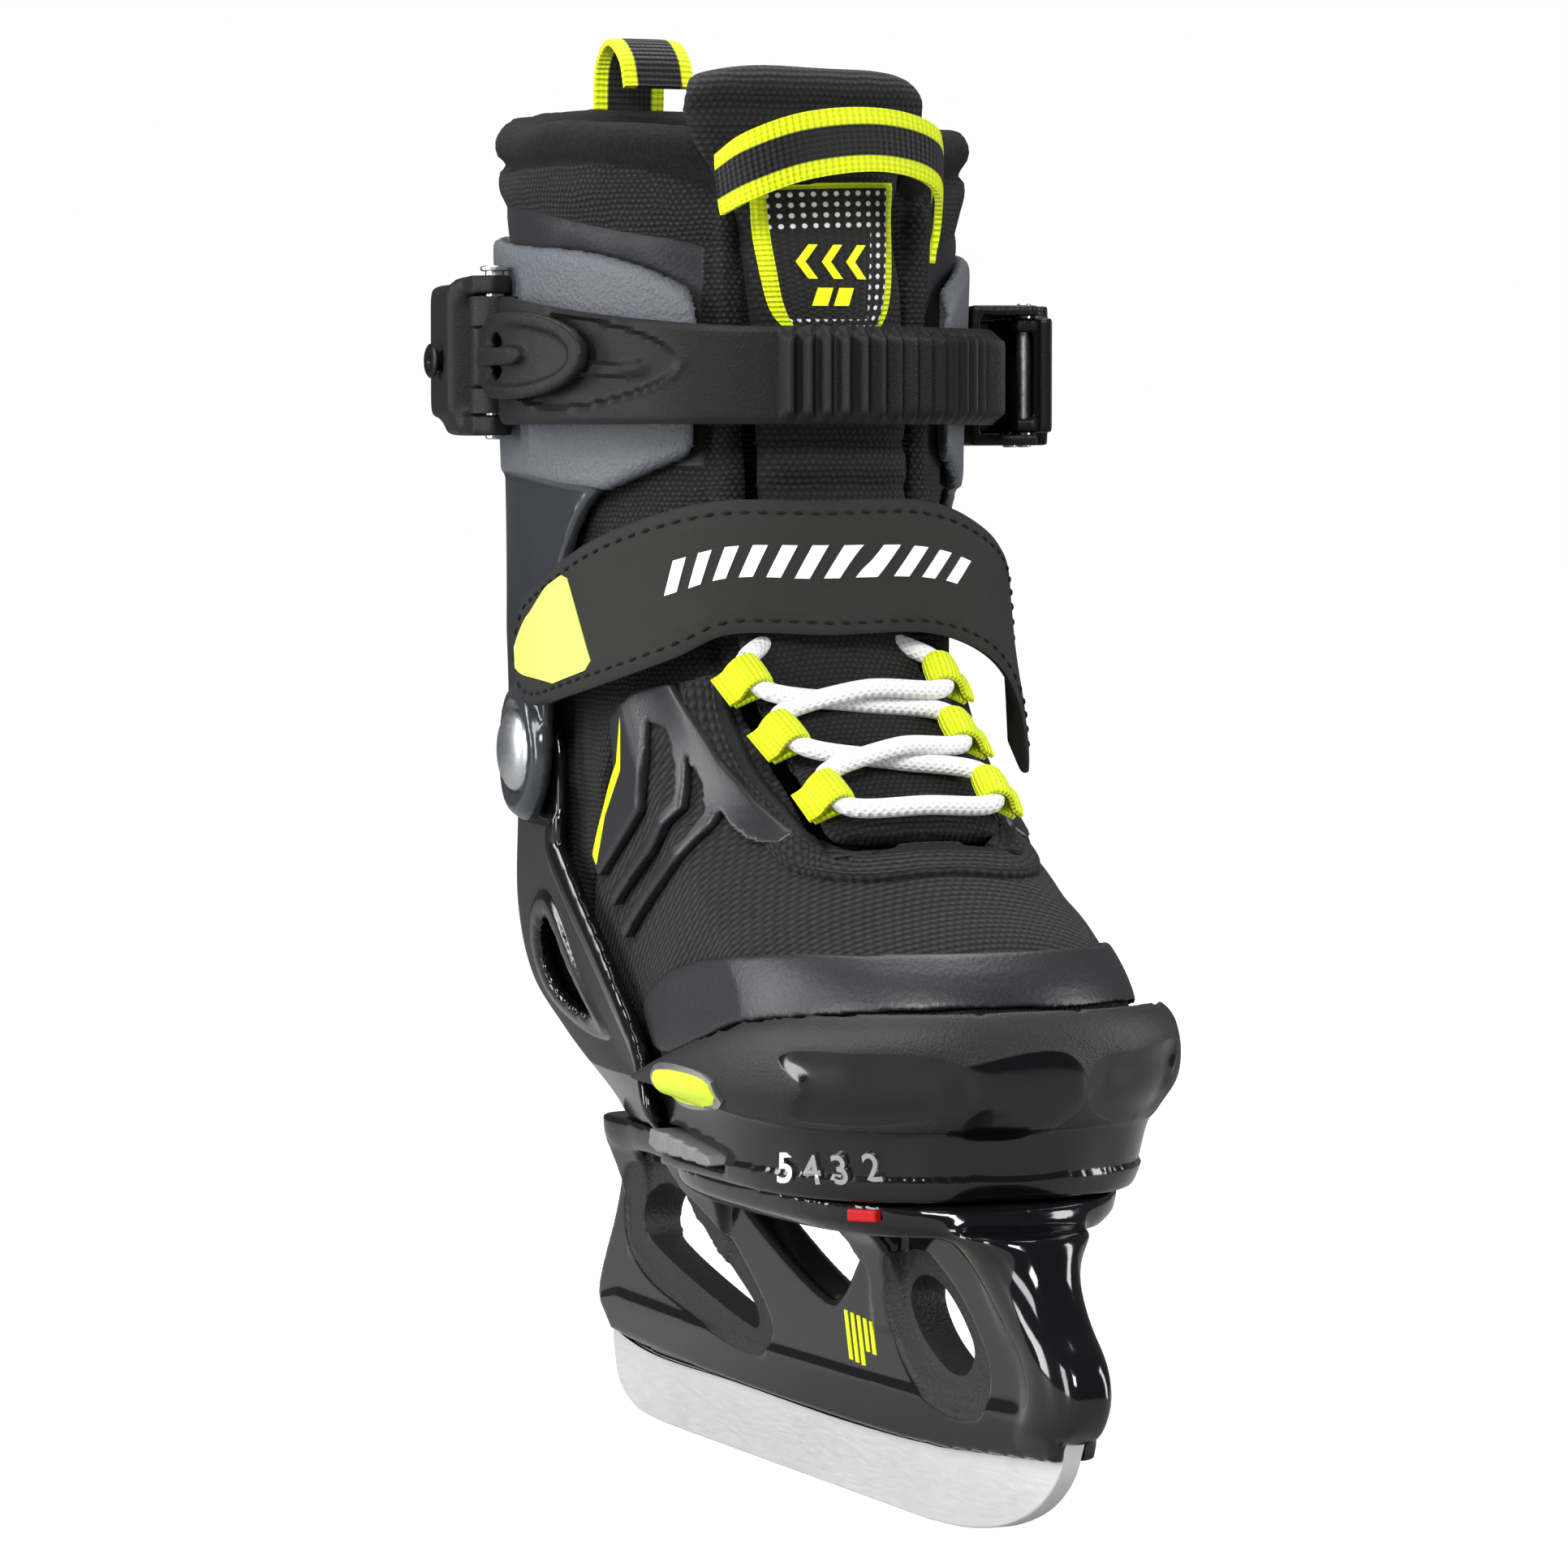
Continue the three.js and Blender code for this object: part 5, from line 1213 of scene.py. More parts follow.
def makeRearBoot():
    def room(z):
        return 5.4 - max(0, z - 138) * 0.5

    levels = np.linspace(60, 300, 70)
    obj = bootLoft("rearBoot", lambda z: 0.25, 77, 289)
    keepInside(obj, loft("hull", [heelRing(z, room(z), -150) for z in levels]))
    inner = bootLoft(
        "inner", lambda z: mix(rearBoot["lowWall"], rearBoot["highWall"], min(1, max(0, (z - 125) / 35))),
        70, 296
    )
    keepInside(inner, loft("hull", [heelRing(z, room(z) + rearBoot["lowWall"], -150) for z in levels]))
    cut(obj, inner)
    collar = [tuple(p) for p in curveThrough(boot["collar"], 60)]
    keepInside(
        obj,
        slab(
            "keep", [(62.8, 70), (26.3, 151.6), (-60, 185.2), (-60, 243), *collar, (150, 284), (150, 70)],
            "x", -60, 60
        )
    )
    half = boot["throat"]
    cut(obj, slab("gap", [(-half, -60), (half, -60), (half, 30), (-half, 30)], "z", 130, 300))
    cut(obj, cuffWall("room", -0.35, cuff["wall"] + 0.5))
    ankleDents(obj)
    soften(obj, rearBoot["voxel"], rearBoot["rounds"])
    places, normals = spots(obj)
    flat = places[:, 1:]
    drop = distanceTo(flat, curveThrough(boot["collar"], 60))
    high = places[:, 2] > 232
    outward = normals[:, 0] * places[:, 0] + normals[:, 1] * (places[:, 1] - 47) > 0
    roll = rearBoot["roll"] * np.exp(
        -(((drop - 3.6) / 3.6) ** 2)
    ) - 1.9 * np.exp(-(((drop - 8.2) / 0.9) ** 2))
    roll += 0.9 * np.exp(-(((drop - 12.5) / 3.6) ** 2)) * outward
    vinylTop = np.interp(places[:, 1], *zip(*boot["vinylTop"]))
    vinyl = np.where(outward, np.minimum(vinylTop - places[:, 2], places[:, 2] - 206), -3)
    vinyl = np.where(places[:, 1] < 12, np.minimum(vinyl, np.abs(places[:, 0]) - 25), vinyl)
    edge = 0.5 * np.exp(-(((vinylTop - places[:, 2]) / 1.4) ** 2)) * outward
    hem = np.abs(places[:, 0])
    front = (places[:, 1] < 4) & outward & (places[:, 2] > 160)
    hemLine = np.where(
        front, -1.5 * np.exp(-(((hem - 25.2) / 0.9) ** 2)) + 1.5 * np.exp(-(((hem - 21.4) / 2.4) ** 2)), 0
    )
    shift = np.where(high, roll, 0) - edge + hemLine + puff(places, 0.35) * outward
    moveSpots(obj, places + normals * shift[:, None])
    paint(obj, "fleece", np.where(high, 8.0 - drop, -3))
    paint(obj, "vinyl", vinyl)
    wrapUv(obj, aroundLeg)
    dress(smoothShade(obj), bootMaterial, "mesh_black", "shaft_upper", "heel_upper")
    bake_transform(obj)


makeRearBoot()


# lace, its loops and the opening they close
lace = {
    "radius": 2.05, "flat": 0.9, "lean": 5.0, "over": 2.4, "under": -1.3,
    "rows": [(23.4, -17, 164.7), (21.2, -25.5, 153.5), (19.8, -38.5, 142)],
}

def leanAt(places):  # the throat leans to the inner side towards its top
    share = smoothStep(places[:, 2], 136, 168) * smoothStep(np.abs(places[:, 0]), 37, 29)
    return -lace["lean"] * share


def leanThroat(obj):
    places, _ = spots(obj)
    places[:, 0] += leanAt(places)
    moveSpots(obj, places)
    return obj


def makeFrontBoot():
    obj = footForm("frontBoot", 0, 77, 186)
    cut(obj, footForm("inner", 3.4, 70, 190))
    keep = [(toeJoin(77), 70), (toeJoin(152), 152), (-60, 184), (-140, 184), (-140, 70)]
    keepInside(obj, slab("keep", keep, "x", -60, 60))
    half = boot["vampThroat"]
    cut(obj, slab("throat", [(-47, 120), (-47, 200), (80, 200), (80, 140)], "x", -half, half))
    soften(obj, 1.3, 7)
    places, normals = spots(obj)
    moveSpots(obj, places + normals * (puff(places, 0.25) * (places[:, 2] > 104))[:, None])
    leanThroat(obj)
    wrapUv(obj, overFoot)
    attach(obj, "toe_box")
    dress(smoothShade(obj), vampMaterial, "mesh_black", "front_upper")
    return obj


frontBoot = makeFrontBoot()
print("soft boot made")

trim = {
    "cage": [
        (24, 155), (14, 161), (0, 162.5), (-14.3, 148), (-26, 140), (-37, 134.6), (
            -36.5, 132.4
        ), (-30, 132.6), (-23, 135.6),
        (
            -18.5, 138.5
        ), (-18.6, 135), (-14, 128.5), (1, 119), (14, 110.5), (17, 113), (-0.2, 123.3), (-13.2, 132.9),
        (
            -15.4, 137.8
        ), (-11.6, 143.2), (-4.9, 149.4), (-8.4, 137.9), (1.1, 128.9), (16.3, 119.8), (21, 116.6),
        (23, 119.2), (3.8, 131.2), (-5, 139.8), (
            -2.5, 146.9
        ), (1.8, 153.5), (8.9, 154.9), (7.9, 146.5), (8.5, 136.6),
        (24, 125.9), (30, 122), (34, 126.5), (27, 137), (22, 145),
    ],
    "stripe": [
        (17.5, 157), (19.6, 146), (28, 136.5), (32.6, 126.5), (30.2, 124.4), (25.6, 134.8), (17.4, 144.6)
    ],
    "toeCap": [(5, 99.5), (-4, 103.3), (-25, 108.9), (-52, 112.3), (-73, 113.4), (-120, 113.8)],
}


def buildCageMaterial():
    made = cageMaterial.copy()
    made.name = "stripedRib"
    tree = made.node_tree
    shader = tree.nodes["Principled BSDF"]
    before = shader.inputs["Base Color"].links[0].from_socket
    stripe = remap(tree, painted(tree, "stripe"), -0.12, 0.12)
    feed(tree, shader.inputs["Base Color"], mixColour(tree, stripe, before, looks["neon"]))
    return made


stripedCage = buildCageMaterial()


def makeCage(side):
    name = "inner" if side < 0 else "outer"
    obj = footForm("cage_" + name, -2.7, 100, 170)
    cut(obj, footForm("core", -0.1, 95, 175))
    outline = trim["cage"]
    low, high = sorted((side * 20.4, side * 60))
    keepInside(obj, slab("ribs", outline, "x", low, high))
    soften(obj, 0.55, 5)
    leanThroat(obj)
    places, _ = spots(obj)
    paint(obj, "stripe", depthInside(places[:, 1:], np.array(trim["stripe"], float)))
    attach(obj, "toe_box")
    dress(smoothShade(obj), stripedCage, "cage", "side_cage_" + name)


def makeToeCap():
    obj = footForm("toeCapPanel", -1.6, 88, 118)
    cut(obj, footForm("core", -0.1, 80, 125))
    seam = [tuple(p) for p in curveThrough(trim["toeCap"], 60)]
    keepInside(obj, slab("cap", [*seam, (-120, 90), (5, 90)], "x", -60, 60))
    cut(obj, toeLoft("room", 0.35))
    rise = [(y - 2, z) for y, z in heelShell["rise"]]
    cut(obj, slab("behind", [*rise[2:5], (60, 119), (60, 78)], "x", -60, 60))
    bits = bmesh.new()
    bits.from_mesh(obj.data)
    islands, unseen = [], set(bits.verts)
    while unseen:
        stack, island = [unseen.pop()], []
        while stack:
            v = stack.pop()
            island.append(v)
            for e in v.link_edges:
                w = e.other_vert(v)
                if w in unseen:
                    unseen.remove(w)
                    stack.append(w)
        islands.append(island)
    islands.sort(key=len)
    bmesh.ops.delete(bits, geom=[v for island in islands[:-1] for v in island], context="VERTS")
    bits.to_mesh(obj.data)
    bits.free()
    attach(obj, "toe_box")
    soften(obj, 0.6, 12)
    dress(smoothShade(obj), vinylMaterial, "vinyl", "toe_cap_panel")


def makeEyestay():  # raised band round the throat, pressed on the boot
    skin = surfaceOf(frontBoot)
    bend = [(20.9, -11, 176), (20.9, -24, 160), (20.9, -36, 147), (19.8, -45.5, 137.8), (14.5, -50, 133.6)]
    outer = [(27.5, -7, 176), (27.5, -21, 158.5), (27.5, -34.5, 145), (26.5, -48.5, 134.5), (16.5, -57, 128)]

    def fullRow(half, low):
        return [(-x, y, z) for x, y, z in half] + [low] + [(x, y, z) for x, y, z in reversed(half)]

    inwards, front, back = np.array((0, 0.62, -0.78)), [], []
    upper = curveThrough(fullRow(bend, (0, -51.4, 132.6)), 150)
    lower = curveThrough(fullRow(outer, (0, -58.6, 126.6)), 150)
    for r in range(13):
        for a, b in zip(upper, lower):
            place = mix(a, b, r / 12)
            place[0] += leanAt(place[None])[0]
            spot, normal = press(skin, place - inwards * 14, inwards, 0)
            edge = min(r, 12 - r)
            front.append(spot + normal * (1.5 if edge > 0 else 0.5))
            back.append(spot - normal * 0.8)
    obj = shellFromGrid(
        "eyestayBand", np.array(front).reshape(13, 150, 3), np.array(back).reshape(13, 150, 3), "toe_box"
    )
    dress(smoothShade(obj, 60), eyestayMaterial, "mesh_black", "eyestay")


# thin shaped sheets: a front grid and a back grid closed into one skin
def shellFromGrid(name, front, back, body=None):
    rows, columns = front.shape[:2]
    verts = [tuple(p) for p in front.reshape(-1, 3)] + [tuple(p) for p in back.reshape(-1, 3)]
    half, faces = rows * columns, []
    for r in range(rows - 1):
        for c in range(columns - 1):
            a, b, d, e = r * columns + c, r * columns + c + 1, (
                r + 1
            ) * columns + c + 1, (r + 1) * columns + c
            faces += [(a, b, d, e), (half + e, half + d, half + b, half + a)]
    rim = [(0, c) for c in range(columns)] + [(r, columns - 1) for r in range(1, rows)]
    rim += [(rows - 1, c) for c in range(columns - 2, -1, -1)] + [(r, 0) for r in range(rows - 2, 0, -1)]
    for (r0, c0), (r1, c1) in zip(rim, rim[1:] + rim[:1]):
        a, b = r0 * columns + c0, r1 * columns + c1
        faces.append((b, a, half + a, half + b))
    obj = makePiece(name, verts, faces, body)
    across = np.linalg.norm(np.diff(front, axis=1), axis=2).mean(0)
    down = np.linalg.norm(np.diff(front, axis=0), axis=2).mean(1)
    u = np.concatenate([[0], np.cumsum(across)])
    v = np.concatenate([[0], np.cumsum(down)])
    v -= v[-1] / 2
    pairs = np.array([(u[c], v[r]) for r in range(rows) for c in range(columns)])
    pairs = np.concatenate([pairs, pairs])
    corners = np.empty(len(obj.data.loops), np.int32)
    obj.data.loops.foreach_get("vertex_index", corners)
    layer = obj.data.uv_layers.new(name="cloth")
    layer.data.foreach_set("uv", pairs[corners].astype(np.float32).ravel())
    return obj


makeToeCap()
makeEyestay()
makeCage(-1)
makeCage(1)
print("trim made")


def webbing(name, upper, lower, centre, thick, body, cells=(70, 8)):  # strip between two edge lines
    top, low = curveThrough(upper, cells[0] + 1), curveThrough(lower, cells[0] + 1)
    front = np.array([[mix(t, b, r / cells[1]) for t, b in zip(top, low)] for r in range(cells[1] + 1)])
    across = front[-1] - front[0]
    alongLine = np.gradient(front.mean(0), axis=0)
    normal = np.cross(across, alongLine)
    normal /= np.linalg.norm(normal, axis=1)[:, None]
    outward = ((front.mean(0) - np.array(centre)) * normal).sum(1)
    normal *= np.sign(outward.sum())
    crown = 0.35 * (1 - (np.linspace(-1, 1, cells[1] + 1) ** 4))[:, None, None]
    return shellFromGrid(
        name, front + normal[None] * (thick * 0.5 + crown), front - normal[None] * thick * 0.5, body
    )


def sweepTube(name, line, radius, body, sides=14, flat=1.0, closed=False):
    line = np.array(line, float)
    if closed and np.linalg.norm(line[-1] - line[0]) < 0.05:
        line = line[:-1]
    ahead = np.roll(line, -1, axis=0) - np.roll(line, 1, axis=0) if closed else np.gradient(line, axis=0)
    ahead /= np.linalg.norm(ahead, axis=1)[:, None]
    up = np.array([0.0, -0.6, 0.8])
    rings = []
    for p, d in zip(line, ahead):
        side = np.cross(d, up)
        side /= np.linalg.norm(side)
        top = np.cross(side, d)
        ring = []
        for i in range(sides):
            angle = 2 * math.pi * i / sides
            ring.append(tuple(p + side * radius * math.cos(angle) + top * radius * flat * math.sin(angle)))
        rings.append(ring)
    obj = loft(name, rings, body, closed)
    travel = np.concatenate([[0], np.cumsum(np.linalg.norm(np.diff(line, axis=0), axis=1))])
    layer = obj.data.uv_layers.new(name="cloth")
    for polygon in obj.data.polygons:
        ids = [obj.data.loops[k].vertex_index for k in polygon.loop_indices]
        turns = [i % sides for i in ids]
        wraps = max(turns) - min(turns) > sides / 2
        for k, i in zip(polygon.loop_indices, ids):
            turn = i % sides
            turn += sides if wraps and turn < sides / 2 else 0
            layer.data[k].uv = (travel[i // sides], turn / sides * 2 * math.pi * radius)
    return obj


# tongue and its badge
tongue = {
    "face": [(3, 288), (-3.5, 283), (-6, 262), (-7, 235), (-8.5, 215), (-10, 200), (-11, 191)],
    "vamp": [(-13, 178), (-17, 169), (-27, 155), (-38, 143), (-47, 135)],
    "thick": 10.0, "rolls": [278.0, 265.0, 228.0, 211.0, 202.0], "rollDepth": 2.4,
}


def pillLoft(name, face, widthAt, middleAt, thickAt, creases, body, rings=70, count=64):
    line = curveThrough(face, rings)
    step = np.gradient(line, axis=0)
    step /= np.linalg.norm(step, axis=1)[:, None]
    made = []
    for k, ((y, z), (dy, dz)) in enumerate(zip(line, step)):
        ny, nz = -dz, dy  # towards the foot
        if ny < 0:
            ny, nz = -ny, -nz
        end = min(1.0, (min(k, rings - 1 - k) + 0.35) / 4)
        swell = math.sqrt(end * (2 - end))
        dent = sum(tongue["rollDepth"] * math.exp(-(((z - c) / 1.5) ** 2)) for c in creases)
        thick, width = thickAt(z) * mix(0.35, 1, swell), widthAt(z) * mix(0.86, 1, swell)
        ring = []
        for i in range(count):
            angle = 2 * math.pi * i / count
            x = width * signedPower(math.cos(angle), 0.62)
            lift = thick * 0.5 * signedPower(math.sin(angle), 0.8)
            depth = thickAt(z) * 0.5 - lift + (dent if lift > 0 else 0) * (1 - 0.3 * (x / width) ** 2)
            sag = 2.6 * (x / width) ** 2
            ring.append((middleAt(z) + x, y + ny * depth + sag, z + nz * depth))
        made.append(ring)
    return loft(name, made, body)


def makeTongue():
    width = [(200, 16.2), (240, 16.6), (257, 17), (264, 19.5), (271, 24.4), (279, 26), (290, 24)]
    middle = [(200, 0), (235, 0), (262, -3.4), (290, -4)]
    obj = pillLoft(
        "tonguePad", tongue["face"], lambda z: along(width, z), lambda z: along(middle, z),
        lambda z: tongue["thick"], tongue["rolls"], "cuff_and_shaft"
    )
    places, normals = spots(obj)
    moveSpots(obj, places + normals * puff(places, 0.3)[:, None])
    wrapUv(obj, lambda places, normals: (places[:, 0], places[:, 2]))
    dress(smoothShade(obj), tongueMaterial, "mesh_black", "tongue")
    low = pillLoft(
        "tongueLower", tongue["vamp"], lambda z: 18.9, lambda z: 0, lambda z: 5.5, [160, 149], "toe_box", 50
    )
    leanThroat(low)
    wrapUv(low, lambda places, normals: (places[:, 0], (places[:, 2] + places[:, 1]) * 0.74))
    dress(smoothShade(low), tongueMaterial, "mesh_black", "tongue_vamp")
    return obj, low


tonguePiece, tongueLowPiece = makeTongue()
tongueSkin = surfaceOf(tonguePiece)


def layPatch(name, upper, lower, surface, direction, lift, thick, body, cells=(30, 10), smooth=True):
    # sheet between two edge lines, pressed on a surface
    line = curveThrough if smooth else straightThrough
    top, low = line(upper, cells[0] + 1), line(lower, cells[0] + 1)
    front, back = [], []
    for r in range(cells[1] + 1):
        for t, b in zip(top, low):
            place, normal = press(surface, mix(t, b, r / cells[1]), direction, lift)
            front.append(place)
            back.append(place - normal * thick)
    shape = (cells[1] + 1, cells[0] + 1, 3)
    return shellFromGrid(name, np.array(front).reshape(shape), np.array(back).reshape(shape), body)


def straightThrough(points, count):
    given = np.array(points, float)
    length = np.concatenate([[0], np.cumsum(np.linalg.norm(np.diff(given, axis=0), axis=1))])
    marks = np.linspace(0, length[-1], count)
    return np.stack([np.interp(marks, length, given[:, k]) for k in range(given.shape[1])], axis=1)


badge = {
    "left": [(-18.6, 262), (-16.8, 249), (-13.4, 236), (-9, 231.5)],
    "right": [(12.8, 263), (12.4, 250), (10.6, 237), (6.5, 231.5)],
    "inset": 3.0, "dotPitch": 2.1,
}


def buildBadgeMaterial():
    made, tree, shader = startMaterial("badgeKnit", Roughness=0.7, Sheen_Weight=0.05, Specular_IOR_Level=0.35)
    spot = clothPlace(tree)
    knit = useGroup(tree, knitGroup, Place=spot, Across=0.9, Along=0.6, Unevenness=0.4)
    # near-black in the gaps between the knit loops is painted shade
    shade = mixColour(tree, knit["Gaps"], rgb(0.006, 0.006, 0.0065), rgb(0.001, 0.001, 0.001))
    parts = addNode(tree, "ShaderNodeSeparateXYZ", {0: spot}).outputs
    pitch = badge["dotPitch"]
    cell = [
        calc(tree, "SUBTRACT", calc(tree, "FRACT", calc(tree, "DIVIDE", p, pitch)), 0.5)
        for p in (parts[0], parts[1])
    ]
    away = calc(
        tree, "SQRT",
        calc(tree, "ADD", calc(tree, "MULTIPLY", cell[0], cell[0]), calc(tree, "MULTIPLY", cell[1], cell[1]))
    )
    dot = remap(tree, away, 0.27, 0.2)
    edge = remap(tree, painted(tree, "dots"), -0.1, 0.1)
    feed(
        tree, shader.inputs["Base Color"],
        mixColour(tree, calc(tree, "MULTIPLY", dot, edge), shade, rgb(0.85, 0.85, 0.85))
    )
    bumpFrom(tree, shader, knit["Height"], 1.0, 0.4)
    return made


def makeBadge():
    def edgeLine(rows, side, inset):
        return [(x - side * inset, -40, z - 0.9 * (inset > 0)) for x, z in rows]

    trimPatch = layPatch(
        "badgeTrim", edgeLine(
            badge["left"], -1, 0
        ), edgeLine(badge["right"], 1, 0), tongueSkin, (0, 1, 0), 0.5, 1.0, "cuff_and_shaft", (40, 24),
    )
    dress(smoothShade(trimPatch, 40), neonWebbing, "yellow_web")
    panel = layPatch(
        "badgePanel", edgeLine(badge["left"], -1, badge["inset"]), edgeLine(
            badge["right"], 1, badge["inset"] * 0.75
        ),
        tongueSkin, (0, 1, 0), 1.0, 0.9, "cuff_and_shaft", (40, 24),
    )
    places, _ = spots(panel)
    x, z = places[:, 0], places[:, 2]
    dots = np.maximum.reduce([z - 253.4, 235.5 - z, x - (6.6 - (252 - z) * 0.07)])
    paint(panel, "dots", dots)
    dress(smoothShade(panel, 40), buildBadgeMaterial(), "mesh_black")
    skin = surfaceOf(panel)
    for k in range(3):
        x0, z0 = -10.2 + k * 5.4, 250.6
        for flip in (1, -1):
            upper = [(x0, -40, z0 - 3.6), (x0 + 2.6, -40, z0 - 3.6 + flip * 3.4)]
            lower = [(x0 + 1.9, -40, z0 - 3.6), (x0 + 4.5, -40, z0 - 3.6 + flip * 3.4)]
            mark = layPatch(
                f"badgeMark_{k}_{flip + 1}", upper, lower, skin, (0, 1, 0), 0.3, 0.5, "cuff_and_shaft",
                (6, 3), False
            )
            dress(smoothShade(mark, 40), printMaterial, "yellow_web")
    for k in range(2):
        x0, z0 = -5.6 + k * 4.6, 241.8
        upper, lower = [(x0, -40, z0), (x0 + 3.2, -40, z0)], [
            (x0 - 1.2, -40, z0 - 3.6), (x0 + 2.0, -40, z0 - 3.6)
        ]
        mark = layPatch(
            f"badgeBar_{k}", upper, lower, skin, (0, 1, 0), 0.3, 0.5, "cuff_and_shaft", (4, 4), False
        )
        dress(smoothShade(mark, 40), printMaterial, "yellow_web")


makeBadge()


def makePullLoops():
    upper = [
        (-27, -6, 268), (-24, -13, 272), (-14, -19.5, 276), (2, -22, 277), (15, -18, 274), (20.5, -9, 268),
        (20.5, -7, 262)
    ]
    lower = [
        (-26, -6.6, 256), (-22, -13, 259), (-12, -19, 263), (3, -21, 264.5), (15.5, -17, 261.5),
        (20, -9.5, 254), (19.5, -8.2, 247)
    ]
    obj = webbing("tonguePullLoop", upper, lower, (-2, 30, 266), 1.3, "cuff_and_shaft")
    dress(
        smoothShade(obj, 50),
        webbingMaterial("tongueLoopWebbing", looks["neon"], looks["black"], 3.3, ribs=0.75), "yellow_web",
        "tongue_loop"
    )
    path = [(104, 262), (104.5, 284), (103, 293), (97, 297), (90, 293), (87.5, 287)]
    obj = webbing(
        "heelPullLoop", [(-8, y, z) for y, z in path], [(8, y, z) for y, z in path], (0, 94, 280), 1.3,
        "cuff_and_shaft"
    )
    dress(smoothShade(obj, 50), stripedWebbing, "yellow_web", "heel_loop")


makePullLoops()
print("tongue and pull loops made")

def loopTurn(side):
    return Matrix.Rotation(math.radians(side * 12), 3, "Y") @ Matrix.Rotation(math.radians(42), 3, "X")


def loopSpot(row, side, a, b, c):  # outwards, along the loop's opening, and up from the eyestay
    x, y, z = row
    place = np.array(loopTurn(side) @ Vector((side * (x + a), b, c))) + np.array((0, y - 1.6, z + 2.6))
    place[0] += leanAt(place[None])[0]
    return place


def makeLace():
    top, middle, low = lace["rows"]

    def through(row, side, down):  # passes a loop from end to end
        ends = (4.3, -4.3) if down else (-4.3, 4.3)
        return [
            loopSpot(row, side, -3.4, ends[0], 2.2), loopSpot(row, side, -2.5, 0, 2.3),
            loopSpot(row, side, -3.4, ends[1], 2.2)
        ]

    def crossing(a, b, lift):
        here = (loopSpot(a, -1, -3, -4.3, 2.2) + loopSpot(b, 1, -3, 4.3, 2.2)) / 2
        return [here + np.array((0, -0.67, 0.74)) * (lift + 1.2)]

    route = [
        *through(top, -1, True), *crossing(top, middle, lace["under"]), *through(middle, 1, True),
        *crossing(middle, low, lace["over"]), *through(low, -1, True),
        (loopSpot(low, -1, -9, -7.4, 2.6) + loopSpot(low, 1, -9, -7.4, 2.6)) / 2 + np.array((0, -0.6, 0.6)),
        *through(low, 1, False), *crossing(middle, low, lace["under"]), *through(middle, -1, False),
        *crossing(top, middle, lace["over"]), *through(top, 1, False),
        (loopSpot(top, 1, -9, 15, -0.5) + loopSpot(top, -1, -9, 15, -0.5)) / 2,
    ]
    line = straightThrough(curveThrough([tuple(p) for p in route], 900, closed=True), 460)
    obj = sweepTube("laceRun", line, lace["radius"], "toe_box", 18, lace["flat"], closed=True)
    dress(smoothShade(obj), laceMaterial, "lace_white", "lace")


def makeLaceLoops():
    path = [
        (4.4, -0.4), (2, 0.9), (0.4, 3.2), (-1.4, 4.6), (-3.6, 4.6), (-5.0, 3.2), (-5.1, 1.4), (-3.8, 0.2),
        (-1, -0.2), (3, -1.2)
    ]
    for k, row in enumerate(lace["rows"], 1):
        for side, name in ((-1, "inner"), (1, "outer")):
            one = [tuple(loopSpot(row, side, a, -3.7, c)) for a, c in path]
            two = [tuple(loopSpot(row, side, a, 3.7, c)) for a, c in path]
            obj = webbing(
                f"laceLoop_{name}_{k}", one, two, loopSpot(row, side, -3, 0, 2.2), 0.8, "toe_box", (44, 6)
            )
            dress(smoothShade(obj, 50), neonWebbing, "yellow_web", f"lace_loop_{name}_{k}")


makeLace()
makeLaceLoops()

# instep strap: a wide stitched band from the outer side over to its loose tip
instep = {
    "upper": {
        "inner": [(51.6, 168), (49.5, 175), (44, 180.5), (23, 189), (5, 195.5)],
        "outer": [(-8, 195), (4, 186), (11.5, 172), (14, 150)]
    },
    "lower": {
        "inner": [(51.2, 163.5), (48, 158.6), (43, 157), (25, 159.5), (-4, 168)],
        "outer": [(-10, 165.5), (-3, 155), (3, 143)]
    },
    "frontTop": 199.2, "frontLow": 172.6, "thick": 2.3, "stitchIn": 2.6, "stitch": 2.5, "stitchGap": 1.1,
}


def instepSpot(angle, z, out):
    front = along([(130, -48), (142, -40), (155, -29), (170, -20), (190, -16), (215, -12)], z) - out
    sine, cosine = math.sin(angle), math.cos(angle)
    reach = 42 - front if sine < 0 else 60 + out
    half = (49 if cosine > 0 else 46) + out
    return np.array((half * signedPower(cosine, 0.86), 42 + reach * signedPower(sine, 0.86), z))


def instepAngle(y, z, outer):
    front = along([(130, -48), (142, -40), (155, -29), (170, -20), (190, -16), (215, -12)], z)
    share = (42 - y) / (42 - front) if y < 42 else (y - 42) / 60
    lean = math.asin(min(1, abs(share) ** (1 / 0.86)))
    lean = lean if y < 42 else -lean
    return 2 * math.pi - lean if outer else math.pi + lean


def instepEdges(count):
    lines = []
    for key, level in (("upper", instep["frontTop"]), ("lower", instep["frontLow"])):
        rows = [(instepAngle(y, z, False), z) for y, z in instep[key]["inner"]]
        rows += [(math.radians(a), level) for a in (238, 262, 284)]
        rows += [(instepAngle(y, z, True), z) for y, z in instep[key]["outer"]]
        line = curveThrough([(a * 46, z) for a, z in rows], count)
        lines.append([(a / 46, z) for a, z in line])
    return lines


instepUpper, instepLower = instepEdges(141)


# s runs from the loose tip to the fixed end, v from the upper to the lower edge
def strapSpot(s, v, lift=0.0):
    k = min(max(s, 0.0), 1.0) * 140
    i, t = min(int(k), 139), k - min(int(k), 139)
    angle = mix(
        mix(instepUpper[i][0], instepUpper[i + 1][0], t), mix(instepLower[i][0], instepLower[i + 1][0], t),
        v
    )
    z = mix(
        mix(instepUpper[i][1], instepUpper[i + 1][1], t), mix(instepLower[i][1], instepLower[i + 1][1], t),
        v
    )
    return instepSpot(angle, z, lift)


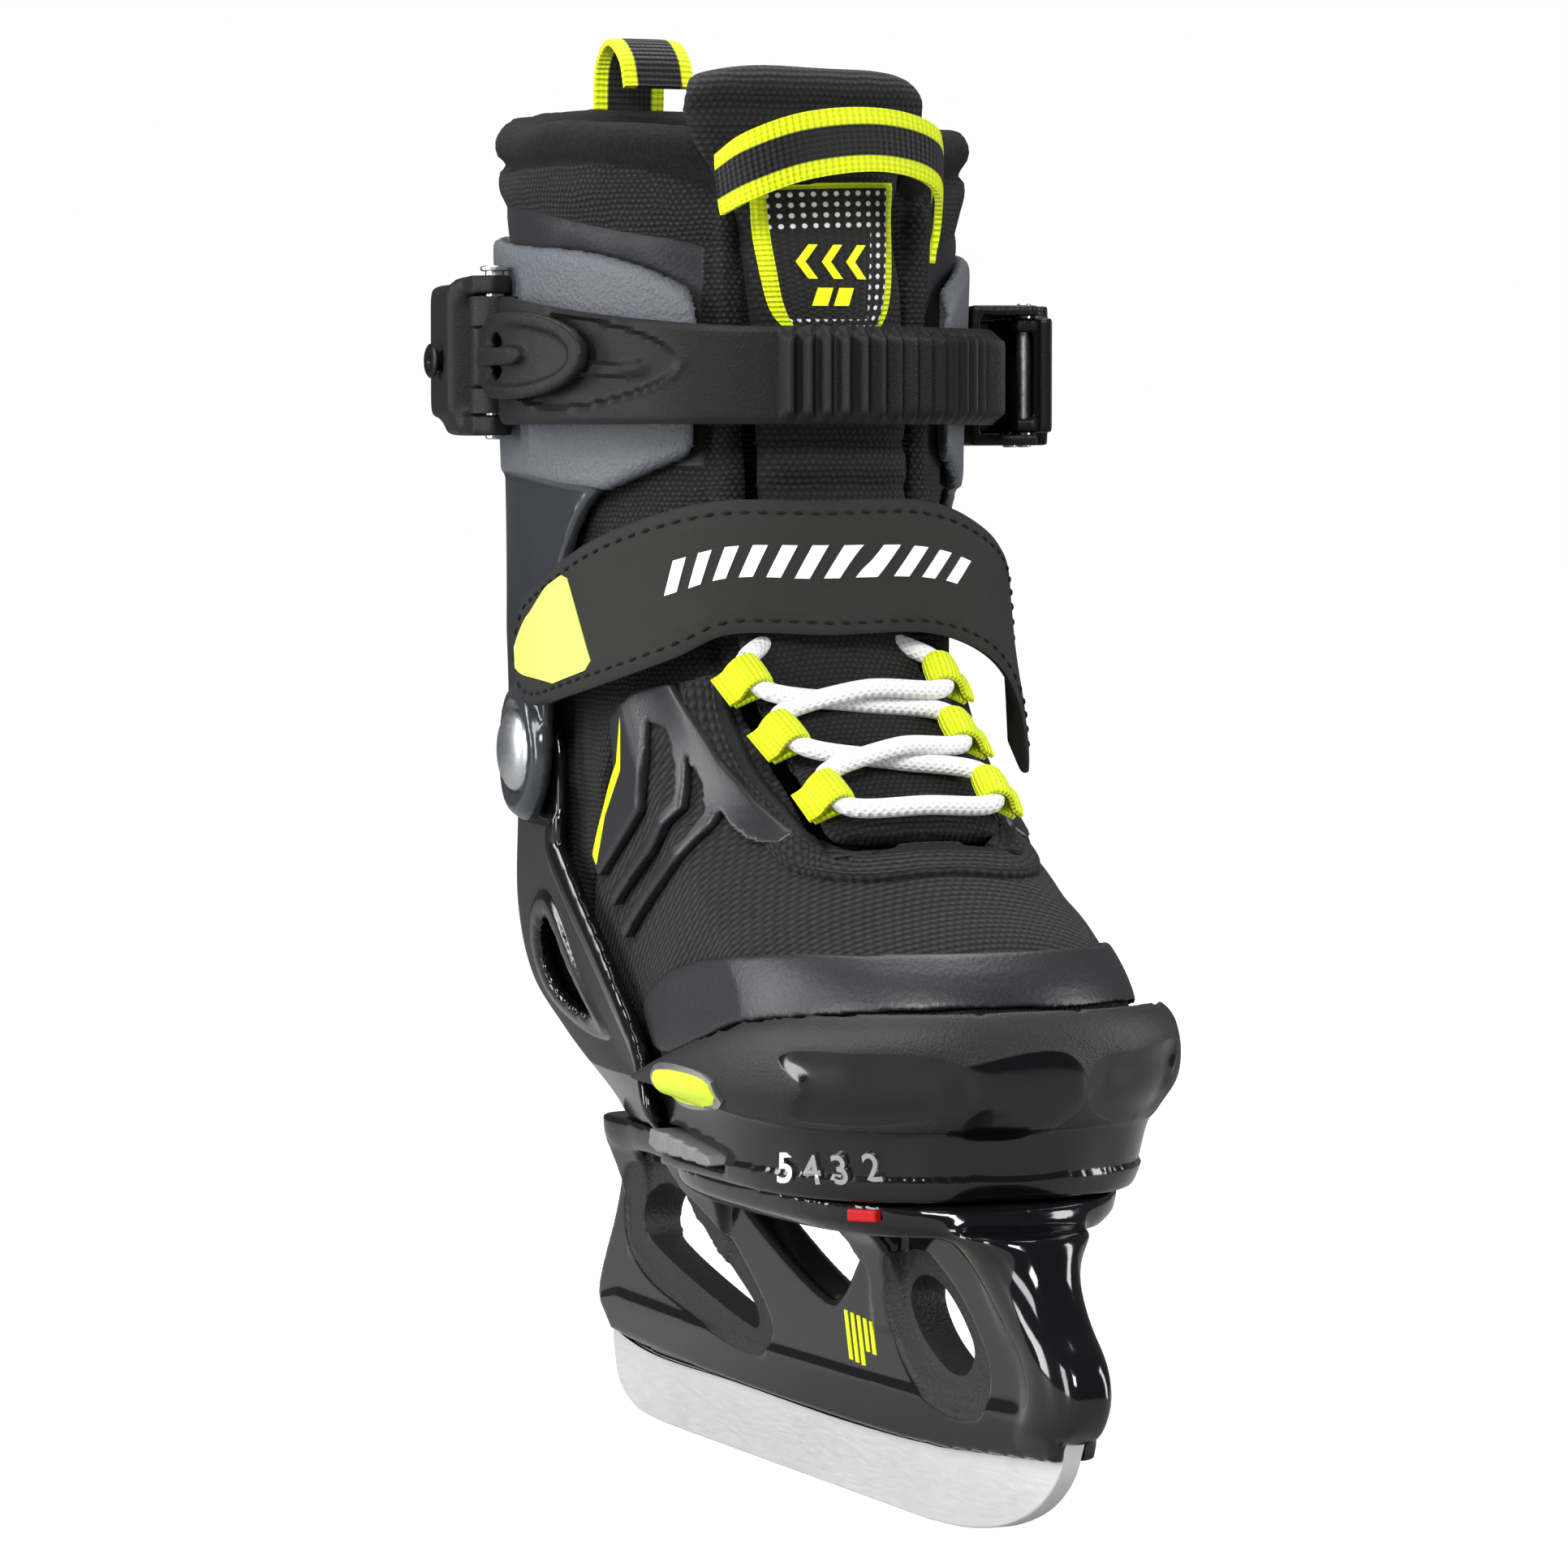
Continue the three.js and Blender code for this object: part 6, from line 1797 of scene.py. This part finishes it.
def makeInstepStrap():
    rows, columns = 22, 141
    front, back = np.empty((rows, columns, 3)), np.empty((rows, columns, 3))
    for c in range(columns):
        s = c / (columns - 1)
        width = np.linalg.norm(strapSpot(s, 0) - strapSpot(s, 1))
        for r in range(rows):
            v = r / (rows - 1)
            edge = min(v, 1 - v) * width
            tip = s * 190
            near = min(edge, tip)
            lift = instep["thick"] - 0.9 * math.exp(-near / 0.7) - 0.3 * math.exp(
                -(((near - instep["stitchIn"]) / 0.8) ** 2)
            )
            front[r, c] = strapSpot(s, v, lift + 0.15 * math.sin(s * 30) * math.sin(v * 3.1))
            back[r, c] = strapSpot(s, v, 0.15 + 0.5 * math.exp(-near / 0.7))
    obj = shellFromGrid("instepStrap", front, back, "instep")
    dress(smoothShade(obj, 60), nubuckMaterial, "nubuck", "instep_strap")
    return obj


def sewLine(name, line, normals, body, stitch, gap, radius, material):
    line = np.array(line, float)
    travel = np.concatenate([[0], np.cumsum(np.linalg.norm(np.diff(line, axis=0), axis=1))])

    def at(d):
        place = np.array([np.interp(d, travel, line[:, k]) for k in range(3)])
        normal = np.array([np.interp(d, travel, np.array(normals)[:, k]) for k in range(3)])
        return place, normal / np.linalg.norm(normal)

    verts, faces, start = [], [], 0.3
    while start + stitch < travel[-1]:
        first = len(verts)
        for j in range(6):
            t = j / 5
            place, normal = at(start + stitch * t)
            ahead = at(start + stitch * t + 0.2)[0] - place
            side = np.cross(normal, ahead / np.linalg.norm(ahead))
            swell = max(0.25, math.sqrt(math.sin(math.pi * min(max(t, 0.03), 0.97))))
            centre = place + normal * radius * (1.25 * math.sin(math.pi * t) - 0.5)
            for k in range(6):
                a = math.pi * k / 3
                verts.append(centre + (side * math.cos(a) + normal * math.sin(a)) * radius * swell)
        for j in range(5):
            for k in range(6):
                a, b = first + j * 6 + k, first + j * 6 + (k + 1) % 6
                faces.append((a, b, b + 6, a + 6))
        faces += [tuple(first + k for k in range(6)), tuple(first + 30 + k for k in reversed(range(6)))]
        start += stitch + gap
    obj = makePiece(name, verts, faces, body)
    return dress(smoothShade(obj), material, "nubuck")


def makeStrapDetails():
    skin = surfaceOf(strapPiece)

    def outside(s, v):
        return strapSpot(s, v, instep["thick"] + 6)

    def inwards(s, v):
        return strapSpot(s, v, 0) - strapSpot(s, v, 4)

    def drop(s, v, lift):
        return press(skin, outside(s, v), inwards(s, v), lift)

    def margin(s):
        return instep["stitchIn"] / np.linalg.norm(strapSpot(s, 0) - strapSpot(s, 1))

    for name, rows in (
        ("upper", [(s, margin(s)) for s in np.linspace(0.03, 0.985, 160)]),
        ("lower", [(s, 1 - margin(s)) for s in np.linspace(0.03, 0.985, 160)]),
        ("tip", [(0.018, v) for v in np.linspace(0.3, 0.7, 8)]),
    ):
        found = [drop(s, v, 0.0) for s, v in rows]
        sewLine(
            "strapStitch_" + name, [p for p, _ in found], [n for _, n in found], "instep", instep["stitch"],
            instep["stitchGap"], 0.38, threadMaterial
        )

    def sheet(name, upperRow, lowerRow, lift, thick, cells, material, slotName):
        front, back = [], []
        for r in range(cells[1] + 1):
            for c in range(cells[0] + 1):
                a, b = upperRow(c / cells[0]), lowerRow(c / cells[0])
                place, normal = drop(mix(a[0], b[0], r / cells[1]), mix(a[1], b[1], r / cells[1]), lift)
                front.append(place)
                back.append(place - normal * thick)
        shape = (cells[1] + 1, cells[0] + 1, 3)
        obj = shellFromGrid(name, np.array(front).reshape(shape), np.array(back).reshape(shape), "instep")
        return dress(smoothShade(obj, 45), material, slotName)

    sheet(
        "strapPatch", lambda t: (
            0.034 + 0.122 * t, mix(0.34, 0.12, min(1, t * 1.5)) + 0.05 * max(0, t - 0.92) * 12
        ),
        lambda t: (0.034 + 0.148 * t, mix(0.62, 0.87, min(1, t * 2.0)) - 0.05 * max(0, t - 0.92) * 12),
        0.25, 0.5, (26, 14), patchMaterial, "yellow_plate",
    )
    for k in range(11):
        s0 = 0.305 + k * 0.033
        size = 0.125 - 0.003 * abs(k - 5)
        sheet(
            f"strapBar_{k}", lambda t: (
                s0 + 0.012 + 0.017 * t, 0.46 - size
            ), lambda t: (s0 + 0.017 * t, 0.46 + size),
            0.25, 0.5, (4, 8), whitePrintMaterial, "lace_white",
        )


strapPiece = makeInstepStrap()
makeStrapDetails()
print("lace and instep strap made")

# ratchet strap: a smooth leaf from the hinge, then a toothed ladder
ratchet = {
    "leaf": [(-50.5, 50.5), (-52.6, 40), (-51, 26), (-45, 9), (-33, -5), (-17, -13), (2, -16)],
    "pin": (
        -50.5, 55.0
    ), "low": 214.5, "ladderTop": 234.0, "half": 1.1, "tooth": 2.4, "pitch": 3.7, "teethFrom": -17.0,
    "recess": 1.0, "recessHalf": (25.0, 9.2), "recessZ": 227.0,
}


def fromPin(radius, angle):
    x, y = ratchet["pin"]
    return x + radius * math.cos(math.radians(angle)), y + radius * math.sin(math.radians(angle))


def sideways(line):
    step = np.gradient(np.array(line), axis=0)
    step /= np.linalg.norm(step, axis=1)[:, None]
    return np.stack([step[:, 1], -step[:, 0]], axis=1)


def makeRatchetStrap():
    tail = [fromPin(102.1, a) for a in (-24, -18, -12, -6, -2)]
    line = straightThrough(curveThrough([*ratchet["leaf"], (20, -11), (34, 0), *tail], 700), 470)
    away = sideways(line)
    travel = np.concatenate([[0], np.cumsum(np.linalg.norm(np.diff(line, axis=0), axis=1))])
    firstTooth = travel[np.argmax(line[:, 0] > ratchet["teethFrom"])]
    centre = travel[np.argmin(np.abs(line[:, 1] - 16) + (line[:, 0] > 0) * 99)]
    rows = 27
    front, back = np.empty((rows, len(line), 3)), np.empty((rows, len(line), 3))
    for c, ((x, y), (ax, ay), d) in enumerate(zip(line, away, travel)):
        top = min(
            241.2, max(ratchet["ladderTop"], 233.5 + (y + 14) * 0.125)
        ) if x < 0 else ratchet["ladderTop"]
        top -= 1.6 * math.exp(-d / 2.5) if x < 0 else 0
        low = ratchet["low"] + (1.5 * math.exp(-d / 2.5) if x < 0 else 0)
        end = max(0, 1 - (travel[-1] - d) / 3)
        toothed = d > firstTooth
        phase = ((d - firstTooth) / ratchet["pitch"]) % 1.0
        for r in range(rows):
            v = r / (rows - 1)
            z = mix(low + 2 * end, top - 2 * end, v)
            rim = min(z - low, top - z)
            out = ratchet["half"] - 0.45 * math.exp(-rim / 0.35)
            if toothed:
                out += ratchet["tooth"] * (
                    1 - abs(phase - 0.62) / (0.38 if phase > 0.62 else 0.62)
                ) * min(1, max(0, rim - 0.4) / 2.0) * (1 - end)
            else:
                along1, across1 = (d - centre) / ratchet["recessHalf"][0], (
                    z - ratchet["recessZ"]
                ) / ratchet["recessHalf"][1]
                inside = 1 - math.hypot(along1, across1 * (1 + 0.25 * along1))
                out -= ratchet["recess"] * float(smoothStep(inside, 0.0, 0.09))
                lip = math.exp(-(((inside + 0.02) / 0.035) ** 2))
                out += 0.25 * lip
                barAlong, barAcross = abs(d - centre - 8) / 11, abs(z - ratchet["recessZ"] + 1.5) / 1.5
                out += 0.75 * float(smoothStep(1 - max(barAlong, barAcross), 0.0, 0.35))
            front[r, c] = (x + ax * out, y + ay * out, z)
            back[r, c] = (x - ax * ratchet["half"], y - ay * ratchet["half"], z)
    obj = shellFromGrid("ratchetStrap", front, back, "ratchet")
    px, py = ratchet["pin"]
    join(obj, rod("knuckle", "z", 5.3, 217, 222, (px, py)), rod("knuckle", "z", 5.3, 235, 241, (px, py)))
    cut(obj, rod("bore", "z", 2.35, 200, 260, (px, py)))
    dress(smoothShade(obj, 32), strapMaterial, "matte_black", "ratchet_strap")


makeRatchetStrap()


def reshape(node, name, body, voxel, rounds, material, slotName):  # rounded copy of a moulded part
    obj = bpy.data.objects.new(name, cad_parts[node].data.copy())
    scene.collection.objects.link(obj)
    merge = bmesh.new()
    merge.from_mesh(obj.data)
    bmesh.ops.remove_doubles(merge, verts=merge.verts, dist=1e-6)
    merge.to_mesh(obj.data)
    merge.free()
    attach(obj, body)
    soften(obj, voxel, rounds)
    return dress(smoothShade(obj), material, slotName, node)


def makeClip():
    line = curveThrough(ratchet["leaf"][:4], 70)
    away = sideways(line)
    outline = [
        tuple(p + n * 2.1) for p, n in zip(line, away)
    ] + [tuple(p + n * 4.4) for p, n in zip(line, away)][::-1]
    obj = slab("adjusterClip", outline, "z", 216, 241, "clip")
    oval = [
        (34 + 24 * signedPower(math.cos(a), 0.8), 228.5 + 8.8 * math.sin(a))
        for a in np.linspace(0, 2 * math.pi, 60, endpoint=False)
    ]
    keepInside(obj, slab("oval", oval, "x", -70, -30))
    inset = [
        (34 + 20.6 * signedPower(math.cos(a), 0.8), 228.5 + 6.2 * math.sin(a))
        for a in np.linspace(0, 2 * math.pi, 60, endpoint=False)
    ]
    dish = slab(
        "dishCore",
        [
            tuple(p + n * 3.5) for p, n in zip(line, away)
        ] + [tuple(p + n * 9) for p, n in zip(line, away)][::-1],
        "z", 210, 250
    )
    keepInside(dish, slab("dish", inset, "x", -75, -30))
    cut(obj, dish, rod("hole", "x", 4.8, -75, -40, (41, 228.5)))
    bar = slab(
        "bar",
        [
            tuple(p + n * 2.4) for p, n in zip(line, away)
        ] + [tuple(p + n * 5.6) for p, n in zip(line, away)][::-1],
        "z", 226.6, 230.2
    )
    barShape = [
        (40 + 13.5 * signedPower(math.cos(a), 0.7), 228.4 + 2.1 * signedPower(math.sin(a), 0.8))
        for a in np.linspace(0, 2 * math.pi, 40, endpoint=False)
    ]
    keepInside(bar, slab("lozenge", barShape, "x", -75, -30))
    px, py = ratchet["pin"]
    neck = slab("neck", [(-55.4, 47), (-52.9, 47), (-51.8, 53), (-54.8, 56.5)], "z", 222.6, 234.4)
    join(obj, bar, neck, rod("knuckle", "z", 5.1, 222.4, 234.6, (px, py)))
    cut(obj, rod("bore", "z", 2.35, 200, 260, (px, py)))
    soften(obj, 0.5, 4)
    dress(smoothShade(obj), strapMaterial, "matte_black", "adjuster_clip")


makeClip()
roundOff(
    reshape("strap_anchor", "strapAnchor", "cuff_and_shaft", 0.6, 6, strapMaterial, "matte_black"),
    lambda p: smoothStep(p[:, 1], 59, 66), 70,
)
reshape("buckle_base", "buckleBase", "cuff_and_shaft", 0.5, 3, buckleMaterial, "matte_black")
reshape("buckle_lever", "buckleLever", "lever", 0.55, 4, buckleMaterial, "matte_black")
reshape("buckle_pawl", "bucklePawl", "pawl", 0.45, 3, buckleMaterial, "matte_black")
reshape("size_button", "sizeButton", "lock_button", 0.35, 4, buttonMaterial, "grey")
reshape("footbed", "footbedPad", "chassis", 1.0, 6, linerMaterial, "liner")
reshape("gusset_inner", "gussetInner", "chassis", 0.6, 3, linerMaterial, "mesh_black")
reshape("gusset_outer", "gussetOuter", "chassis", 0.6, 3, linerMaterial, "mesh_black")
pointerPiece = reshape("size_pointer", "sizePointer", "chassis", 0.3, 3, pointerMaterial, "red")
pointerMiddle = sum((v.co for v in pointerPiece.data.vertices), Vector()) / len(pointerPiece.data.vertices)
for v in pointerPiece.data.vertices:  # the mark shows smaller than its seat
    v.co = pointerMiddle + Vector(
        ((v.co.x - pointerMiddle.x), (v.co.y - pointerMiddle.y) * 0.7, (v.co.z - pointerMiddle.z) * 0.7)
    )


# pins, rivets and screws
def spin(name, profile, axis, at, body, flip=1, sides=48):  # turned part: profile rows are (radius, height)
    rings = []
    for radius, height in profile:
        ring = []
        for i in range(sides):
            a = 2 * math.pi * i / sides
            u, v, w = radius * math.cos(a), radius * math.sin(a), flip * height
            ring.append(
                (at[0] + w, at[1] + u, at[2] + v) if axis == "x" else (at[0] + u, at[1] + v, at[2] + w)
            )
        rings.append(ring)
    return loft(name, rings, body)


def makeHardware():
    dome = [
        (0.3, -1.2), (5.4, -1.2), (5.6, -1.0), (5.6, 0), (3, 0), (3, 7.9), (8.1, 7.9), (8.6, 8.2),
        (8.6, 8.7), (8.2, 9.4), (7, 10.2), (5, 10.8), (2.5, 11.2), (0.3, 11.3)
    ]
    for side, name in ((-1, "inner"), (1, "outer")):
        obj = spin("ankleRivet_" + name, dome, "x", (side * 35.9, 59, 147), "cuff_and_shaft", side)
        dress(smoothShade(obj, 40), zincMaterial, "zinc", "ankle_rivet_" + name)
    px, py = ratchet["pin"]
    rows = [
        (0.2, 211.6), (1.7, 211.6), (2, 211.9), (2, 246.3), (2.8, 246.3), (3, 246.5), (3, 247.1),
        (2.6, 247.4), (0.2, 247.4)
    ]
    dress(
        smoothShade(spin("strapPin", rows, "z", (px, py, 0), "cuff_and_shaft"), 40), zincMaterial, "steel",
        "strap_pin"
    )
    for node, radius, angle in (("lever_pin", 110.2, -18.5), ("pawl_pin", 110.4, -10.5)):
        x, y = fromPin(radius, angle)
        rows = [(0.2, 210), (1.3, 210), (1.5, 210.2), (1.5, 239.6), (1.3, 239.8), (0.2, 239.8)]
        dress(
            smoothShade(spin(node.replace("_p", "P"), rows, "z", (x, y, 0), "cuff_and_shaft"), 40),
            zincMaterial, "steel", node
        )
    rows = [
        (0.3, -42), (2.05, -42), (2.05, -57.8), (3.4, -57.8), (3.6, -58.0), (3.6, -58.3), (3.2, -58.6),
        (1.2, -58.6), (1.0, -58.1), (0.3, -58.1)
    ]
    dress(
        smoothShade(spin("anchorScrew", rows, "x", (0, 72, 228), "cuff_and_shaft"), 40), darkScrewMaterial,
        "steel", "anchor_screw"
    )
    for y, low, name in ((52, 47, "middle"), (88, 56, "rear")):
        rows = [
            (0.3, low), (2, low), (2.2, low + 0.3), (2.2, 69.75), (4, 69.75), (4.2, 70), (4.2, 71),
            (3.8, 71.35), (1.5, 71.35), (1.4, 70.6), (0.3, 70.6)
        ]
        dress(
            smoothShade(spin("holderBolt_" + name, rows, "z", (0, y, 0), "chassis"), 40), zincMaterial,
            "steel", "holder_bolt_" + name
        )


makeHardware()
for node in ("buckle_rivet", "button_spring"):
    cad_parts[node].data.materials.clear()
    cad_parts[node].data.materials.append(zincMaterial)
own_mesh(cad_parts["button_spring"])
print("straps, buckle and hardware made")

# label, size numbers and the holder's stripes
marks = {
    "numbers": "5432", "numberSize": 8.2, "numberStart": (-38.2, -64.2, 70.4),
    "numberEnd": (-27.0, -82.0, 72.2)
}


def makeLabel():
    skin = surfaceOf(toeShellPiece)
    outward = (1, 0, 0)
    rim = layPatch(
        "labelRim", [(-70, -22, 86.6), (-70, -24, 88.6), (-70, -47, 89.4), (-70, -51.6, 88)],
        [
            (-70, -22, 83.6), (-70, -25, 81.2), (-70, -47.5, 82.6), (-70, -51.6, 84.2)
        ], skin, outward, 0.75, 0.9, "toe_box", (40, 10),
    )
    dress(smoothShade(rim, 40), silverMaterial, "grey", "label_plate")
    plate = layPatch(
        "labelPlate", [(-70, -23.4, 86.2), (-70, -25, 87.6), (-70, -46.6, 88.3), (-70, -50.2, 87.2)],
        [
            (-70, -23.4, 84), (-70, -26, 82.3), (-70, -47, 83.6), (-70, -50.2, 85)
        ], skin, outward, 1.05, 0.8, "toe_box", (40, 10),
    )
    dress(smoothShade(plate, 40), labelMaterial, "yellow_plate")


def makeNumbers():
    skin = surfaceOf(toeShellPiece)
    start, end = np.array(marks["numberStart"]), np.array(marks["numberEnd"])
    for k, digit in enumerate(marks["numbers"]):
        text = bpy.data.curves.new("digit", "FONT")
        text.body, text.size = digit, marks["numberSize"] * unit
        text.align_x, text.align_y = "CENTER", "CENTER"
        text.offset, text.resolution_u = 0.12 * unit, 6
        textPiece = bpy.data.objects.new("digit", text)
        scene.collection.objects.link(textPiece)
        bpy.context.view_layer.update()
        mesh = bpy.data.meshes.new_from_object(textPiece.evaluated_get(bpy.context.evaluated_depsgraph_get()))
        bpy.data.objects.remove(textPiece)
        obj = bpy.data.objects.new(f"sizeNumber_{digit}", mesh)
        scene.collection.objects.link(obj)
        place, normal = press(skin, mix(start, end, (k + 0.1) / 3.2) - np.array((25, 25, 0)), (1, 1, 0.05), 0)
        alongWay = (end - start) / np.linalg.norm(end - start)
        up = np.cross(alongWay, -normal)
        up = up if up[2] > 0 else -up
        split = bmesh.new()
        split.from_mesh(mesh)
        bmesh.ops.subdivide_edges(split, edges=split.edges, cuts=2)
        bmesh.ops.triangulate(split, faces=split.faces)
        spots = [place + alongWay * v.co.x / unit + up * v.co.y / unit for v in split.verts]
        heights = [
            float(np.dot(press(skin, spot + normal * 12, -normal, 0)[0] - place, normal)) for spot in spots
        ]
        level = float(np.percentile(heights, 80)) + 0.2  # a flat figure just proud of the shell
        for v, spot in zip(split.verts, spots):
            v.co = Vector(spot + normal * level) * unit
        split.to_mesh(mesh)
        split.free()
        step = obj.modifiers.new("thick", "SOLIDIFY")
        step.thickness, step.offset = 1.1 * unit, 0
        settle(obj)
        tidyNormals(obj)
        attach(obj, "toe_box")
        dress(smoothShade(obj, 30), silverMaterial, "grey")


def makeHolderStripes():
    skin = surfaceOf(holderPiece)
    for k, (y, length) in enumerate(((-21.5, 9.6), (-24.5, 9.6), (-27.5, 9.6), (-30.5, 6.4), (-33.5, 6.4))):
        top = 37.4 - 0.2 * k
        upper = [(-40, y + 2.6, top), (-40, y + 1.0, top)]
        lower = [(-40, y + 2.6 - length * 0.28, top - length), (-40, y + 1.0 - length * 0.28, top - length)]
        obj = layPatch(
            f"holderStripe_{k}", upper, lower, skin, (1, 0, 0), 0.2, 0.4, "chassis", (4, 10), False
        )
        dress(smoothShade(obj, 40), printMaterial, "yellow_plate")


makeLabel()
makeNumbers()
makeHolderStripes()


# studio
studio = {
    "floorShade": 0.35, "floorGlow": 1.0, "backdrop": 1.0, "ambient": 0.1,
    "panels": {  # place in metres, width and height, power
        "keyPanel": ((-0.75, -1.15, 1.0), (0.5, 0.5), 20.0),
        "leftStrip": ((-1.25, -0.25, 0.35), (0.3, 1.1), 12.0),
        "rightStrip": ((1.15, -0.55, 0.4), (0.3, 1.1), 12.0),
        "topPanel": ((0.1, 0.35, 1.25), (0.8, 0.8), 14.0),
        "rearStrip": ((-1.3, 0.7, 0.6), (0.3, 1.1), 12.0),
    },
}


def makeFloorMaterial():
    made, tree, shader = startMaterial("paleFloor", Roughness=0.6, Emission_Strength=studio["floorGlow"])
    shader.inputs["Base Color"].default_value = rgb(*[studio["floorShade"]] * 3)
    direct = addNode(tree, "ShaderNodeLightPath").outputs["Is Camera Ray"]
    feed(tree, shader.inputs["Emission Color"], direct)
    return made


def makeStudio():
    floor = slab("floor", [(-9000, -9000), (9000, -9000), (9000, 9000), (-9000, 9000)], "z", -12, -0.02)
    floor.data.materials.append(makeFloorMaterial())
    world = bpy.data.worlds.new("studio")
    world.use_nodes = True
    tree = world.node_tree
    direct = addNode(tree, "ShaderNodeLightPath").outputs["Is Camera Ray"]
    background = tree.nodes["Background"]
    background.inputs["Color"].default_value = rgb(1, 1, 1)
    feed(tree, background.inputs["Strength"], mixValue(tree, direct, studio["ambient"], studio["backdrop"]))
    scene.world = world
    target = Vector((0, 0, 0.14))
    for name, (place, size, power) in studio["panels"].items():
        lamp = bpy.data.lights.new(name, "AREA")
        lamp.shape, lamp.size, lamp.size_y, lamp.energy = "RECTANGLE", *size, power
        obj = bpy.data.objects.new(name, lamp)
        scene.collection.objects.link(obj)
        obj.location = place
        obj.rotation_euler = (target - Vector(place)).to_track_quat("-Z", "Y").to_euler()


makeStudio()
scene.view_settings.view_transform = "Standard"
print("studio made")
